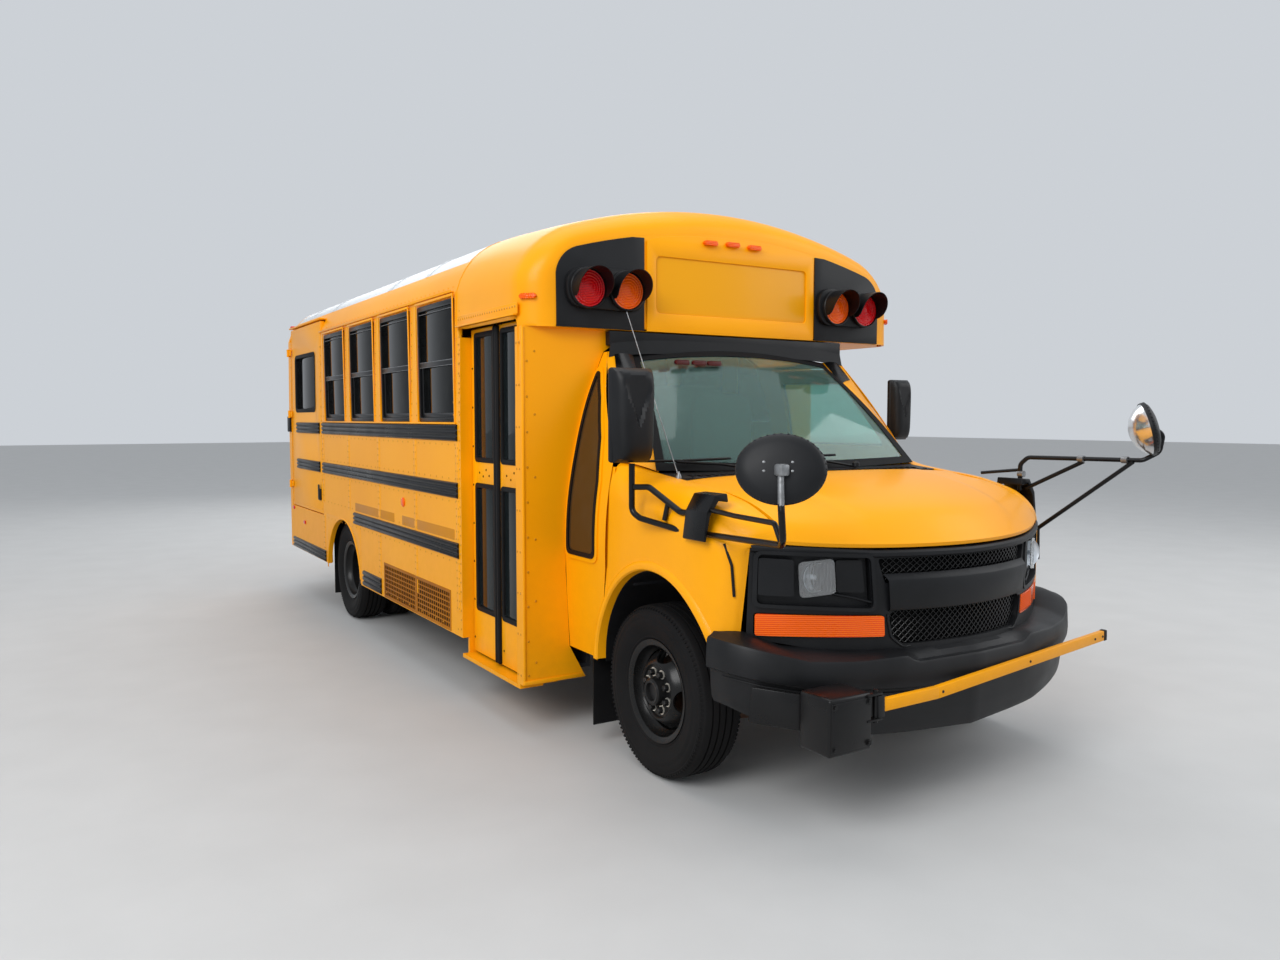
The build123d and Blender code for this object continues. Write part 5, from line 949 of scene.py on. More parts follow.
def driver_side():
    """Driver's door with its window, belt line and handle, and the fixed cab side round it."""
    levels = even(0.42, 1.86, 30)
    hole = rounded(DRIVER_WINDOW, 0.03, 5)
    door = bent("door_skin", [rounded(DRIVER_DOOR, 0.02, 3), hole], ([], levels), on_cab(0.001), 0.030)
    press = bent("door_press", [rounded([(0.47, 0.66), (1.34, 0.66), (1.34, 0.80), (0.47, 0.80)], 0.03, 4)],
                 ([], even(0.6, 0.85, 4)), on_cab(0.006), 0.006)
    gasket = bent("door_gasket", [rounded(grown(DRIVER_WINDOW, 0.007), 0.035, 5),
                                  rounded(grown(DRIVER_WINDOW, -0.012), 0.025, 5)], ([], levels),
                  on_cab(0.005), 0.010)
    glass = bent("door_pane", [rounded(grown(DRIVER_WINDOW, -0.010), 0.025, 5)], ([], levels), on_cab(-0.004), 0.004)
    handle = bent("door_handle", [rectangle(1.215, 1.345, 1.225, 1.275, 0.02)], ([], [1.25]), on_cab(0.020), 0.019)
    frame_lines = [[(0.462, 0.42), (1.448, 0.42), (1.448, 1.868), (0.716, 1.868), (0.370, 1.352), (0.370, 0.85),
                    (0.390, 0.70), (0.455, 0.56)], grown(DRIVER_DOOR, 0.006)]
    fixed = bent("cab_side_left", frame_lines, ([], levels), on_cab(0), 0.0015)
    return joined("driver_door_skin", door, press), gasket, glass, handle, fixed


def cab():
    """All of the cab's outside."""
    dress(hood(), YELLOW, "hood", ("hood",))
    dress(both("front_wings", front_wing()), YELLOW, "root", ("fenders",))
    dress(both("wheel_liners", wheel_liner()), BLACK_PLASTIC)
    side, gasket, glass = cab_side_right()
    post, corner = pillar()
    dress(joined("cab_side_right", side, both("pillars", post)), YELLOW, "root", ("cab_frame",))
    dress(both("screen_corners", corner), GLOSS_PLASTIC)
    dress(gasket, RUBBER)
    dress(glass, QUARTER_GLASS)
    glass, band = windscreen()
    dress(glass, GLASS, "root", ("fixed_glass",))
    dress(band, RUBBER)
    tray, wipers = cowl()
    dress(tray, BLACK_PLASTIC)
    dress(wipers, BLACK_ENAMEL)
    dress(over_screen(), BLACK_PLASTIC)
    door, gasket, glass, handle, fixed = driver_side()
    dress(door, YELLOW, "driver_door", ("driver_door",))
    dress(glass, GLASS, "driver_door", ("driver_door_glass",))
    dress(gasket, RUBBER, "driver_door")
    dress(handle, BLACK_PLASTIC, "driver_door")
    dress(fixed, YELLOW)


cab()


# Moulded front, lamps, bumper, crossing arm and mirrors

BUMPER_PLAN = ((0, 0.0, -0.925, 0.0, -0.858), (1, 0.40, -0.882, 0.40, -0.788), (2, 0.70, -0.800, 0.70, -0.640),
               (3, 0.90, -0.690, 0.835, -0.548), (4, 0.985, -0.580, 0.895, -0.495), (5, 1.005, -0.455, 0.925, -0.448))
CREASE = ((0.0, 0.613), (0.318, 0.609), (0.372, 0.638), (0.573, 0.632), (0.760, 0.641), (0.917, 0.682),
          (1.005, 0.706))
PAD_LOW = ((0.0, 0.504), (0.300, 0.509), (0.716, 0.531), (0.904, 0.564), (1.005, 0.586))
VALANCE_LOW = ((0.0, 0.306), (0.469, 0.325), (0.731, 0.358), (0.961, 0.417), (1.005, 0.440))
SHELF = ((0.0, 0.657), (0.50, 0.648), (0.780, 0.671), (0.872, 0.694), (0.985, 0.729), (1.005, 0.732))


def straight_at(table, key):
    """Value between the rows of a two column table, in straight runs."""
    for (a, first), (b, second) in zip(table, table[1:]):
        if key <= b:
            return first + (second - first) * (max(key, a) - a) / (b - a)
    return table[-1][1]


def on_nose(out, side=1):
    """Shape that lays a flat front panel on the nose curve."""
    return lambda x, z: (side * x, nose(x) - out, z)


def front_panel(name, lines, out, wall, side=1):
    """Panel on the nose curve from outlines of (x, z)."""
    xs = [x for line in lines for x, z in line]
    cuts = [x / 20 for x in range(-18, 19) if min(xs) < x / 20 < max(xs)]
    return bent(name, lines, (cuts, []), on_nose(out, side), wall)


UPPER_GRILLE = ((-0.405, 0.905), (0.405, 0.905), (0.436, 1.003), (-0.436, 1.003))
LOWER_GRILLE = ((-0.330, 0.666), (0.330, 0.666), (0.372, 0.700), (0.392, 0.797), (-0.392, 0.797), (-0.372, 0.700))
LAMP_BAY = ((0.455, 0.812), (0.846, 0.833), (0.842, 1.026), (0.470, 1.010))
TURN_BAY = ((0.408, 0.700), (0.850, 0.709), (0.850, 0.797), (0.412, 0.784))
FRONT_EDGE = ((-0.30, 0.640), (0.30, 0.640), (0.60, 0.645), (0.872, 0.700), (0.862, 1.054), (0.659, 1.044),
              (0.443, 1.030), (0.0, 1.026), (-0.443, 1.030), (-0.659, 1.044), (-0.862, 1.054), (-0.872, 0.700),
              (-0.60, 0.645))


def flipped(corners):
    """Outline mirrored across the bus."""
    return [(-x, z) for x, z in reversed(corners)]


def lattice(name, corners, columns, rows, out):
    """Diamond mesh that fills a grille opening: crossing slats on the nose curve."""
    xs, zs = [x for x, z in corners], [z for x, z in corners]
    half, low, high = max(xs), min(zs), max(zs)
    wide, tall = 2 * half / columns, (high - low) / rows
    places = []
    for row in range(rows):
        z = low + tall * (row + 0.5)
        edge = max(straight_at(sorted((b, a) for a, b in corners if a > 0), z) - 0.4 * wide, 0)
        for column in range(columns):
            x = -half + wide * (column + 0.5)
            if abs(x) > edge:
                continue
            lean = math.atan2(tall, wide)
            slope = math.atan(2 * NOSE_BOW * x)
            for turn in (lean, -lean):
                places.append(Matrix.Translation((x, nose(x) - out, z)) @ Matrix.Rotation(slope, 4, "Z")
                              @ Matrix.Rotation(-turn, 4, "Y"))
    length = math.hypot(wide, tall)
    take()
    bpy.ops.mesh.primitive_cube_add(size=1, scale=(length, 0.010, 0.0042))
    bpy.ops.object.transform_apply(location=True, rotation=True, scale=True)
    return copies(name, soften(bpy.context.object, 0.001, 1), places)


def grille():
    """Black moulded front: skin, frames round the openings, middle bar, meshes and dark backing."""
    holes = [rounded(UPPER_GRILLE, 0.012, 3), rounded(LOWER_GRILLE, 0.030, 4)]
    for corners, radius in ((LAMP_BAY, 0.020), (TURN_BAY, 0.012)):
        holes += [rounded(corners, radius, 4), rounded(flipped(corners), radius, 4)]
    body = front_panel("grille_body", [rounded(FRONT_EDGE, 0.02, 4)] + holes, 0.0, 0.032)
    parts = [soften(body, 0.0025, 2, 50)]
    edge_z = ((0, 1.026), (0.443, 1.030), (0.659, 1.044), (0.862, 1.054))
    top = [[(x, nose(x) - out, straight_at(edge_z, abs(x)) + up) for x in [-0.862 + 1.724 * s for s in shares(49)]]
           for out, up in ((-0.030, 0.004), (-0.010, 0.005), (0.004, 0.003), (0.010, -0.004), (0.010, -0.016),
                           (0.003, -0.022))]
    parts.append(skin("top_band", top, 0.002))
    bar = [[(x, nose(x) - out, z) for x in [-(edge) + 2 * edge * s for s in shares(41)]]
           for out, z, edge in ((0.000, 0.942, 0.414), (0.005, 0.938, 0.414), (0.020, 0.924, 0.410),
                                (0.023, 0.918, 0.408), (0.020, 0.870, 0.402), (0.017, 0.812, 0.396),
                                (0.012, 0.803, 0.394), (0.000, 0.799, 0.393))]
    parts.append(skin("middle_bar", bar, 0.002))
    bead = [(x, nose(x) - 0.003, z) for x, z in rounded(grown(LOWER_GRILLE, 0.010), 0.04, 6)]
    bead = [point for point in bead if point[2] < 0.79]
    parts.append(tube("grille_bead", sorted(bead, key=lambda p: p[0]), 0.0045, 0.001))
    for side in (1, -1):
        frame = [rounded(grown(LAMP_BAY, 0.013), 0.030, 4), rounded(grown(LAMP_BAY, -0.001), 0.020, 4)]
        rim_piece = front_panel("lamp_rim", frame, 0.008, 0.010, side)
        floor = front_panel("bay_floor", [rounded(grown(LAMP_BAY, 0.006), 0.012, 3)], -0.030, 0.004, side)
        block = front_panel("bay_block",
                            [rounded([(0.722, 0.862), (0.834, 0.868), (0.832, 1.012), (0.724, 1.004)], 0.01, 3)],
                            -0.008, 0.022, side)
        inner = front_panel("bay_inner",
                            [rounded([(0.476, 0.872), (0.575, 0.878), (0.582, 1.000), (0.488, 0.998)], 0.01, 3)],
                            -0.016, 0.014, side)
        pieces = [soften(piece, 0.002, 2, 50) for piece in (rim_piece, block, inner)] + [floor]
        if side < 0:
            for piece in pieces:
                piece.data.flip_normals()
        ledge = tube("bay_ridge", [(side * x, nose(x) - out, z) for x, out, z in
                                   ((0.590, -0.012, 0.868), (0.520, 0.000, 0.853), (0.462, 0.006, 0.836))], 0.005)
        parts += pieces + [ledge]
    body = joined("grille_body", *parts)
    mesh = joined("grille_mesh", lattice("upper_mesh", UPPER_GRILLE, 30, 4, -0.020),
                  lattice("lower_mesh", LOWER_GRILLE, 28, 5, -0.020))
    back = front_panel("grille_back", [[(-0.45, 0.65), (0.45, 0.65), (0.45, 1.02), (-0.45, 1.02)]], -0.040, 0.003)
    return body, mesh, back


HEAD_LENS = ((0.586, 0.872), (0.707, 0.854), (0.713, 0.993), (0.594, 1.008))


def headlamp(side):
    """Square sealed lamp: clear lens with fluting, bright reflector and its bowl."""
    glass = front_panel("head_lens", [rounded(HEAD_LENS, 0.020, 5)], 0.002, 0.004, side)
    flutes = [tube("flute", [(side * x, nose(x) - 0.0005, 0.880), (side * x, nose(x) - 0.0005, 0.990)], 0.0013,
                   fine=1) for x in [0.602 + 0.012 * i for i in range(9)]]
    shell = front_panel("head_reflector", [rounded(grown(HEAD_LENS, -0.004), 0.022, 4)], -0.030, 0.003, side)
    bowl = turned("bowl", [(-0.012, 0.059), (-0.004, 0.054), (0.004, 0.042), (0.008, 0.020), (0.009, 0.012),
                           (-0.010, 0.010), (-0.016, 0.0)], (side * 0.650, nose(0.650) + 0.020, 0.932), "Y", 40)
    if side < 0:
        glass.data.flip_normals()
        shell.data.flip_normals()
    return joined("head_lens", glass, *flutes), joined("head_reflector", shell, bowl)


def turn_lamp(side):
    """Long amber lamp with its two dividing ribs and upright flutes outside them."""
    parts = [front_panel("turn_lens", [rounded(grown(TURN_BAY, -0.002), 0.010, 4)], 0.004, 0.010, side)]
    if side < 0:
        parts[0].data.flip_normals()
    for x in (0.573, 0.722):
        parts.append(box("rib", (side * x - 0.003, nose(x) - 0.0075, 0.708),
                         (side * x + 0.003, nose(x) + 0.004, 0.785), 0.001))
    for x in [0.420 + 0.0102 * i for i in range(15)] + [0.735 + 0.0102 * i for i in range(11)]:
        parts.append(box("flute", (side * x - 0.002, nose(x) - 0.0058, 0.712),
                         (side * x + 0.002, nose(x), 0.781), 0.0008, 1))
    return joined("turn_lens", *parts)


def bumper_rows():
    """Rows of points down the bumper's moulded section, from one end round the front to the other."""
    rows = []
    for s in [5 * (2 * t - 1) for t in shares(121)]:
        side = -1 if s < 0 else 1
        px, py, ix, iy = curve_at(BUMPER_PLAN, abs(s))
        ax, ay, _, _ = curve_at(BUMPER_PLAN, max(abs(s) - 0.05, 0))
        bx, by, _, _ = curve_at(BUMPER_PLAN, min(abs(s) + 0.05, 5))
        along = Vector((bx - ax, by - ay)).normalized()
        out = Vector((along.y, -along.x))
        top, pad = straight_at(CREASE, px), straight_at(PAD_LOW, px)
        low, back = straight_at(VALANCE_LOW, px), straight_at(SHELF, px)
        row = [(ix, iy, back), (ix + (px - ix) * 0.55, iy + (py - iy) * 0.55, (back + top) / 2 + 0.004)]
        for away, z in ((-0.022, top + 0.005), (-0.006, top), (0.0, top - 0.009), (0.004, pad + 0.022),
                        (0.003, pad + 0.006), (-0.003, pad), (-0.016, pad - 0.006), (-0.020, pad - 0.020),
                        (-0.022, (pad + low) / 2), (-0.028, low + 0.030), (-0.040, low + 0.008), (-0.062, low),
                        (-0.085, low + 0.004)):
            row.append((px + out.x * away, py + out.y * away, z))
        rows.append([(side * x, y, z) for x, y, z in row])
    return rows


def bar_between(name, start, end, wide, high, edge=0.003):
    """Straight bar with a rounded rectangular section; wide is across it and high is upright."""
    start, end = Vector(start), Vector(end)
    piece = box(name, (0, -wide / 2, -high / 2), ((end - start).length, wide / 2, high / 2), edge)
    turn = Vector((1, 0, 0)).rotation_difference(end - start)
    piece.data.transform(Matrix.Translation(start) @ turn.to_matrix().to_4x4())
    return piece


def bolts(name, places, side, radius=0.008, height=0.006):
    """Hexagon bolt heads with washers, standing out on one side of the bus."""
    seed = turned("seed", [(0, radius * 1.7), (0.0015, radius * 1.7), (0.0015, radius), (height, radius * 0.96),
                           (height, 0)], (0, 0, 0), "Z", 6)
    return copies(name, seed, [facing(side, place) for place in places])


def bumper():
    """Front bumper skin with the crossing arm's housing."""
    shell = skin("bumper_skin", bumper_rows(), 0.004)
    line = tube("bumper_groove", [(x, y - 0.004, z) for x, y, z in [row[9] for row in bumper_rows()][6:-6]],
                0.003, 0.001)
    housing = box("arm_housing", (-0.885, -1.010, 0.368), (-0.684, -0.850, 0.575), 0.012, 3)
    lid = box("arm_lid", (-0.878, -1.015, 0.385), (-0.692, -1.006, 0.560), 0.006)
    plate = bar_between("arm_plate", (-0.985, -0.700, 0.500), (-0.830, -0.855, 0.480), 0.020, 0.130)
    clevis = [box("clevis", (-0.712, -1.018, z), (-0.640, -0.986, z + 0.008), 0.002) for z in (0.470, 0.562)]
    pin = turned("hinge_pin", [(0.0, 0.0), (0.0, 0.009), (0.120, 0.009), (0.120, 0.0)],
                 (-0.660, -1.002, 0.460), "Z", 16)
    heads = bolts("arm_bolts", [(x, -1.015, z) for x in (-0.866, -0.704) for z in (0.398, 0.548)], "front")
    return joined("bumper_skin", shell, line), joined("arm_housing", housing, lid, plate, heads, pin, *clevis)


def crossing_arm():
    """Yellow bar folded across the bumper, with its hinge end, tip cap and rivets."""
    bend = (-0.350, -1.004, 0.523)
    tip = (0.950, -0.834, 0.548)
    parts = [bar_between("arm_bar", (-0.652, -1.004, 0.520), (-0.345, -1.004, 0.523), 0.026, 0.046, 0.005),
             bar_between("arm_bar", bend, tip, 0.026, 0.046, 0.005)]
    seed_places = [Vector(bend).lerp(Vector(tip), t) + Vector((0.002, -0.014, 0)) for t in (0.02, 0.5, 0.93, 0.985)]
    heads = rivets("arm_rivets", [facing("front", place) for place in seed_places], 0.006, 0.003)
    cap = bar_between("arm_cap", (0.952, -0.8337, 0.548), (0.975, -0.8307, 0.5484), 0.030, 0.050, 0.006)
    knuckle = bar_between("arm_knuckle", (-0.662, -1.003, 0.519), (-0.630, -1.003, 0.520), 0.034, 0.080, 0.004)
    return joined("arm_bar", *parts), joined("arm_fittings", heads, cap, knuckle)


def mirror_shell(centre, half, high, depth, wedge):
    """Tapered mirror housing: a domed back with a flat wedge down its middle, and the mirror's rim."""
    rows = []
    for v in shares(25):
        row = []
        up = 2 * v - 1
        taper = 1 - 0.10 * (1 - v) ** 2
        for u in shares(25):
            across = 2 * u - 1
            dome = max(1 - abs(across) ** 4, 0) ** 0.5 * max(1 - abs(up) ** 6, 0) ** 0.5
            bulge = depth * dome
            if abs(across) < wedge * (v - 0.38) / 0.62:
                bulge = min(bulge, depth * (0.90 - 0.10 * v))
            row.append((centre[0] + half * taper * across, centre[1] - bulge, centre[2] + high * up / 2))
        rows.append(row)
    shell = skin("mirror_shell", rows, 0.003)
    rim = box("mirror_rim", (centre[0] - half, centre[1] - 0.002, centre[2] - high / 2),
              (centre[0] + half, centre[1] + 0.030, centre[2] + high / 2), 0.012, 3)
    glass = box("mirror_glass", (centre[0] - half + 0.014, centre[1] + 0.029, centre[2] - high / 2 + 0.014),
                (centre[0] + half - 0.014, centre[1] + 0.032, centre[2] + high / 2 - 0.014), 0.001, 1)
    return joined("mirror_shell", shell, rim), glass


def crossview(side, z):
    """Oval crossover mirror: black back shell, rim and bulging mirror, turned outwards and tipped up."""
    turn, tip = math.radians(40), math.radians(14)
    face = Vector((side * math.sin(turn) * math.cos(tip), -math.cos(turn) * math.cos(tip), math.sin(tip)))
    across = Vector((math.cos(turn), side * math.sin(turn), 0))
    up = face.cross(across) if side > 0 else across.cross(face) * -1
    basis = Matrix((across * 1.25, up, face)).transposed()
    place = Matrix.Translation((side * 1.066, -0.955, z)) @ basis.to_4x4()
    back = turned("disc_back", [(0.030, 0.0), (0.029, 0.040), (0.024, 0.085), (0.014, 0.110), (0.004, 0.119),
                                (-0.006, 0.122), (-0.016, 0.119)], (0, 0, 0), "Z", 48)
    dome = turned("disc_mirror", [(-0.014, 0.117), (-0.040, 0.100), (-0.066, 0.066), (-0.078, 0.033), (-0.082, 0.0)],
                  (0, 0, 0), "Z", 48)
    beads = [Matrix.Translation((0.121 * math.cos(a), 0.121 * math.sin(a), 0.002)) for a in
             [2 * math.pi * i / 40 for i in range(40)]]
    take()
    bpy.ops.mesh.primitive_uv_sphere_add(segments=8, ring_count=5, radius=0.004)
    rim = copies("rim_beads", bpy.context.object, beads)
    rim.data.transform(Matrix.Scale(0.98, 4))
    bolt_places = [Matrix.Translation((x, y, 0.028)) for x, y in ((-0.045, 0.018), (-0.045, -0.012), (0.03, 0.018),
                                                                  (0.03, -0.012))]
    screws = rivets("disc_screws", bolt_places, 0.005, 0.003)
    pieces = [joined("disc_back", back, rim), dome, screws]
    for piece in pieces:
        piece.data.transform(place)
        closed_up(piece, 0.00001)
        smooth(piece)
    return pieces


def mirrors():
    """Right main mirror, both crossover mirrors and the driver's door mirror, with their arms."""
    arms, glasses, shells, screws = [], [], [], []
    shell, glass = mirror_shell((-1.050, 0.030, 1.5535), 0.0985, 0.395, 0.075, 0.95)
    shells.append(shell)
    glasses.append(glass)
    bracket = [(-0.888, 1.215), (-0.935, 1.222), (-0.975, 1.165), (-0.995, 1.065), (-1.008, 1.068), (-0.992, 1.180),
               (-0.952, 1.246), (-0.895, 1.250)]
    for side in (1, -1):
        cover = rounded([(abs(x), z) for x, z in bracket], 0.006, 3)
        piece = panel("bracket", [cover], facing("front", (0, -0.435, 0)), 0.145, 0.004)
        if side < 0:
            piece.data.transform(Matrix.Scale(-1, 4, (1, 0, 0)))
            piece.data.flip_normals()
        arms.append(piece)
    # Radius, bend, fineness and points of each tube, the right side's first
    for radius, bend, fine, points in (
            (0.013, 0.05, 3, ((-1.051, 0.022, 1.352), (-1.051, 0.022, 1.150), (-1.037, -0.021, 1.125),
                              (-0.972, -0.229, 1.090), (-0.965, -0.330, 1.100))),
            (0.013, 0.05, 3, ((-1.046, 0.006, 1.254), (-1.023, -0.067, 1.258), (-0.972, -0.228, 1.163),
                              (-0.965, -0.330, 1.169))),
            (0.011, 0.04, 2, ((-0.992, -0.165, 1.198), (-0.998, -0.148, 1.126))),
            (0.010, 0.03, 2, ((-0.965, -0.400, 1.190), (-0.994, -0.613, 1.183), (-1.058, -0.915, 1.188),
                              (-1.070, -0.965, 1.125))),
            (0.012, 0.03, 2, ((-0.960, -0.400, 1.090), (-1.040, -0.850, 1.112), (-1.066, -0.960, 1.118),
                              (-1.098, -1.006, 1.145), (-1.112, -1.014, 1.235), (-1.109, -1.008, 1.262))),
            (0.006, 0.04, 2, ((-0.935, -0.470, 1.060), (-0.925, -0.505, 0.980), (-0.918, -0.512, 0.860))),
            (0.011, 0.04, 2, ((0.930, -0.395, 1.190), (0.915, -0.405, 1.318), (0.925, -0.440, 1.352),
                              (1.060, -0.935, 1.352), (1.105, -0.985, 1.390), (1.112, -0.995, 1.470),
                              (1.085, -0.972, 1.492))),
            (0.010, 0.04, 2, ((0.945, -0.420, 1.200), (0.994, -0.690, 1.340))),
            (0.010, 0.02, 2, ((0.935, -0.500, 0.860), (0.938, -0.495, 1.010), (1.045, -0.900, 1.345))),
            (0.008, 0.04, 2, ((0.925, -0.400, 1.290), (0.870, -0.212, 1.268)))):
        arms.append(tube("arm", points, radius, bend, fine=fine))
    post = tube("disc_post", [(-1.110, -1.010, 1.255), (-1.104, -1.000, 1.320), (-1.090, -0.983, 1.372)],
                0.0115, 0.03)
    holder = [post, box("disc_clamp", (-1.112, -1.012, 1.352), (-1.074, -0.970, 1.392), 0.008)]
    clamps = [turned("clamp", [(-0.014, 0.0), (-0.014, 0.016), (0.014, 0.016), (0.014, 0.0)], place, "Y", 16)
              for place in ((0.990, -0.680, 1.352), (1.040, -0.865, 1.352), (0.918, -0.410, 1.270))]
    antenna = [tube("whip", [(-0.800, 0.050, 1.300), (-0.835, 0.420, 2.030)], 0.0022),
               turned("whip_foot", [(0, 0.014), (0.012, 0.013), (0.026, 0.006), (0.034, 0.004), (0.034, 0)],
                      (-0.798, 0.045, 1.276), "Z", 16)]
    for side, z in ((-1, 1.373), (1, 1.494)):
        back, dome, heads = crossview(side, z)
        shells.append(back)
        glasses.append(dome)
        screws.append(heads)
    door_shell, door_glass = mirror_shell((1.022, 0.490, 1.590), 0.068, 0.340, 0.055, 0.95)
    door_arm = box("door_mirror_arm", (0.905, 0.478, 1.425), (0.970, 0.510, 1.470), 0.006)
    dress(joined("mirror_tubes", *arms), BLACK_ENAMEL, "root", ("mirror_arms",))
    dress(joined("arm_clamps", *clamps, *holder, *antenna, *screws), STEEL)
    dress(joined("mirror_housings", *shells), BLACK_PLASTIC, "root", ("mirror_heads",))
    dress(joined("mirror_glasses", *glasses), MIRROR)
    dress(joined("door_mirror_housing", door_shell, door_arm), BLACK_PLASTIC, "driver_door",
          ("door_mirror",))
    dress(door_glass, MIRROR, "driver_door").name = "door_mirror_glass"


def front_end():
    """All of the moulded front."""
    body, mesh, back = grille()
    dress(body, BLACK_PLASTIC, "root", ("grille",))
    dress(mesh, GLOSS_PLASTIC)
    dress(back, RUBBER)
    sides = [headlamp(side) for side in (1, -1)]
    dress(joined("head_lenses", *[glass for glass, _ in sides]), CLEAR_LENS, "root", ("headlamps",))
    dress(joined("head_reflectors", *[bright for _, bright in sides]), REFLECTOR)
    dress(joined("turn_lenses", turn_lamp(1), turn_lamp(-1)), AMBER)
    shell, housing = bumper()
    dress(shell, BLACK_PLASTIC, "root", ("bumpers",))
    dress(housing, BLACK_ENAMEL)
    bar, fittings = crossing_arm()
    dress(bar, YELLOW, "crossing_arm", ("crossing_arm",))
    dress(fittings, BLACK_PLASTIC, "crossing_arm")
    mirrors()


front_end()


# Wheels and tyres

WHEEL_Z = 0.372
REAR_AXLE_Y = 4.039
# Distance of each tyre's middle from the middle of the bus
FRONT_X, REAR_OUTER_X, REAR_INNER_X = 0.860, 1.062, 0.807


def tyre(x):
    """Ribbed highway tyre round its axle at a distance from the middle: grooves, shoulder lugs, sidewall rings."""
    half = [(-0.074, 0.204), (-0.078, 0.219), (-0.084, 0.226), (-0.089, 0.232), (-0.088, 0.237), (-0.101, 0.262),
            (-0.1075, 0.292), (-0.1085, 0.300), (-0.1065, 0.308), (-0.1055, 0.318), (-0.1065, 0.322), (-0.104, 0.332),
            (-0.100, 0.341), (-0.101, 0.346), (-0.095, 0.356), (-0.087, 0.3645), (-0.080, 0.3685)]
    for groove in (-0.049, -0.016):
        half += [(groove - 0.0048, 0.3708), (groove - 0.0036, 0.3610), (groove + 0.0036, 0.3610),
                 (groove + 0.0048, 0.3712)]
    profile = half + [(-along, radius) for along, radius in reversed(half)]
    body = turned("tyre", profile, (x, 0, WHEEL_Z), "X", 96)
    take()
    bpy.ops.mesh.primitive_cube_add(size=1, scale=(0.017, 0.0095, 0.018))
    bpy.ops.object.transform_apply(location=True, rotation=True, scale=True)
    seed = bpy.context.object
    places = []
    for side in (-1, 1):
        for step in range(110):
            turn = Matrix.Rotation(2 * math.pi * step / 110, 4, "X")
            places.append(Matrix.Translation((x, 0, WHEEL_Z)) @ turn @ Matrix.Translation((side * 0.0905, 0, 0.3515))
                          @ Matrix.Rotation(side * 0.45, 4, "Y"))
    return joined("tyre", body, copies("tyre_lugs", seed, places))


def hand_holed(name, rows, count, start, low, high, reach):
    """Disc of a wheel from rows of (along, radius), with oval hand holes cut through its cone."""
    piece = turned(name, rows, (0, 0, 0), "X", 96)
    walled(piece, 0.005, 0)
    for step in range(count):
        turn = Matrix.Rotation(start + 2 * math.pi * step / count, 4, "X")
        cutter = drawn("cutter",
                       [[(math.cos(a) * reach, (low + high) / 2 + math.sin(a) * (high - low) / 2)
                         for a in [2 * math.pi * i / 24 for i in range(24)]]], extrude=0.2, fill_mode="BOTH")
        cutter.data.transform(turn @ Matrix(((0, 0, 1, 0), (1, 0, 0, 0), (0, 1, 0, 0), (0, 0, 0, 1))))
        closed_up(cutter)
        finish(piece, "BOOLEAN", object=cutter, operation="DIFFERENCE", solver="EXACT")
        bpy.data.objects.remove(cutter)
    return smooth(piece, 40)


def rim_of(x):
    """Steel rim with its two flanges and drop centre."""
    return turned("rim", [(x - 0.083, 0.212), (x - 0.086, 0.221), (x - 0.080, 0.222), (x - 0.074, 0.205),
                          (x - 0.045, 0.198), (x - 0.030, 0.180), (x + 0.030, 0.180), (x + 0.045, 0.196),
                          (x + 0.074, 0.201), (x + 0.080, 0.222), (x + 0.087, 0.222), (x + 0.086, 0.212),
                          (x + 0.078, 0.196), (x + 0.048, 0.190), (x + 0.032, 0.174), (x - 0.032, 0.174),
                          (x - 0.048, 0.190), (x - 0.078, 0.196), (x - 0.083, 0.212)], (0, 0, 0), "X", 96)


def wheel_nuts(x, outward):
    """Eight nuts on the studs, with their bright worn washers."""
    nuts, washers = [], []
    for step in range(8):
        turn = math.radians(22.5 + 45 * step)
        y, z = 0.0825 * math.cos(turn), 0.0825 * math.sin(turn)
        nuts.append(turned("nut", [(x, 0.0155), (x + outward * 0.020, 0.0145), (x + outward * 0.024, 0.011),
                                   (x + outward * 0.024, 0.0)], (0, y, z), "X", 6))
        washers.append(turned("washer", [(x, 0.0195), (x + outward * 0.004, 0.0195), (x + outward * 0.004, 0.014)],
                              (0, y, z), "X", 20))
        if step % 2:
            washers.append(box("washer", (x - 0.002, y * 0.80 - 0.010, z * 0.80 - 0.012),
                               (x + 0.003, y * 0.80 + 0.010, z * 0.80 + 0.012), 0.003, 1))
    return joined("nuts", *nuts), joined("washers", *washers)


def placed_wheel(piece, side, x, y):
    """Wheel piece drawn for the left side, moved to its axle on either side."""
    if side < 0:
        piece.data.transform(Matrix.Scale(-1, 4, (1, 0, 0)))
        piece.data.flip_normals()
    piece.data.transform(Matrix.Translation((side * x, y, WHEEL_Z)))
    return piece


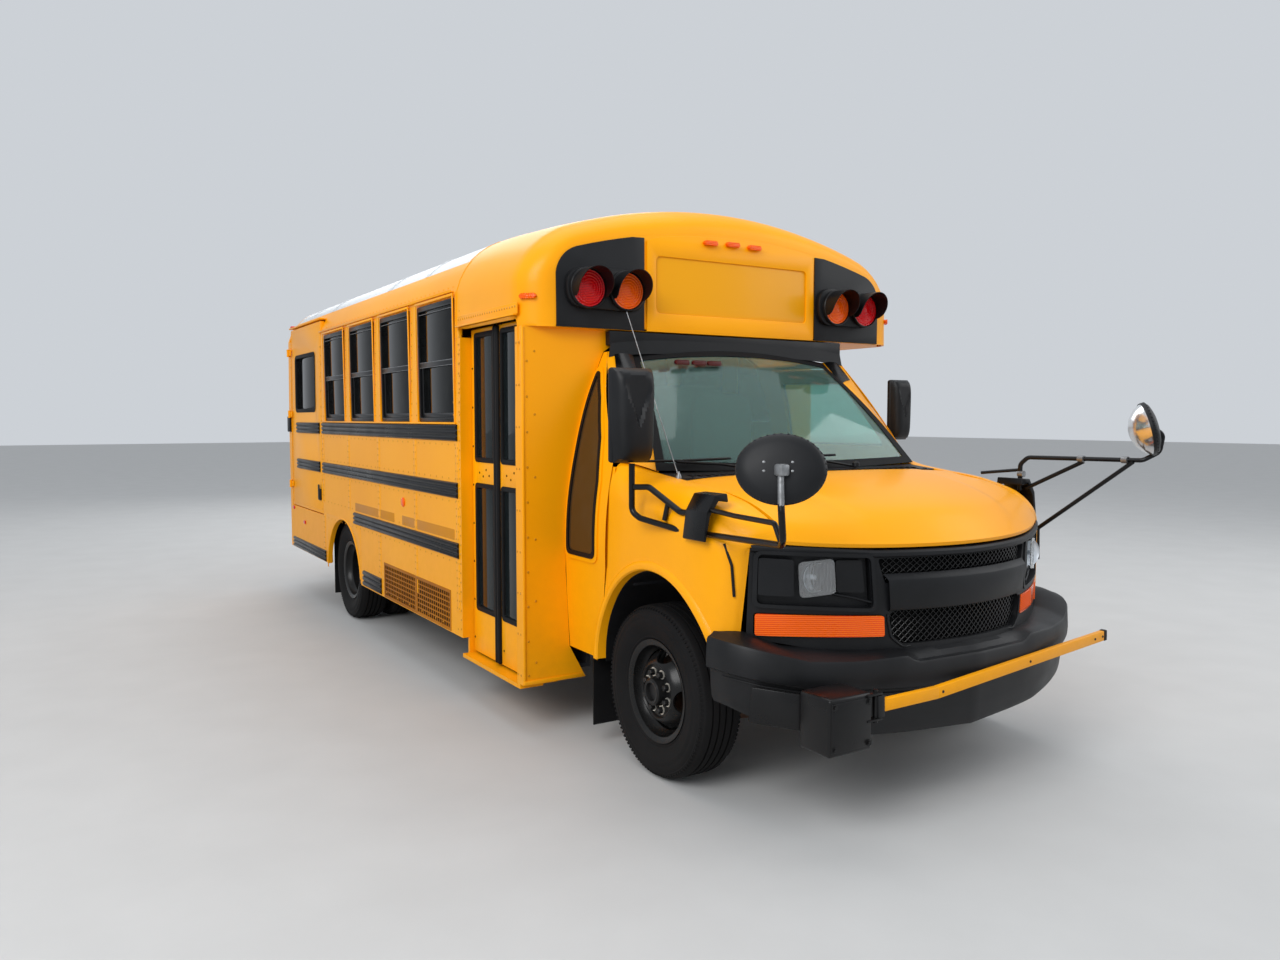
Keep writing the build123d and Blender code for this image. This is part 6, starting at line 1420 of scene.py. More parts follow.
def wheels():
    """All six wheels."""
    for side, word in ((1, "left"), (-1, "right")):
        dress(tyre(side * FRONT_X), TYRE, "front_wheel_" + word,
              ("tyre_front_" + word,)).name = "front_tyre_" + word
        disc = hand_holed("front_disc", [(0.000, 0.186), (0.012, 0.178), (0.036, 0.160), (0.066, 0.136),
                                         (0.078, 0.124), (0.081, 0.117), (0.076, 0.112), (0.070, 0.110),
                                         (0.070, 0.050)], 4, 0.12, 0.126, 0.176, 0.050)
        hub = turned("front_hub", [(0.060, 0.066), (0.078, 0.064), (0.106, 0.058), (0.112, 0.050), (0.110, 0.040),
                                   (0.096, 0.036), (0.094, 0.0)], (0, 0, 0), "X", 48)
        nuts, washers = wheel_nuts(0.072, 1)
        wheel = joined("front_wheel_" + word, rim_of(0), disc, hub, nuts)
        dress(placed_wheel(wheel, side, FRONT_X, 0), WHEEL_BLACK, "front_wheel_" + word,
              ("wheel_front_" + word,))
        washers.name = "front_washers_" + word
        dress(placed_wheel(washers, side, FRONT_X, 0), WORN_STEEL, "front_wheel_" + word)
        outer, inner = tyre(side * REAR_OUTER_X), tyre(side * REAR_INNER_X)
        pair = joined("rear_tyres_" + word, outer, inner)
        pair.data.transform(Matrix.Translation((0, REAR_AXLE_Y, 0)))
        dress(pair, TYRE, "rear_wheels_" + word, ("tyres_rear_" + word,))
        pieces = []
        for x, turn in ((0, 1), (REAR_OUTER_X - REAR_INNER_X, -1)):
            disc = hand_holed("rear_disc", [(x + turn * 0.063, 0.190), (x + turn * 0.070, 0.176),
                                            (x + turn * 0.090, 0.150), (x + turn * 0.112, 0.128),
                                            (x + turn * 0.122, 0.112), (x + turn * 0.124, 0.055)], 4, 0.5, 0.126,
                              0.176, 0.050)
            pieces += [rim_of(x), disc]
        hub = turned("rear_hub", [(0.120, 0.075), (0.150, 0.072), (0.215, 0.068), (0.262, 0.064), (0.270, 0.056),
                                  (0.270, 0.0)], (0, 0, 0), "X", 48)
        nuts, washers = wheel_nuts(0.136, 1)
        wheel = joined("rear_wheels_" + word, *pieces, hub, nuts, washers)
        dress(placed_wheel(wheel, side, REAR_INNER_X, REAR_AXLE_Y), WHEEL_BLACK, "rear_wheels_" + word,
              ("wheels_rear_" + word,))


wheels()


# Passenger body: roof, windows, guard rails, seams and fittings

BELT = 1.520
WALL_LEAN = 0.0099
WINDOWS = {-1: (1.919, 2.671, 3.423, 4.175), 1: (1.919, 2.671, 3.423, 4.175, 4.927)}
SEAMS = {-1: (1.590, 2.295, 3.047, 3.799, 4.560), 1: (1.590, 2.295, 3.047, 3.799, 4.551, 5.300)}
SIDE_WORD = {-1: "right", 1: "left"}


def wall_x(z):
    """Half width of the body's side at a height."""
    return BODY_HALF - 0.007 * max(z - BELT, 0) / 0.710


def on_wall(side, y=0.0, z=0.0, out=0.0):
    """Place on a side wall, lying in its plane."""
    place = facing("left" if side > 0 else "right", (side * (wall_x(z) + out), y, z))
    if z <= BELT:
        return place
    return place @ Matrix.Rotation(WALL_LEAN, 4, "X")


def roof_profile():
    """Half of the roof line from the eave over the shoulder to the crown."""
    side = arc((1.212, 2.230), (1.0993, 2.4264), (0.900, 2.534), 12)
    return side + arc((0.900, 2.534), (0.0, 2.700), (-0.900, 2.534), 24)[:13]


def roof():
    """White roof skin, yellow bands at its eaves, lapped seams with rivets, drip rails and the hatch opening."""
    line = roof_profile()
    split = min(index for index, (x, z) in enumerate(line) if z > 2.372)
    over = line[split:] + [(-x, z) for x, z in reversed(line[split:-1])]
    ends = (CAP_REAR_Y - 0.020, REAR_Y)
    ys = [ends[0] + (ends[1] - ends[0]) * t for t in shares(9)]
    white = skin("roof_skin", [[(x, y, z) for x, z in over] for y in ys], 0.026, True)
    x0, x1, y0, y1 = HATCH_BOX
    cutter = box("cutter", (x0 + 0.03, y0 + 0.03, 2.5), (x1 - 0.03, y1 - 0.03, 2.8), 0.01)
    finish(white, "BOOLEAN", object=cutter, operation="DIFFERENCE", solver="EXACT")
    bpy.data.objects.remove(cutter)
    seams, heads = [], []
    for y in (2.295, 3.047, 4.551, 5.300):
        grid = [[(x * 1.001, y + across, z + 0.0022) for x, z in over] for across in (-0.028, 0.028)]
        seams.append(skin("seam", grid, 0.003, True))
        for (x, z), (x2, z2) in zip(over, over[1:]):
            for across in (-0.018, 0.018):
                slope = math.atan2(z2 - z, x2 - x)
                heads.append(Matrix.Translation(((x + x2) / 2, y + across, (z + z2) / 2 + 0.003))
                             @ Matrix.Rotation(-slope + math.pi, 4, "Y"))
    dress(smooth(joined("roof_skin", white, *seams), 30), WHITE, "root", ("roof_shell",))
    rim = line[:-1] + [(-x, z) for x, z in reversed(line)]
    inner = [(x * 0.958, z - 0.040 if z > 2.25 else z) for x, z in rim]
    dress(panel("roof_end", [rim + inner[::-1]], facing("back", (0, REAR_Y + 0.0008, 0)), 0.006, 0.0008),
          YELLOW)
    dress(rivets("roof_rivets", heads, 0.007, 0.003), WHITE)
    for side in (1, -1):
        far = REAR_Y if side > 0 else 4.600
        points = [(side * x, z) for x, z in line[:split + 1]]
        band = skin("roof_band", [[(x, ends[0] + (far - ends[0]) * t, z) for x, z in points] for t in shares(9)],
                    0.026, side > 0)
        back = skin("roof_band", [[(x, far + (REAR_Y - far) * t, z) for x, z in points if z > 2.335]
                                  for t in shares(3)], 0.026, side > 0) if side < 0 else None
        drip = panel("drip", [[(0, 0), (0.017, 0.002), (0.019, 0.014), (0.016, 0.014), (0.013, 0.007), (0, 0.007)]],
                     Matrix.Translation((side * 1.212, 1.630, 2.228)) @ Matrix(((side, 0, 0, 0), (0, 0, -1, 0),
                                                                               (0, 1, 0, 0), (0, 0, 0, 1))),
                     far - 1.630, 0.0004)
        parts = [band, drip] + ([back] if back else [])
        if side < 0:
            parts.append(box("lift_drip", (-1.222, 4.585, 2.340), (-1.160, 5.720, 2.354), 0.005))
        parts.append(rivets("band_rivets", [on_wall(side, y, 2.262) @ Matrix.Translation((0, 0, -0.008))
                                            for y in [1.66 + 0.075 * i for i in range(int((far - 1.7) / 0.075))]]))
        dress(joined("roof_band_" + SIDE_WORD[side], *parts), YELLOW)


HATCH_BOX = (-0.325, 0.325, 3.375, 4.025)


def roof_hatch():
    """Escape hatch lid, domed with a rolled rim, with its hinge barrel and a vent."""
    x0, x1, y0, y1 = HATCH_BOX
    rows = []
    for v in shares(17):
        row = []
        for u in shares(17):
            edge = max(1 - abs(2 * u - 1) ** 6, 0) * max(1 - abs(2 * v - 1) ** 6, 0)
            row.append((x0 + (x1 - x0) * u, y0 + (y1 - y0) * v, 2.7035 + 0.0265 * edge ** 0.4))
        rows.append(row)
    lid = skin("hatch_lid", rows, 0.004)
    if lid.data.polygons[0].normal.z < 0:
        lid.data.flip_normals()
    barrel = tube("hatch_barrel", [(-0.225, 4.032, 2.716), (0.225, 4.032, 2.716)], 0.006)
    vent = turned("hatch_vent", [(0.0, 0.105), (0.012, 0.100), (0.017, 0.070), (0.018, 0.0)],
                  (0, 3.700, 2.7115), "Z", 32)
    dress(joined("hatch_lid", lid, barrel), WHITE, "roof_hatch", ("roof_hatch",))
    dress(vent, BLACK_PLASTIC, "roof_hatch")


def side_window(side, y):
    """One split sash window: black frame, middle rail, set-back lower sash and their bright edge strips."""
    half, low, high, mid = 0.2945, 1.521, 2.199, 1.854
    black = [panel("sash", [rectangle(-half, half, low - BELT, high - BELT, 0.02),
                            rectangle(-half + 0.022, half - 0.022, low + 0.024 - BELT, high - 0.030 - BELT, 0.012)],
                   on_wall(side, y, BELT + 0.0001, -0.004), 0.024)]
    black.append(panel("sash_rail",
                       [rectangle(-half + 0.012, half - 0.012, mid - 0.013 - BELT, mid + 0.013 - BELT, 0.004)],
                       on_wall(side, y, BELT + 0.0001, -0.007), 0.020))
    black.append(panel("lower_sash",
                       [rectangle(-half + 0.020, half - 0.020, low + 0.022 - BELT, mid - 0.010 - BELT, 0.008),
                        rectangle(-half + 0.050, half - 0.050, low + 0.052 - BELT, mid - 0.014 - BELT, 0.006)],
                       on_wall(side, y, BELT + 0.0001, -0.017), 0.012))
    bright = []
    for z, rise in ((mid + 0.013, 0.0035), (mid - 0.016, 0.0030), (high - 0.050, 0.0030)):
        bright.append(panel("sash_strip",
                            [rectangle(-half + 0.024, half - 0.024, z - BELT, z + rise - BELT, 0.001, 1)],
                            on_wall(side, y, BELT + 0.0001, -0.006 if z > 1.8 else -0.010), 0.006, 0.0005))
    glass = [panel("pane", [rectangle(-half + 0.021, half - 0.021, mid + 0.010 - BELT, high - 0.028 - BELT, 0.004)],
                   on_wall(side, y, BELT + 0.0001, -0.014), 0.004, 0.0004),
             panel("pane", [rectangle(-half + 0.049, half - 0.049, low + 0.050 - BELT, mid - 0.012 - BELT, 0.004)],
                   on_wall(side, y, BELT + 0.0001, -0.022), 0.004, 0.0004)]
    return black, bright, glass


def side_windows():
    """Sashes and dark panes of both sides."""
    black, bright, glass = [], [], []
    for side, places in WINDOWS.items():
        for y in places:
            for store, made in zip((black, bright, glass), side_window(side, y)):
                store += made
    dress(joined("window_sashes", *black), BLACK_ENAMEL, "root", ("window_frames",))
    dress(joined("sash_strips", *bright), STEEL)
    dress(joined("side_panes", *glass), DARK_TINT_AND_SHADE_GLASS)


def guard_rail(side, low, high, start, end):
    """Black guard rail rolled with three rounded ribs."""
    line = [(0.0, low)]
    step = (high - low) / 3
    for rib in range(3):
        base = low + rib * step
        line += [(0.0025, base + 0.002), (0.009, base + step * 0.16), (0.0118, base + step * 0.34),
                 (0.0118, base + step * 0.66), (0.009, base + step * 0.84), (0.0025, base + step - 0.002)]
    line.append((0.0, high))
    along = Matrix(((side, 0, 0, 0), (0, 0, -side, 0), (0, 1, 0, 0), (0, 0, 0, 1)))
    place = Matrix.Translation((side * BODY_HALF, start, 0)) @ along
    piece = drawn("rail", [line], extrude=(end - start) / 2, fill_mode="BOTH")
    piece.data.transform(place @ Matrix.Translation((0, 0, (start - end) / 2 * side)))
    return soften(closed_up(piece), 0.001, 1, 60)


REAR_ARCH_FRONT, REAR_ARCH_BACK, REAR_ARCH_TOP = 3.520, 4.480, 0.773
REAR_ARCH_Y, REAR_ARCH_Z = (REAR_ARCH_FRONT + REAR_ARCH_BACK) / 2, 0.300
SKIRT_Z = 0.345


def rear_arch(side):
    """Sheet that rounds the corners of the rear wheel opening, with its rolled lip."""
    half, rise = (REAR_ARCH_BACK - REAR_ARCH_FRONT) / 2, REAR_ARCH_TOP - 0.006 - REAR_ARCH_Z
    turns = [math.radians(180 * s) for s in shares(41)]
    bow = [(REAR_ARCH_Y + (half - 0.010) * math.cos(t), REAR_ARCH_Z + rise * math.sin(t)) for t in turns]
    outer = [(REAR_ARCH_FRONT - 0.004, SKIRT_Z), (REAR_ARCH_FRONT - 0.004, REAR_ARCH_TOP + 0.004),
             (REAR_ARCH_BACK + 0.004, REAR_ARCH_TOP + 0.004), (REAR_ARCH_BACK + 0.004, SKIRT_Z)]
    bow = [point for point in bow if point[1] > SKIRT_Z]
    filler = panel("arch_filler", [outer + [(bow[0][0], SKIRT_Z)] + bow + [(bow[-1][0], SKIRT_Z)]],
                   on_wall(side, 0, 0, 0.0008), 0.004, 0.0004)
    rows = [[(side * (BODY_HALF + out), REAR_ARCH_Y + (y - REAR_ARCH_Y) * grow, REAR_ARCH_Z
              + (z - REAR_ARCH_Z) * grow) for out, grow in ((-0.030, 0.995), (0.002, 0.998), (0.006, 1.008),
                                                               (0.004, 1.020), (0.0, 1.026))] for y, z in bow]
    return joined("rear_arch", filler, skin("arch_lip", rows, 0.0015, flip=side < 0))


RAILS = ((-1, 1.415, 1.508, 1.580, 4.564), (-1, 1.100, 1.188, 1.580, 4.564), (-1, 0.766, 0.854, 1.576, 3.668),
         (-1, 0.343, 0.454, 3.020, 3.450), (-1, 0.377, 0.470, 4.520, 5.690), (1, 1.415, 1.508, 2.100, 5.690),
         (1, 1.100, 1.188, 2.100, 5.690), (1, 0.766, 0.854, 1.576, 5.690), (1, 0.377, 0.470, 4.520, 5.690))


def side_details():
    """Guard rails, pillar beads, belt moulding, panel seams and rivets of both sides."""
    dress(joined("guard_rails", *[guard_rail(*row) for row in RAILS]), RAIL_BLACK, "root",
          ("rub_rails",))
    for side in (-1, 1):
        beads, heads = [rear_arch(side)], []
        end = 4.560 if side < 0 else 5.700
        for y in WINDOWS[side]:
            for edge in (-0.305, 0.305):
                beads.append(panel("bead", [rectangle(edge - 0.007, edge + 0.007, 0.0, 0.690, 0.002, 1)],
                                   on_wall(side, y, BELT + 0.0001, 0.0045), 0.006))
            beads.append(panel("bead", [rectangle(-0.312, 0.312, 0.688, 0.702, 0.002, 1)],
                               on_wall(side, y, BELT + 0.0001, 0.0055), 0.007))
        beads.append(box("belt", (side * (BODY_HALF - 0.002), 1.600, 1.509),
                         (side * (BODY_HALF + 0.008), end, 1.5195), 0.003))
        for y in SEAMS[side]:
            over_arch = REAR_ARCH_FRONT < y < REAR_ARCH_BACK
            for low, high in ((0.470, 0.764), (0.856, 1.098), (1.190, 1.413))[1 if over_arch else 0:]:
                beads.append(panel("lap", [rectangle(-0.026, 0.026, low, high, 0.002, 1)],
                                   on_wall(side, y, 0, 0.0016), 0.003))
                heads += [on_wall(side, y + across, z, 0.0014) for across in (-0.015, 0.015)
                          for z in [low + 0.02 + 0.042 * i for i in range(int((high - low - 0.02) / 0.042) + 1)]]
            heads += [on_wall(side, y + across, z, 0.0005) for across in (-0.045, 0.045)
                      for z in [1.56 + 0.07 * i for i in range(9)]]
        for z in (0.745, 0.875, 1.080, 1.208, 1.396):
            first = 1.620 if side < 0 else 2.120
            heads += [on_wall(side, y, z, 0.0002) for y in [first + 0.10 * i
                                                            for i in range(int((end - first) / 0.10))]]
        heads += [on_wall(side, y, 0.372 if y < 3.4 else 0.50, 0.0002) for y in [1.60 + 0.12 * i for i in range(15)]]
        dress(joined("side_beads_" + SIDE_WORD[side], *beads), YELLOW)
        dress(rivets("side_rivets_" + SIDE_WORD[side], heads, 0.0058, 0.0022), RIVET_YELLOW)


def skirt_grilles():
    """Two perforated panels over the condenser in the right skirt, with a near-black brown sheet behind them: partly
    rust, partly painted shade of the cavity.
    """
    bars, back = [], []
    for y0, y1 in ((1.724, 2.285), (2.320, 2.940)):
        back.append(panel("grille_back", [rectangle(y0, y1, 0.353, 0.559, 0.002)], on_wall(-1, 0, 0, -0.0035),
                          0.002, 0.0004))
        columns, rows = int((y1 - y0) / 0.034), 7
        pitch, rise = (y1 - y0) / columns, 0.206 / rows
        for column in range(columns + 1):
            y = y0 + pitch * column
            bars.append(panel("bar", [rectangle(y - 0.0035, y + 0.0035, 0.352, 0.560, 0.001, 1)],
                              on_wall(-1, 0, 0, 0.0005), 0.004, 0.0006))
        for row in range(rows + 1):
            z = 0.353 + rise * row
            bars.append(panel("bar", [rectangle(y0, y1, z - 0.0040, z + 0.0040, 0.001, 1)], on_wall(-1, 0, 0, 0.0008),
                              0.004, 0.0006))
        frame = [rectangle(y0 - 0.016, y1 + 0.016, 0.340, 0.574, 0.004),
                 rectangle(y0 + 0.004, y1 - 0.004, 0.357, 0.555, 0.002)]
        bars.append(panel("frame", frame, on_wall(-1, 0, 0, 0.003), 0.004))
    dress(joined("skirt_grilles", *bars), RUSTED_YELLOW)
    # The backing sheet paints the shade inside the skirt behind the holes, in a rust brown.
    dress(joined("skirt_grille_shade_backs", *back), RUST_AND_PAINTED_SHADE)


def side_fittings():
    """Reflectors of both sides, latches, buffer, fuel flap and the faded tape over the lower rail."""
    amber = [closed_up(turned("reflector", [(0, 0.030), (0.005, 0.030), (0.009, 0.024), (0.010, 0.0)], (0, 0, 0),
                              on_wall(side, 2.530, 1.012) @ Matrix.Rotation(math.radians(-90), 4, "Y"), 24))
             for side in (-1, 1)]
    red = [box("reflector", (side * 1.2185, y, z), (side * 1.227, y + 0.06, z + 0.028), 0.003)
           for side in (-1, 1) for y, z in ((5.225, 0.620), (5.640, 0.720))]
    black = [box("latch", (-1.236, 4.640, 0.870), (-1.217, 4.700, 0.965), 0.008, 3),
             box("latch_arm", (-1.240, 4.655, 0.880), (-1.230, 4.685, 1.000), 0.004),
             box("rear_buffer", (-1.2385, 5.705, 1.420), (-1.2185, 5.795, 1.560), 0.006),
             box("fuel_flap_hinge", (1.2185, 4.700, 0.700), (1.224, 4.715, 0.960), 0.002)]
    flap = panel("fuel_flap", [rectangle(4.720, 4.960, 0.560, 0.740, 0.02)], on_wall(1, 0, 0, 0.004), 0.005)
    latch = box("flap_latch", (1.222, 4.740, 0.640), (1.229, 4.760, 0.665), 0.002)
    patches = [panel("patch", [rectangle(y0, y1, 0.866, 0.925, 0.006)], on_wall(-1, 0, 0, 0.0008), 0.0012, 0.0003)
               for y0, y1 in ((2.720, 3.640), (1.640, 2.560))]
    dress(joined("amber_reflectors", *amber), AMBER)
    dress(joined("red_reflectors", *red), RED)
    dress(joined("side_latches", *black, latch), BLACK_PLASTIC)
    dress(flap, YELLOW).name = "fuel_flap"
    dress(joined("side_patches", *patches), TAPE)


roof()
roof_hatch()
side_windows()
side_details()
skirt_grilles()
side_fittings()


# Entry door, lift door, rear end, stop arm and the inside

def entry_leaf(front):
    """One leaf of the entry door: painted frame, thick black gaskets, two panes, half of the centre seal."""
    y0, y1 = (0.8340, 1.1690) if front else (1.1860, 1.5295)
    near, far = (0.050, 0.034) if front else (0.034, 0.050)
    holes = [(y0 + near, y1 - far, 1.312, 1.992), (y0 + near, y1 - far, 0.502, 1.188)]
    place = facing("right", (-1.154, 0, 0))
    frame = panel("leaf_frame", [rectangle(y0, y1, 0.262, 2.018, 0.006)]
                  + [rectangle(*hole, 0.022) for hole in holes], place, 0.032, 0.003)
    gaskets, panes = [], []
    for a, b, c, d in holes:
        gap = 0.030 if front else 0.026
        gaskets.append(panel("gasket", [rectangle(a - 0.006, b + 0.006, c - 0.006, d + 0.006, 0.026),
                                        rectangle(a + gap, b - 0.020, c + 0.020, d - 0.020, 0.012)],
                             facing("right", (-1.159, 0, 0)), 0.030, 0.004))
        panes.append(panel("door_pane", [rectangle(a + 0.004, b - 0.004, c + 0.004, d - 0.004, 0.01)],
                           facing("right", (-1.148, 0, 0)), 0.005, 0.0005))
    edge = (1.1490, 1.1770) if front else (1.1780, 1.2060)
    gaskets.append(box("seal", (-1.172, edge[0], 0.264), (-1.128, edge[1], 2.016), 0.010, 3))
    sweep = box("sweep", (-1.150, y0 + 0.01, 0.258), (-1.135, y1 - 0.01, 0.275), 0.003)
    heads = [facing("right", (-1.1540, y, z)) for y in (y0 + 0.016, y1 - 0.046 if front else y1 - 0.016)
             for z in [0.34 + 0.21 * i for i in range(9)]]
    heads += [facing("right", (-1.1540, (y0 + y1) / 2 + across, z)) for across, z in
              ((-0.06, 1.238), (-0.02, 1.268), (0.02, 1.232), (0.07, 1.250))]
    return frame, joined("leaf_gaskets", *gaskets, sweep), joined("leaf_panes", *panes), heads


def entry_door():
    """Both leaves, the riveted lintel and the door's grab handle."""
    for front, word in ((True, "front"), (False, "rear")):
        frame, gaskets, panes, heads = entry_leaf(front)
        body = "entry_leaf_" + word
        dress(frame, YELLOW, body, ("entry_leaf_" + word,)).name = "entry_frame_" + word
        gaskets.name, panes.name = "entry_gaskets_" + word, "entry_panes_" + word
        dress(gaskets, RUBBER, body)
        dress(panes, DOOR_GLASS, body, ("entry_glass_" + word,))
        dress(rivets("entry_screws_" + word, heads, 0.0065, 0.003), RUST_AND_PAINTED_SHADE, body)
    lintel = panel("lintel", [rectangle(0.790, 1.560, 2.036, 2.092, 0.004)], facing("right", (-1.2205, 0, 0)), 0.006)
    lip = box("lintel_lip", (-1.236, 0.800, 2.030), (-1.214, 1.560, 2.040), 0.003)
    heads = [facing("right", (-1.2205, y, 2.072)) for y in [0.81 + 0.0305 * i for i in range(25)]]
    post = [facing("right", (-1.2188, y, z)) for y in (0.775, 0.806) for z in [0.30 + 0.20 * i for i in range(9)]]
    post += [facing("right", (-1.2192, 1.552, z)) for z in [0.38 + 0.052 * i for i in range(31)]]
    face = [facing("front", (-1.190, 0.7495, z)) for z in [0.30 + 0.168 * i for i in range(10)]]
    face += [facing("front", (-1.150, 0.7495, z)) for z in [0.36 + 0.30 * i for i in range(6)]]
    sill = box("sill_fold", (-1.217, 0.741, 0.256), (-0.900, 0.752, 0.276), 0.003)
    edge = box("corner_bead", (-1.2188, 0.7445, 0.262), (-1.204, 0.760, 1.975), 0.005, 3)
    dress(joined("entry_lintel", lintel, lip, sill, edge), YELLOW)
    dress(rivets("entry_rivets", heads + post + face, 0.0065, 0.0028), RIVET_YELLOW)
    grab = tube("grab_rail", [(-1.120, 0.880, 0.560), (-1.060, 0.860, 0.600), (-1.020, 0.860, 1.050),
                              (-1.100, 0.862, 1.090)], 0.012, 0.03)
    dress(grab, STEEL)


LIFT_FOOT = 0.761
LIFT_LEAN = -0.0046
LIFT_HINGE_Z = (0.950, 1.580, 2.130)


def on_lift_door(out):
    """Place in the lift door's leaning plane, at a distance from the middle of the bus at its foot."""
    return facing("right", (-out, 0, LIFT_FOOT)) @ Matrix.Rotation(LIFT_LEAN, 4, "X")


def lift_door():
    """Lift door skin with its gasketed window, pressed line, black guard rails, hinges and rivets."""
    window = rectangle(4.813, 5.530, 0.844, 1.324, 0.05)
    body = panel("lift_skin", [rectangle(4.601, 5.692, 0.001, 1.568, 0.01), window], on_lift_door(1.2188),
                 0.034, 0.003)
    barrels = [turned("barrel", [(-0.025, 0.0), (-0.025, 0.0115), (0.025, 0.0115), (0.025, 0.0)], (-1.238, 5.700, z),
                      "Z", 20) for z in LIFT_HINGE_Z]
    leaves = [box("hinge_leaf", (-1.232, 5.655, z - 0.025), (-1.2185, 5.695, z + 0.025), 0.002) for z in LIFT_HINGE_Z]
    gasket = panel("lift_gasket", [rectangle(4.801, 5.542, 0.832, 1.336, 0.06),
                                   rectangle(4.833, 5.510, 0.864, 1.304, 0.035)], on_lift_door(1.2225), 0.030, 0.004)
    pane_piece = panel("lift_pane", [rectangle(4.815, 5.528, 0.846, 1.322, 0.045)], on_lift_door(1.2080),
                       0.005, 0.0005)
    line = panel("lift_line", [rectangle(4.622, 5.672, 0.022, 1.546, 0.012),
                               rectangle(4.628, 5.666, 0.028, 1.540, 0.010)], on_lift_door(1.2200), 0.003, 0.0006)
    rails = [guard_rail(-1, 1.415, 1.508, 4.666, 5.475), guard_rail(-1, 1.100, 1.188, 4.666, 5.475)]
    heads = [facing("right", (-1.2190, y, z)) for y in (4.612, 5.684) for z in [0.80 + 0.12 * i for i in range(12)]]
    dress(joined("lift_door_skin", body, *barrels, *leaves, line), YELLOW, "lift_door", ("lift_door",))
    dress(joined("lift_door_rails", *rails), RAIL_BLACK, "lift_door")
    dress(gasket, RUBBER, "lift_door").name = "lift_door_gasket"
    dress(pane_piece, DARK_TINT_AND_SHADE_GLASS, "lift_door", ("lift_door_glass",)).name = "lift_door_pane"
    dress(rivets("lift_door_rivets", heads, 0.006, 0.0025), RIVET_YELLOW, "lift_door")


def rear_end():
    """Gaskets, panes, lamp rings, rivets, door handle, corner markers, bumper and the bare plate."""
    rubber, panes, heads, trims = [], [], [], []
    for side in (-1, 1):
        outline = rectangle(*sorted((side * 0.600, side * 1.080)), 1.540, 2.120, 0.04)
        inner = rectangle(*sorted((side * 0.622, side * 1.058)), 1.562, 2.098, 0.03)
        outer = rectangle(*sorted((side * 0.588, side * 1.092)), 1.528, 2.132, 0.05)
        rubber.append(panel("rear_gasket", [outer, inner], facing("back", (0, 5.805, 0)), 0.030, 0.004))
        panes.append(panel("rear_pane", [outline], facing("back", (0, 5.790, 0)), 0.005, 0.0005))
        for z in TAIL_LAMP_Z:
            trims.append(turned("lamp_ring", [(0.0, 0.100), (0.012, 0.099), (0.016, 0.092), (0.014, 0.086),
                                              (0.0, 0.086)], (side * TAIL_LAMP_X, REAR_Y, z), "Y", 40))
        heads += [facing("back", (side * 1.190, REAR_Y, z)) for z in [0.42 + 0.09 * i for i in range(20)]]
        heads += [facing("back", (side * 0.500, REAR_Y, z)) for z in [0.80 + 0.09 * i for i in range(16)]]
    dress(joined("rear_gaskets", *rubber), RUBBER)
    dress(joined("rear_panes", *panes), DARK_TINT_AND_SHADE_GLASS)
    dress(joined("rear_lamp_rings", *trims), BLACK_PLASTIC)
    dress(rivets("rear_rivets", heads, 0.006, 0.0025), RIVET_YELLOW)
    door_rubber = []
    for low, high in ((0.950, 1.350), (1.560, 2.120)):
        door_rubber.append(panel("door_gasket", [rectangle(-0.342, 0.342, low - 0.012, high + 0.012, 0.05),
                                                 rectangle(-0.308, 0.308, low + 0.022, high - 0.022, 0.03)],
                                 facing("back", (0, 5.806, 0)), 0.030, 0.004))
    handle = [box("handle_base", (0.330, 5.800, 1.400), (0.430, 5.812, 1.500), 0.005),
              tube("handle_grip", [(0.350, 5.812, 1.450), (0.350, 5.850, 1.450), (0.350, 5.850, 1.330)], 0.009, 0.01)]
    bumper = [box("bumper_face", (-1.148, 5.870, 0.435), (1.148, 5.898, 0.676), 0.012, 3),
              box("bumper_top", (-1.140, 5.822, 0.652), (1.140, 5.885, 0.672), 0.006),
              box("bumper_foot", (-1.140, 5.822, 0.438), (1.140, 5.885, 0.458), 0.006)]
    bumper.append(bolts("bumper_bolts", [(x, 5.898, z) for x in (-0.90, -0.45, 0.45, 0.90) for z in (0.500, 0.610)],
                        "back", 0.010, 0.0015))
    corner = box("corner_marker", (-1.212, 5.655, 2.353), (-1.165, 5.715, 2.372), 0.004)
    dress(both("corner_markers", corner), RED)
    dress(joined("rear_bumper", *bumper), BLACK_ENAMEL)
    plate = panel("plate_base", [rectangle(-0.935, -0.625, 0.740, 0.900, 0.012)],
                  facing("back", (0, 5.8045, 0)), 0.004)
    dress(plate, WHITE)
    dress(joined("rear_door_gaskets", *door_rubber, *handle), RUBBER, "rear_door")


def stop_arm():
    """Octagonal stop blade folded on the left side: red sheet with a white border, left bare, and its hinge."""
    angles = [math.radians(22.5 + 45 * step) for step in range(8)]
    edge = [(1.790 + 0.2430 * math.cos(a), 1.300 + 0.2430 * math.sin(a)) for a in angles]
    inner = [(1.790 + 0.2230 * math.cos(a), 1.300 + 0.2230 * math.sin(a)) for a in angles]
    blade = panel("stop_blade", [rounded(edge, 0.008, 2)], facing("left", (1.2425, 0, 0)), 0.009, 0.001)
    border = panel("stop_border", [rounded(edge, 0.008, 2), rounded(inner, 0.008, 2)], facing("left", (1.2435, 0, 0)),
                   0.002, 0.0003)
    barrel = [(-0.120, 0.0), (-0.120, 0.0118), (0.120, 0.0118), (0.120, 0.0)]
    hinge = [turned("stop_hinge", barrel, (1.238, 1.540, 1.300), "Z", 20),
             box("stop_plate", (1.2325, 1.545, 1.205), (1.2375, 1.630, 1.395), 0.003)]
    heads = bolts("stop_bolts", [(1.2425, 1.590, z) for z in (1.230, 1.370)], "left", 0.006, 0.003)
    dress(blade, RED_SIGN, "stop_arm", ("stop_arm",)).name = "stop_blade"
    dress(border, WHITE, "stop_arm").name = "stop_border"
    dress(joined("stop_hinge", *hinge, heads), BLACK_ENAMEL, "stop_arm")


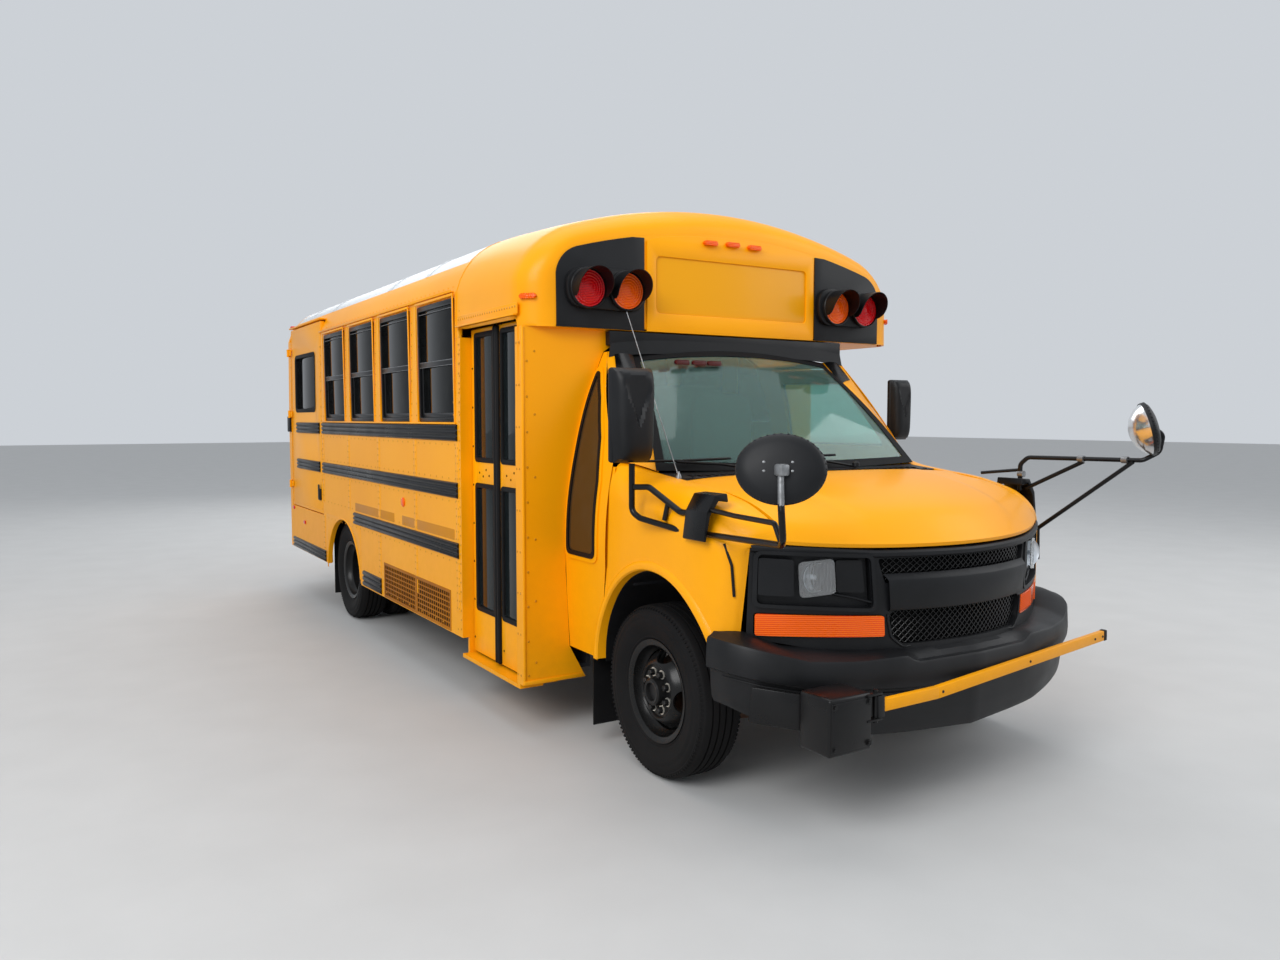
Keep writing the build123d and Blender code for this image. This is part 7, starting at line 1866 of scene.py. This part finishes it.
def cushion(name, low, high, plump=5):
    """Crowned closed pad between two corners, its sides pulled in between them."""
    take()
    bpy.ops.mesh.primitive_cube_add(size=2)
    piece = bpy.context.object
    piece.name = name
    edit(piece, ("subdivide", {"number_cuts": 9}))
    middle = [(a + b) / 2 for a, b in zip(low, high)]
    half = [abs(b - a) / 2 for a, b in zip(low, high)]
    for point in piece.data.vertices:
        size = sum(abs(value) ** plump for value in point.co) ** (1 / plump)
        point.co = [m + h * value / size for m, h, value in zip(middle, half, point.co)]
    return smooth(piece, 60)


def seats():
    """Driver's seat and padded benches with their piped seams."""
    pads = [cushion("seat", (0.222, 0.962, 1.002), (0.678, 1.398, 1.118), 6),
            cushion("seat_back", (0.222, 1.395, 1.010), (0.678, 1.438, 1.698), 6)]
    seam = rounded([(0.245, 0.985), (0.655, 0.985), (0.655, 1.375), (0.245, 1.375)], 0.05)
    cords = [tube("piping", [(x, y, 1.108) for x, y in seam], 0.003, 0.001, True, 1)]
    for y in (1.900, 2.660, 3.420, 4.180):
        for side in (1, -1):
            x0, x1 = sorted((side * 0.302, side * 1.148))
            pads.append(cushion("bench", (x0, y + 0.002, 1.062), (x1, y + 0.398, 1.178), 6))
            pads.append(cushion("bench_back", (x0, y + 0.396, 1.064), (x1, y + 0.488, 1.778), 7))
            loop = rounded([(x0 + 0.02, 1.10), (x1 - 0.02, 1.10), (x1 - 0.02, 1.755), (x0 + 0.02, 1.755)], 0.06)
            cords.append(tube("piping", [(x, y + 0.398, z) for x, z in loop], 0.003, 0.001, True, 1))
    made = joined("seat_pads", *pads)
    dress(made, VINYL, "root", ("seats",))
    dress(joined("seat_piping", *cords), RUBBER)


def dashboard():
    """Moulded dashboard, instrument hood, column and steering wheel."""
    side_view = [(0.264, 1.002), (0.498, 1.002), (0.518, 1.158), (0.422, 1.238), (0.264, 1.268)]
    dash = panel("dash", [rounded(side_view, (0.01, 0.03, 0.04, 0.04, 0.01))], facing("right", (-0.778, 0, 0)),
                 1.556, 0.004)
    hood = cushion("binnacle", (0.240, 0.380, 1.180), (0.620, 0.540, 1.275), 4)
    vents = [panel("vent", [rectangle(x - 0.05, x + 0.05, 1.120, 1.170, 0.01),
                            rectangle(x - 0.042, x + 0.042, 1.128, 1.162, 0.006)], facing("back", (0, 0.520, 0)),
                   0.008) for x in (-0.60, -0.10, 0.10, 0.70)]
    column = tube("column", [(0.430, 0.480, 1.045), (0.430, 0.690, 1.2025)], 0.026)
    take()
    lean = math.atan2(0.8, 0.6)
    bpy.ops.mesh.primitive_torus_add(major_radius=0.181, minor_radius=0.0125, major_segments=64, minor_segments=12)
    ring = smooth(bpy.context.object, 180)
    hub = cushion("hub", (-0.062, -0.050, -0.020), (0.062, 0.050, 0.016), 4)
    spokes = [box("spoke", (-0.175, -0.012, -0.008), (0.175, 0.012, 0.004), 0.004),
              box("spoke", (-0.012, -0.172, -0.008), (0.012, 0.0, 0.004), 0.004)]
    wheel = joined("steering_wheel", ring, hub, *spokes)
    wheel.data.transform(Matrix.Translation((0.430, 0.695, 1.206)) @ Matrix.Rotation(-lean, 4, "X"))
    dress(joined("dash_moulding", dash, hood, *vents), TRIM_GREY, "root", ("dashboard",))
    dress(joined("steering_wheel", wheel, column), BLACK_PLASTIC)


entry_door()
lift_door()
rear_end()
stop_arm()
seats()
dashboard()


# Studio

def studio():
    """Pale floor, soft lights and the camera at the photograph's place."""
    bpy.ops.mesh.primitive_plane_add(size=120, location=(0, 0, 0))
    floor = bpy.context.object
    floor.name = "studio_floor"
    made, tree, shader, place = material("pale_matt_floor", Roughness=0.75)
    grain = noise(tree, place, 400, 5.0)
    colour_into(tree, shader, blend(tree, (grain, "Fac"), "b9b9b8", "c4c4c3"))
    floor.data.materials.append(made)
    bpy.context.scene.view_settings.view_transform = "Standard"
    world = bpy.data.worlds.new("soft_sky")
    bpy.context.scene.world = world
    world.use_nodes = True
    world.node_tree.nodes["Background"].inputs["Color"].default_value = linear("dfe4ea")
    world.node_tree.nodes["Background"].inputs["Strength"].default_value = 0.82
    # name, place, size, power, aimed at
    for name, place, size, power, aim in (
            ("key", (-9.0, -6.5, 7.5), 6.0, 760, (0, -1.0, 1.2)), ("fill", (8.0, -6.0, 6.0), 7.0, 260, (0, -1, 1)),
            ("top", (0.0, 0.0, 11.0), 9.0, 300, (0, 0, 0)), ("back", (3.0, 10.0, 7.0), 7.0, 300, (0, 1, 1))):
        light = bpy.data.lights.new(name, "AREA")
        light.energy, light.size = power, size
        holder = bpy.data.objects.new(name, light)
        holder.location = place
        holder.rotation_euler = (Vector(aim) - Vector(place)).to_track_quat("-Z", "Y").to_euler()
        bpy.context.scene.collection.objects.link(holder)
    eye = bpy.data.cameras.new("photo_camera")
    eye.lens, eye.sensor_width = 27.0, 36.0
    camera = bpy.data.objects.new("photo_camera", eye)
    camera.location = (-3.1416, -3.4124 + AXLE_Y, 1.5401)
    camera.rotation_euler = (math.radians(90 - 3.66), 0, math.radians(-31.82))
    bpy.context.scene.collection.objects.link(camera)
    bpy.context.scene.camera = camera


studio()
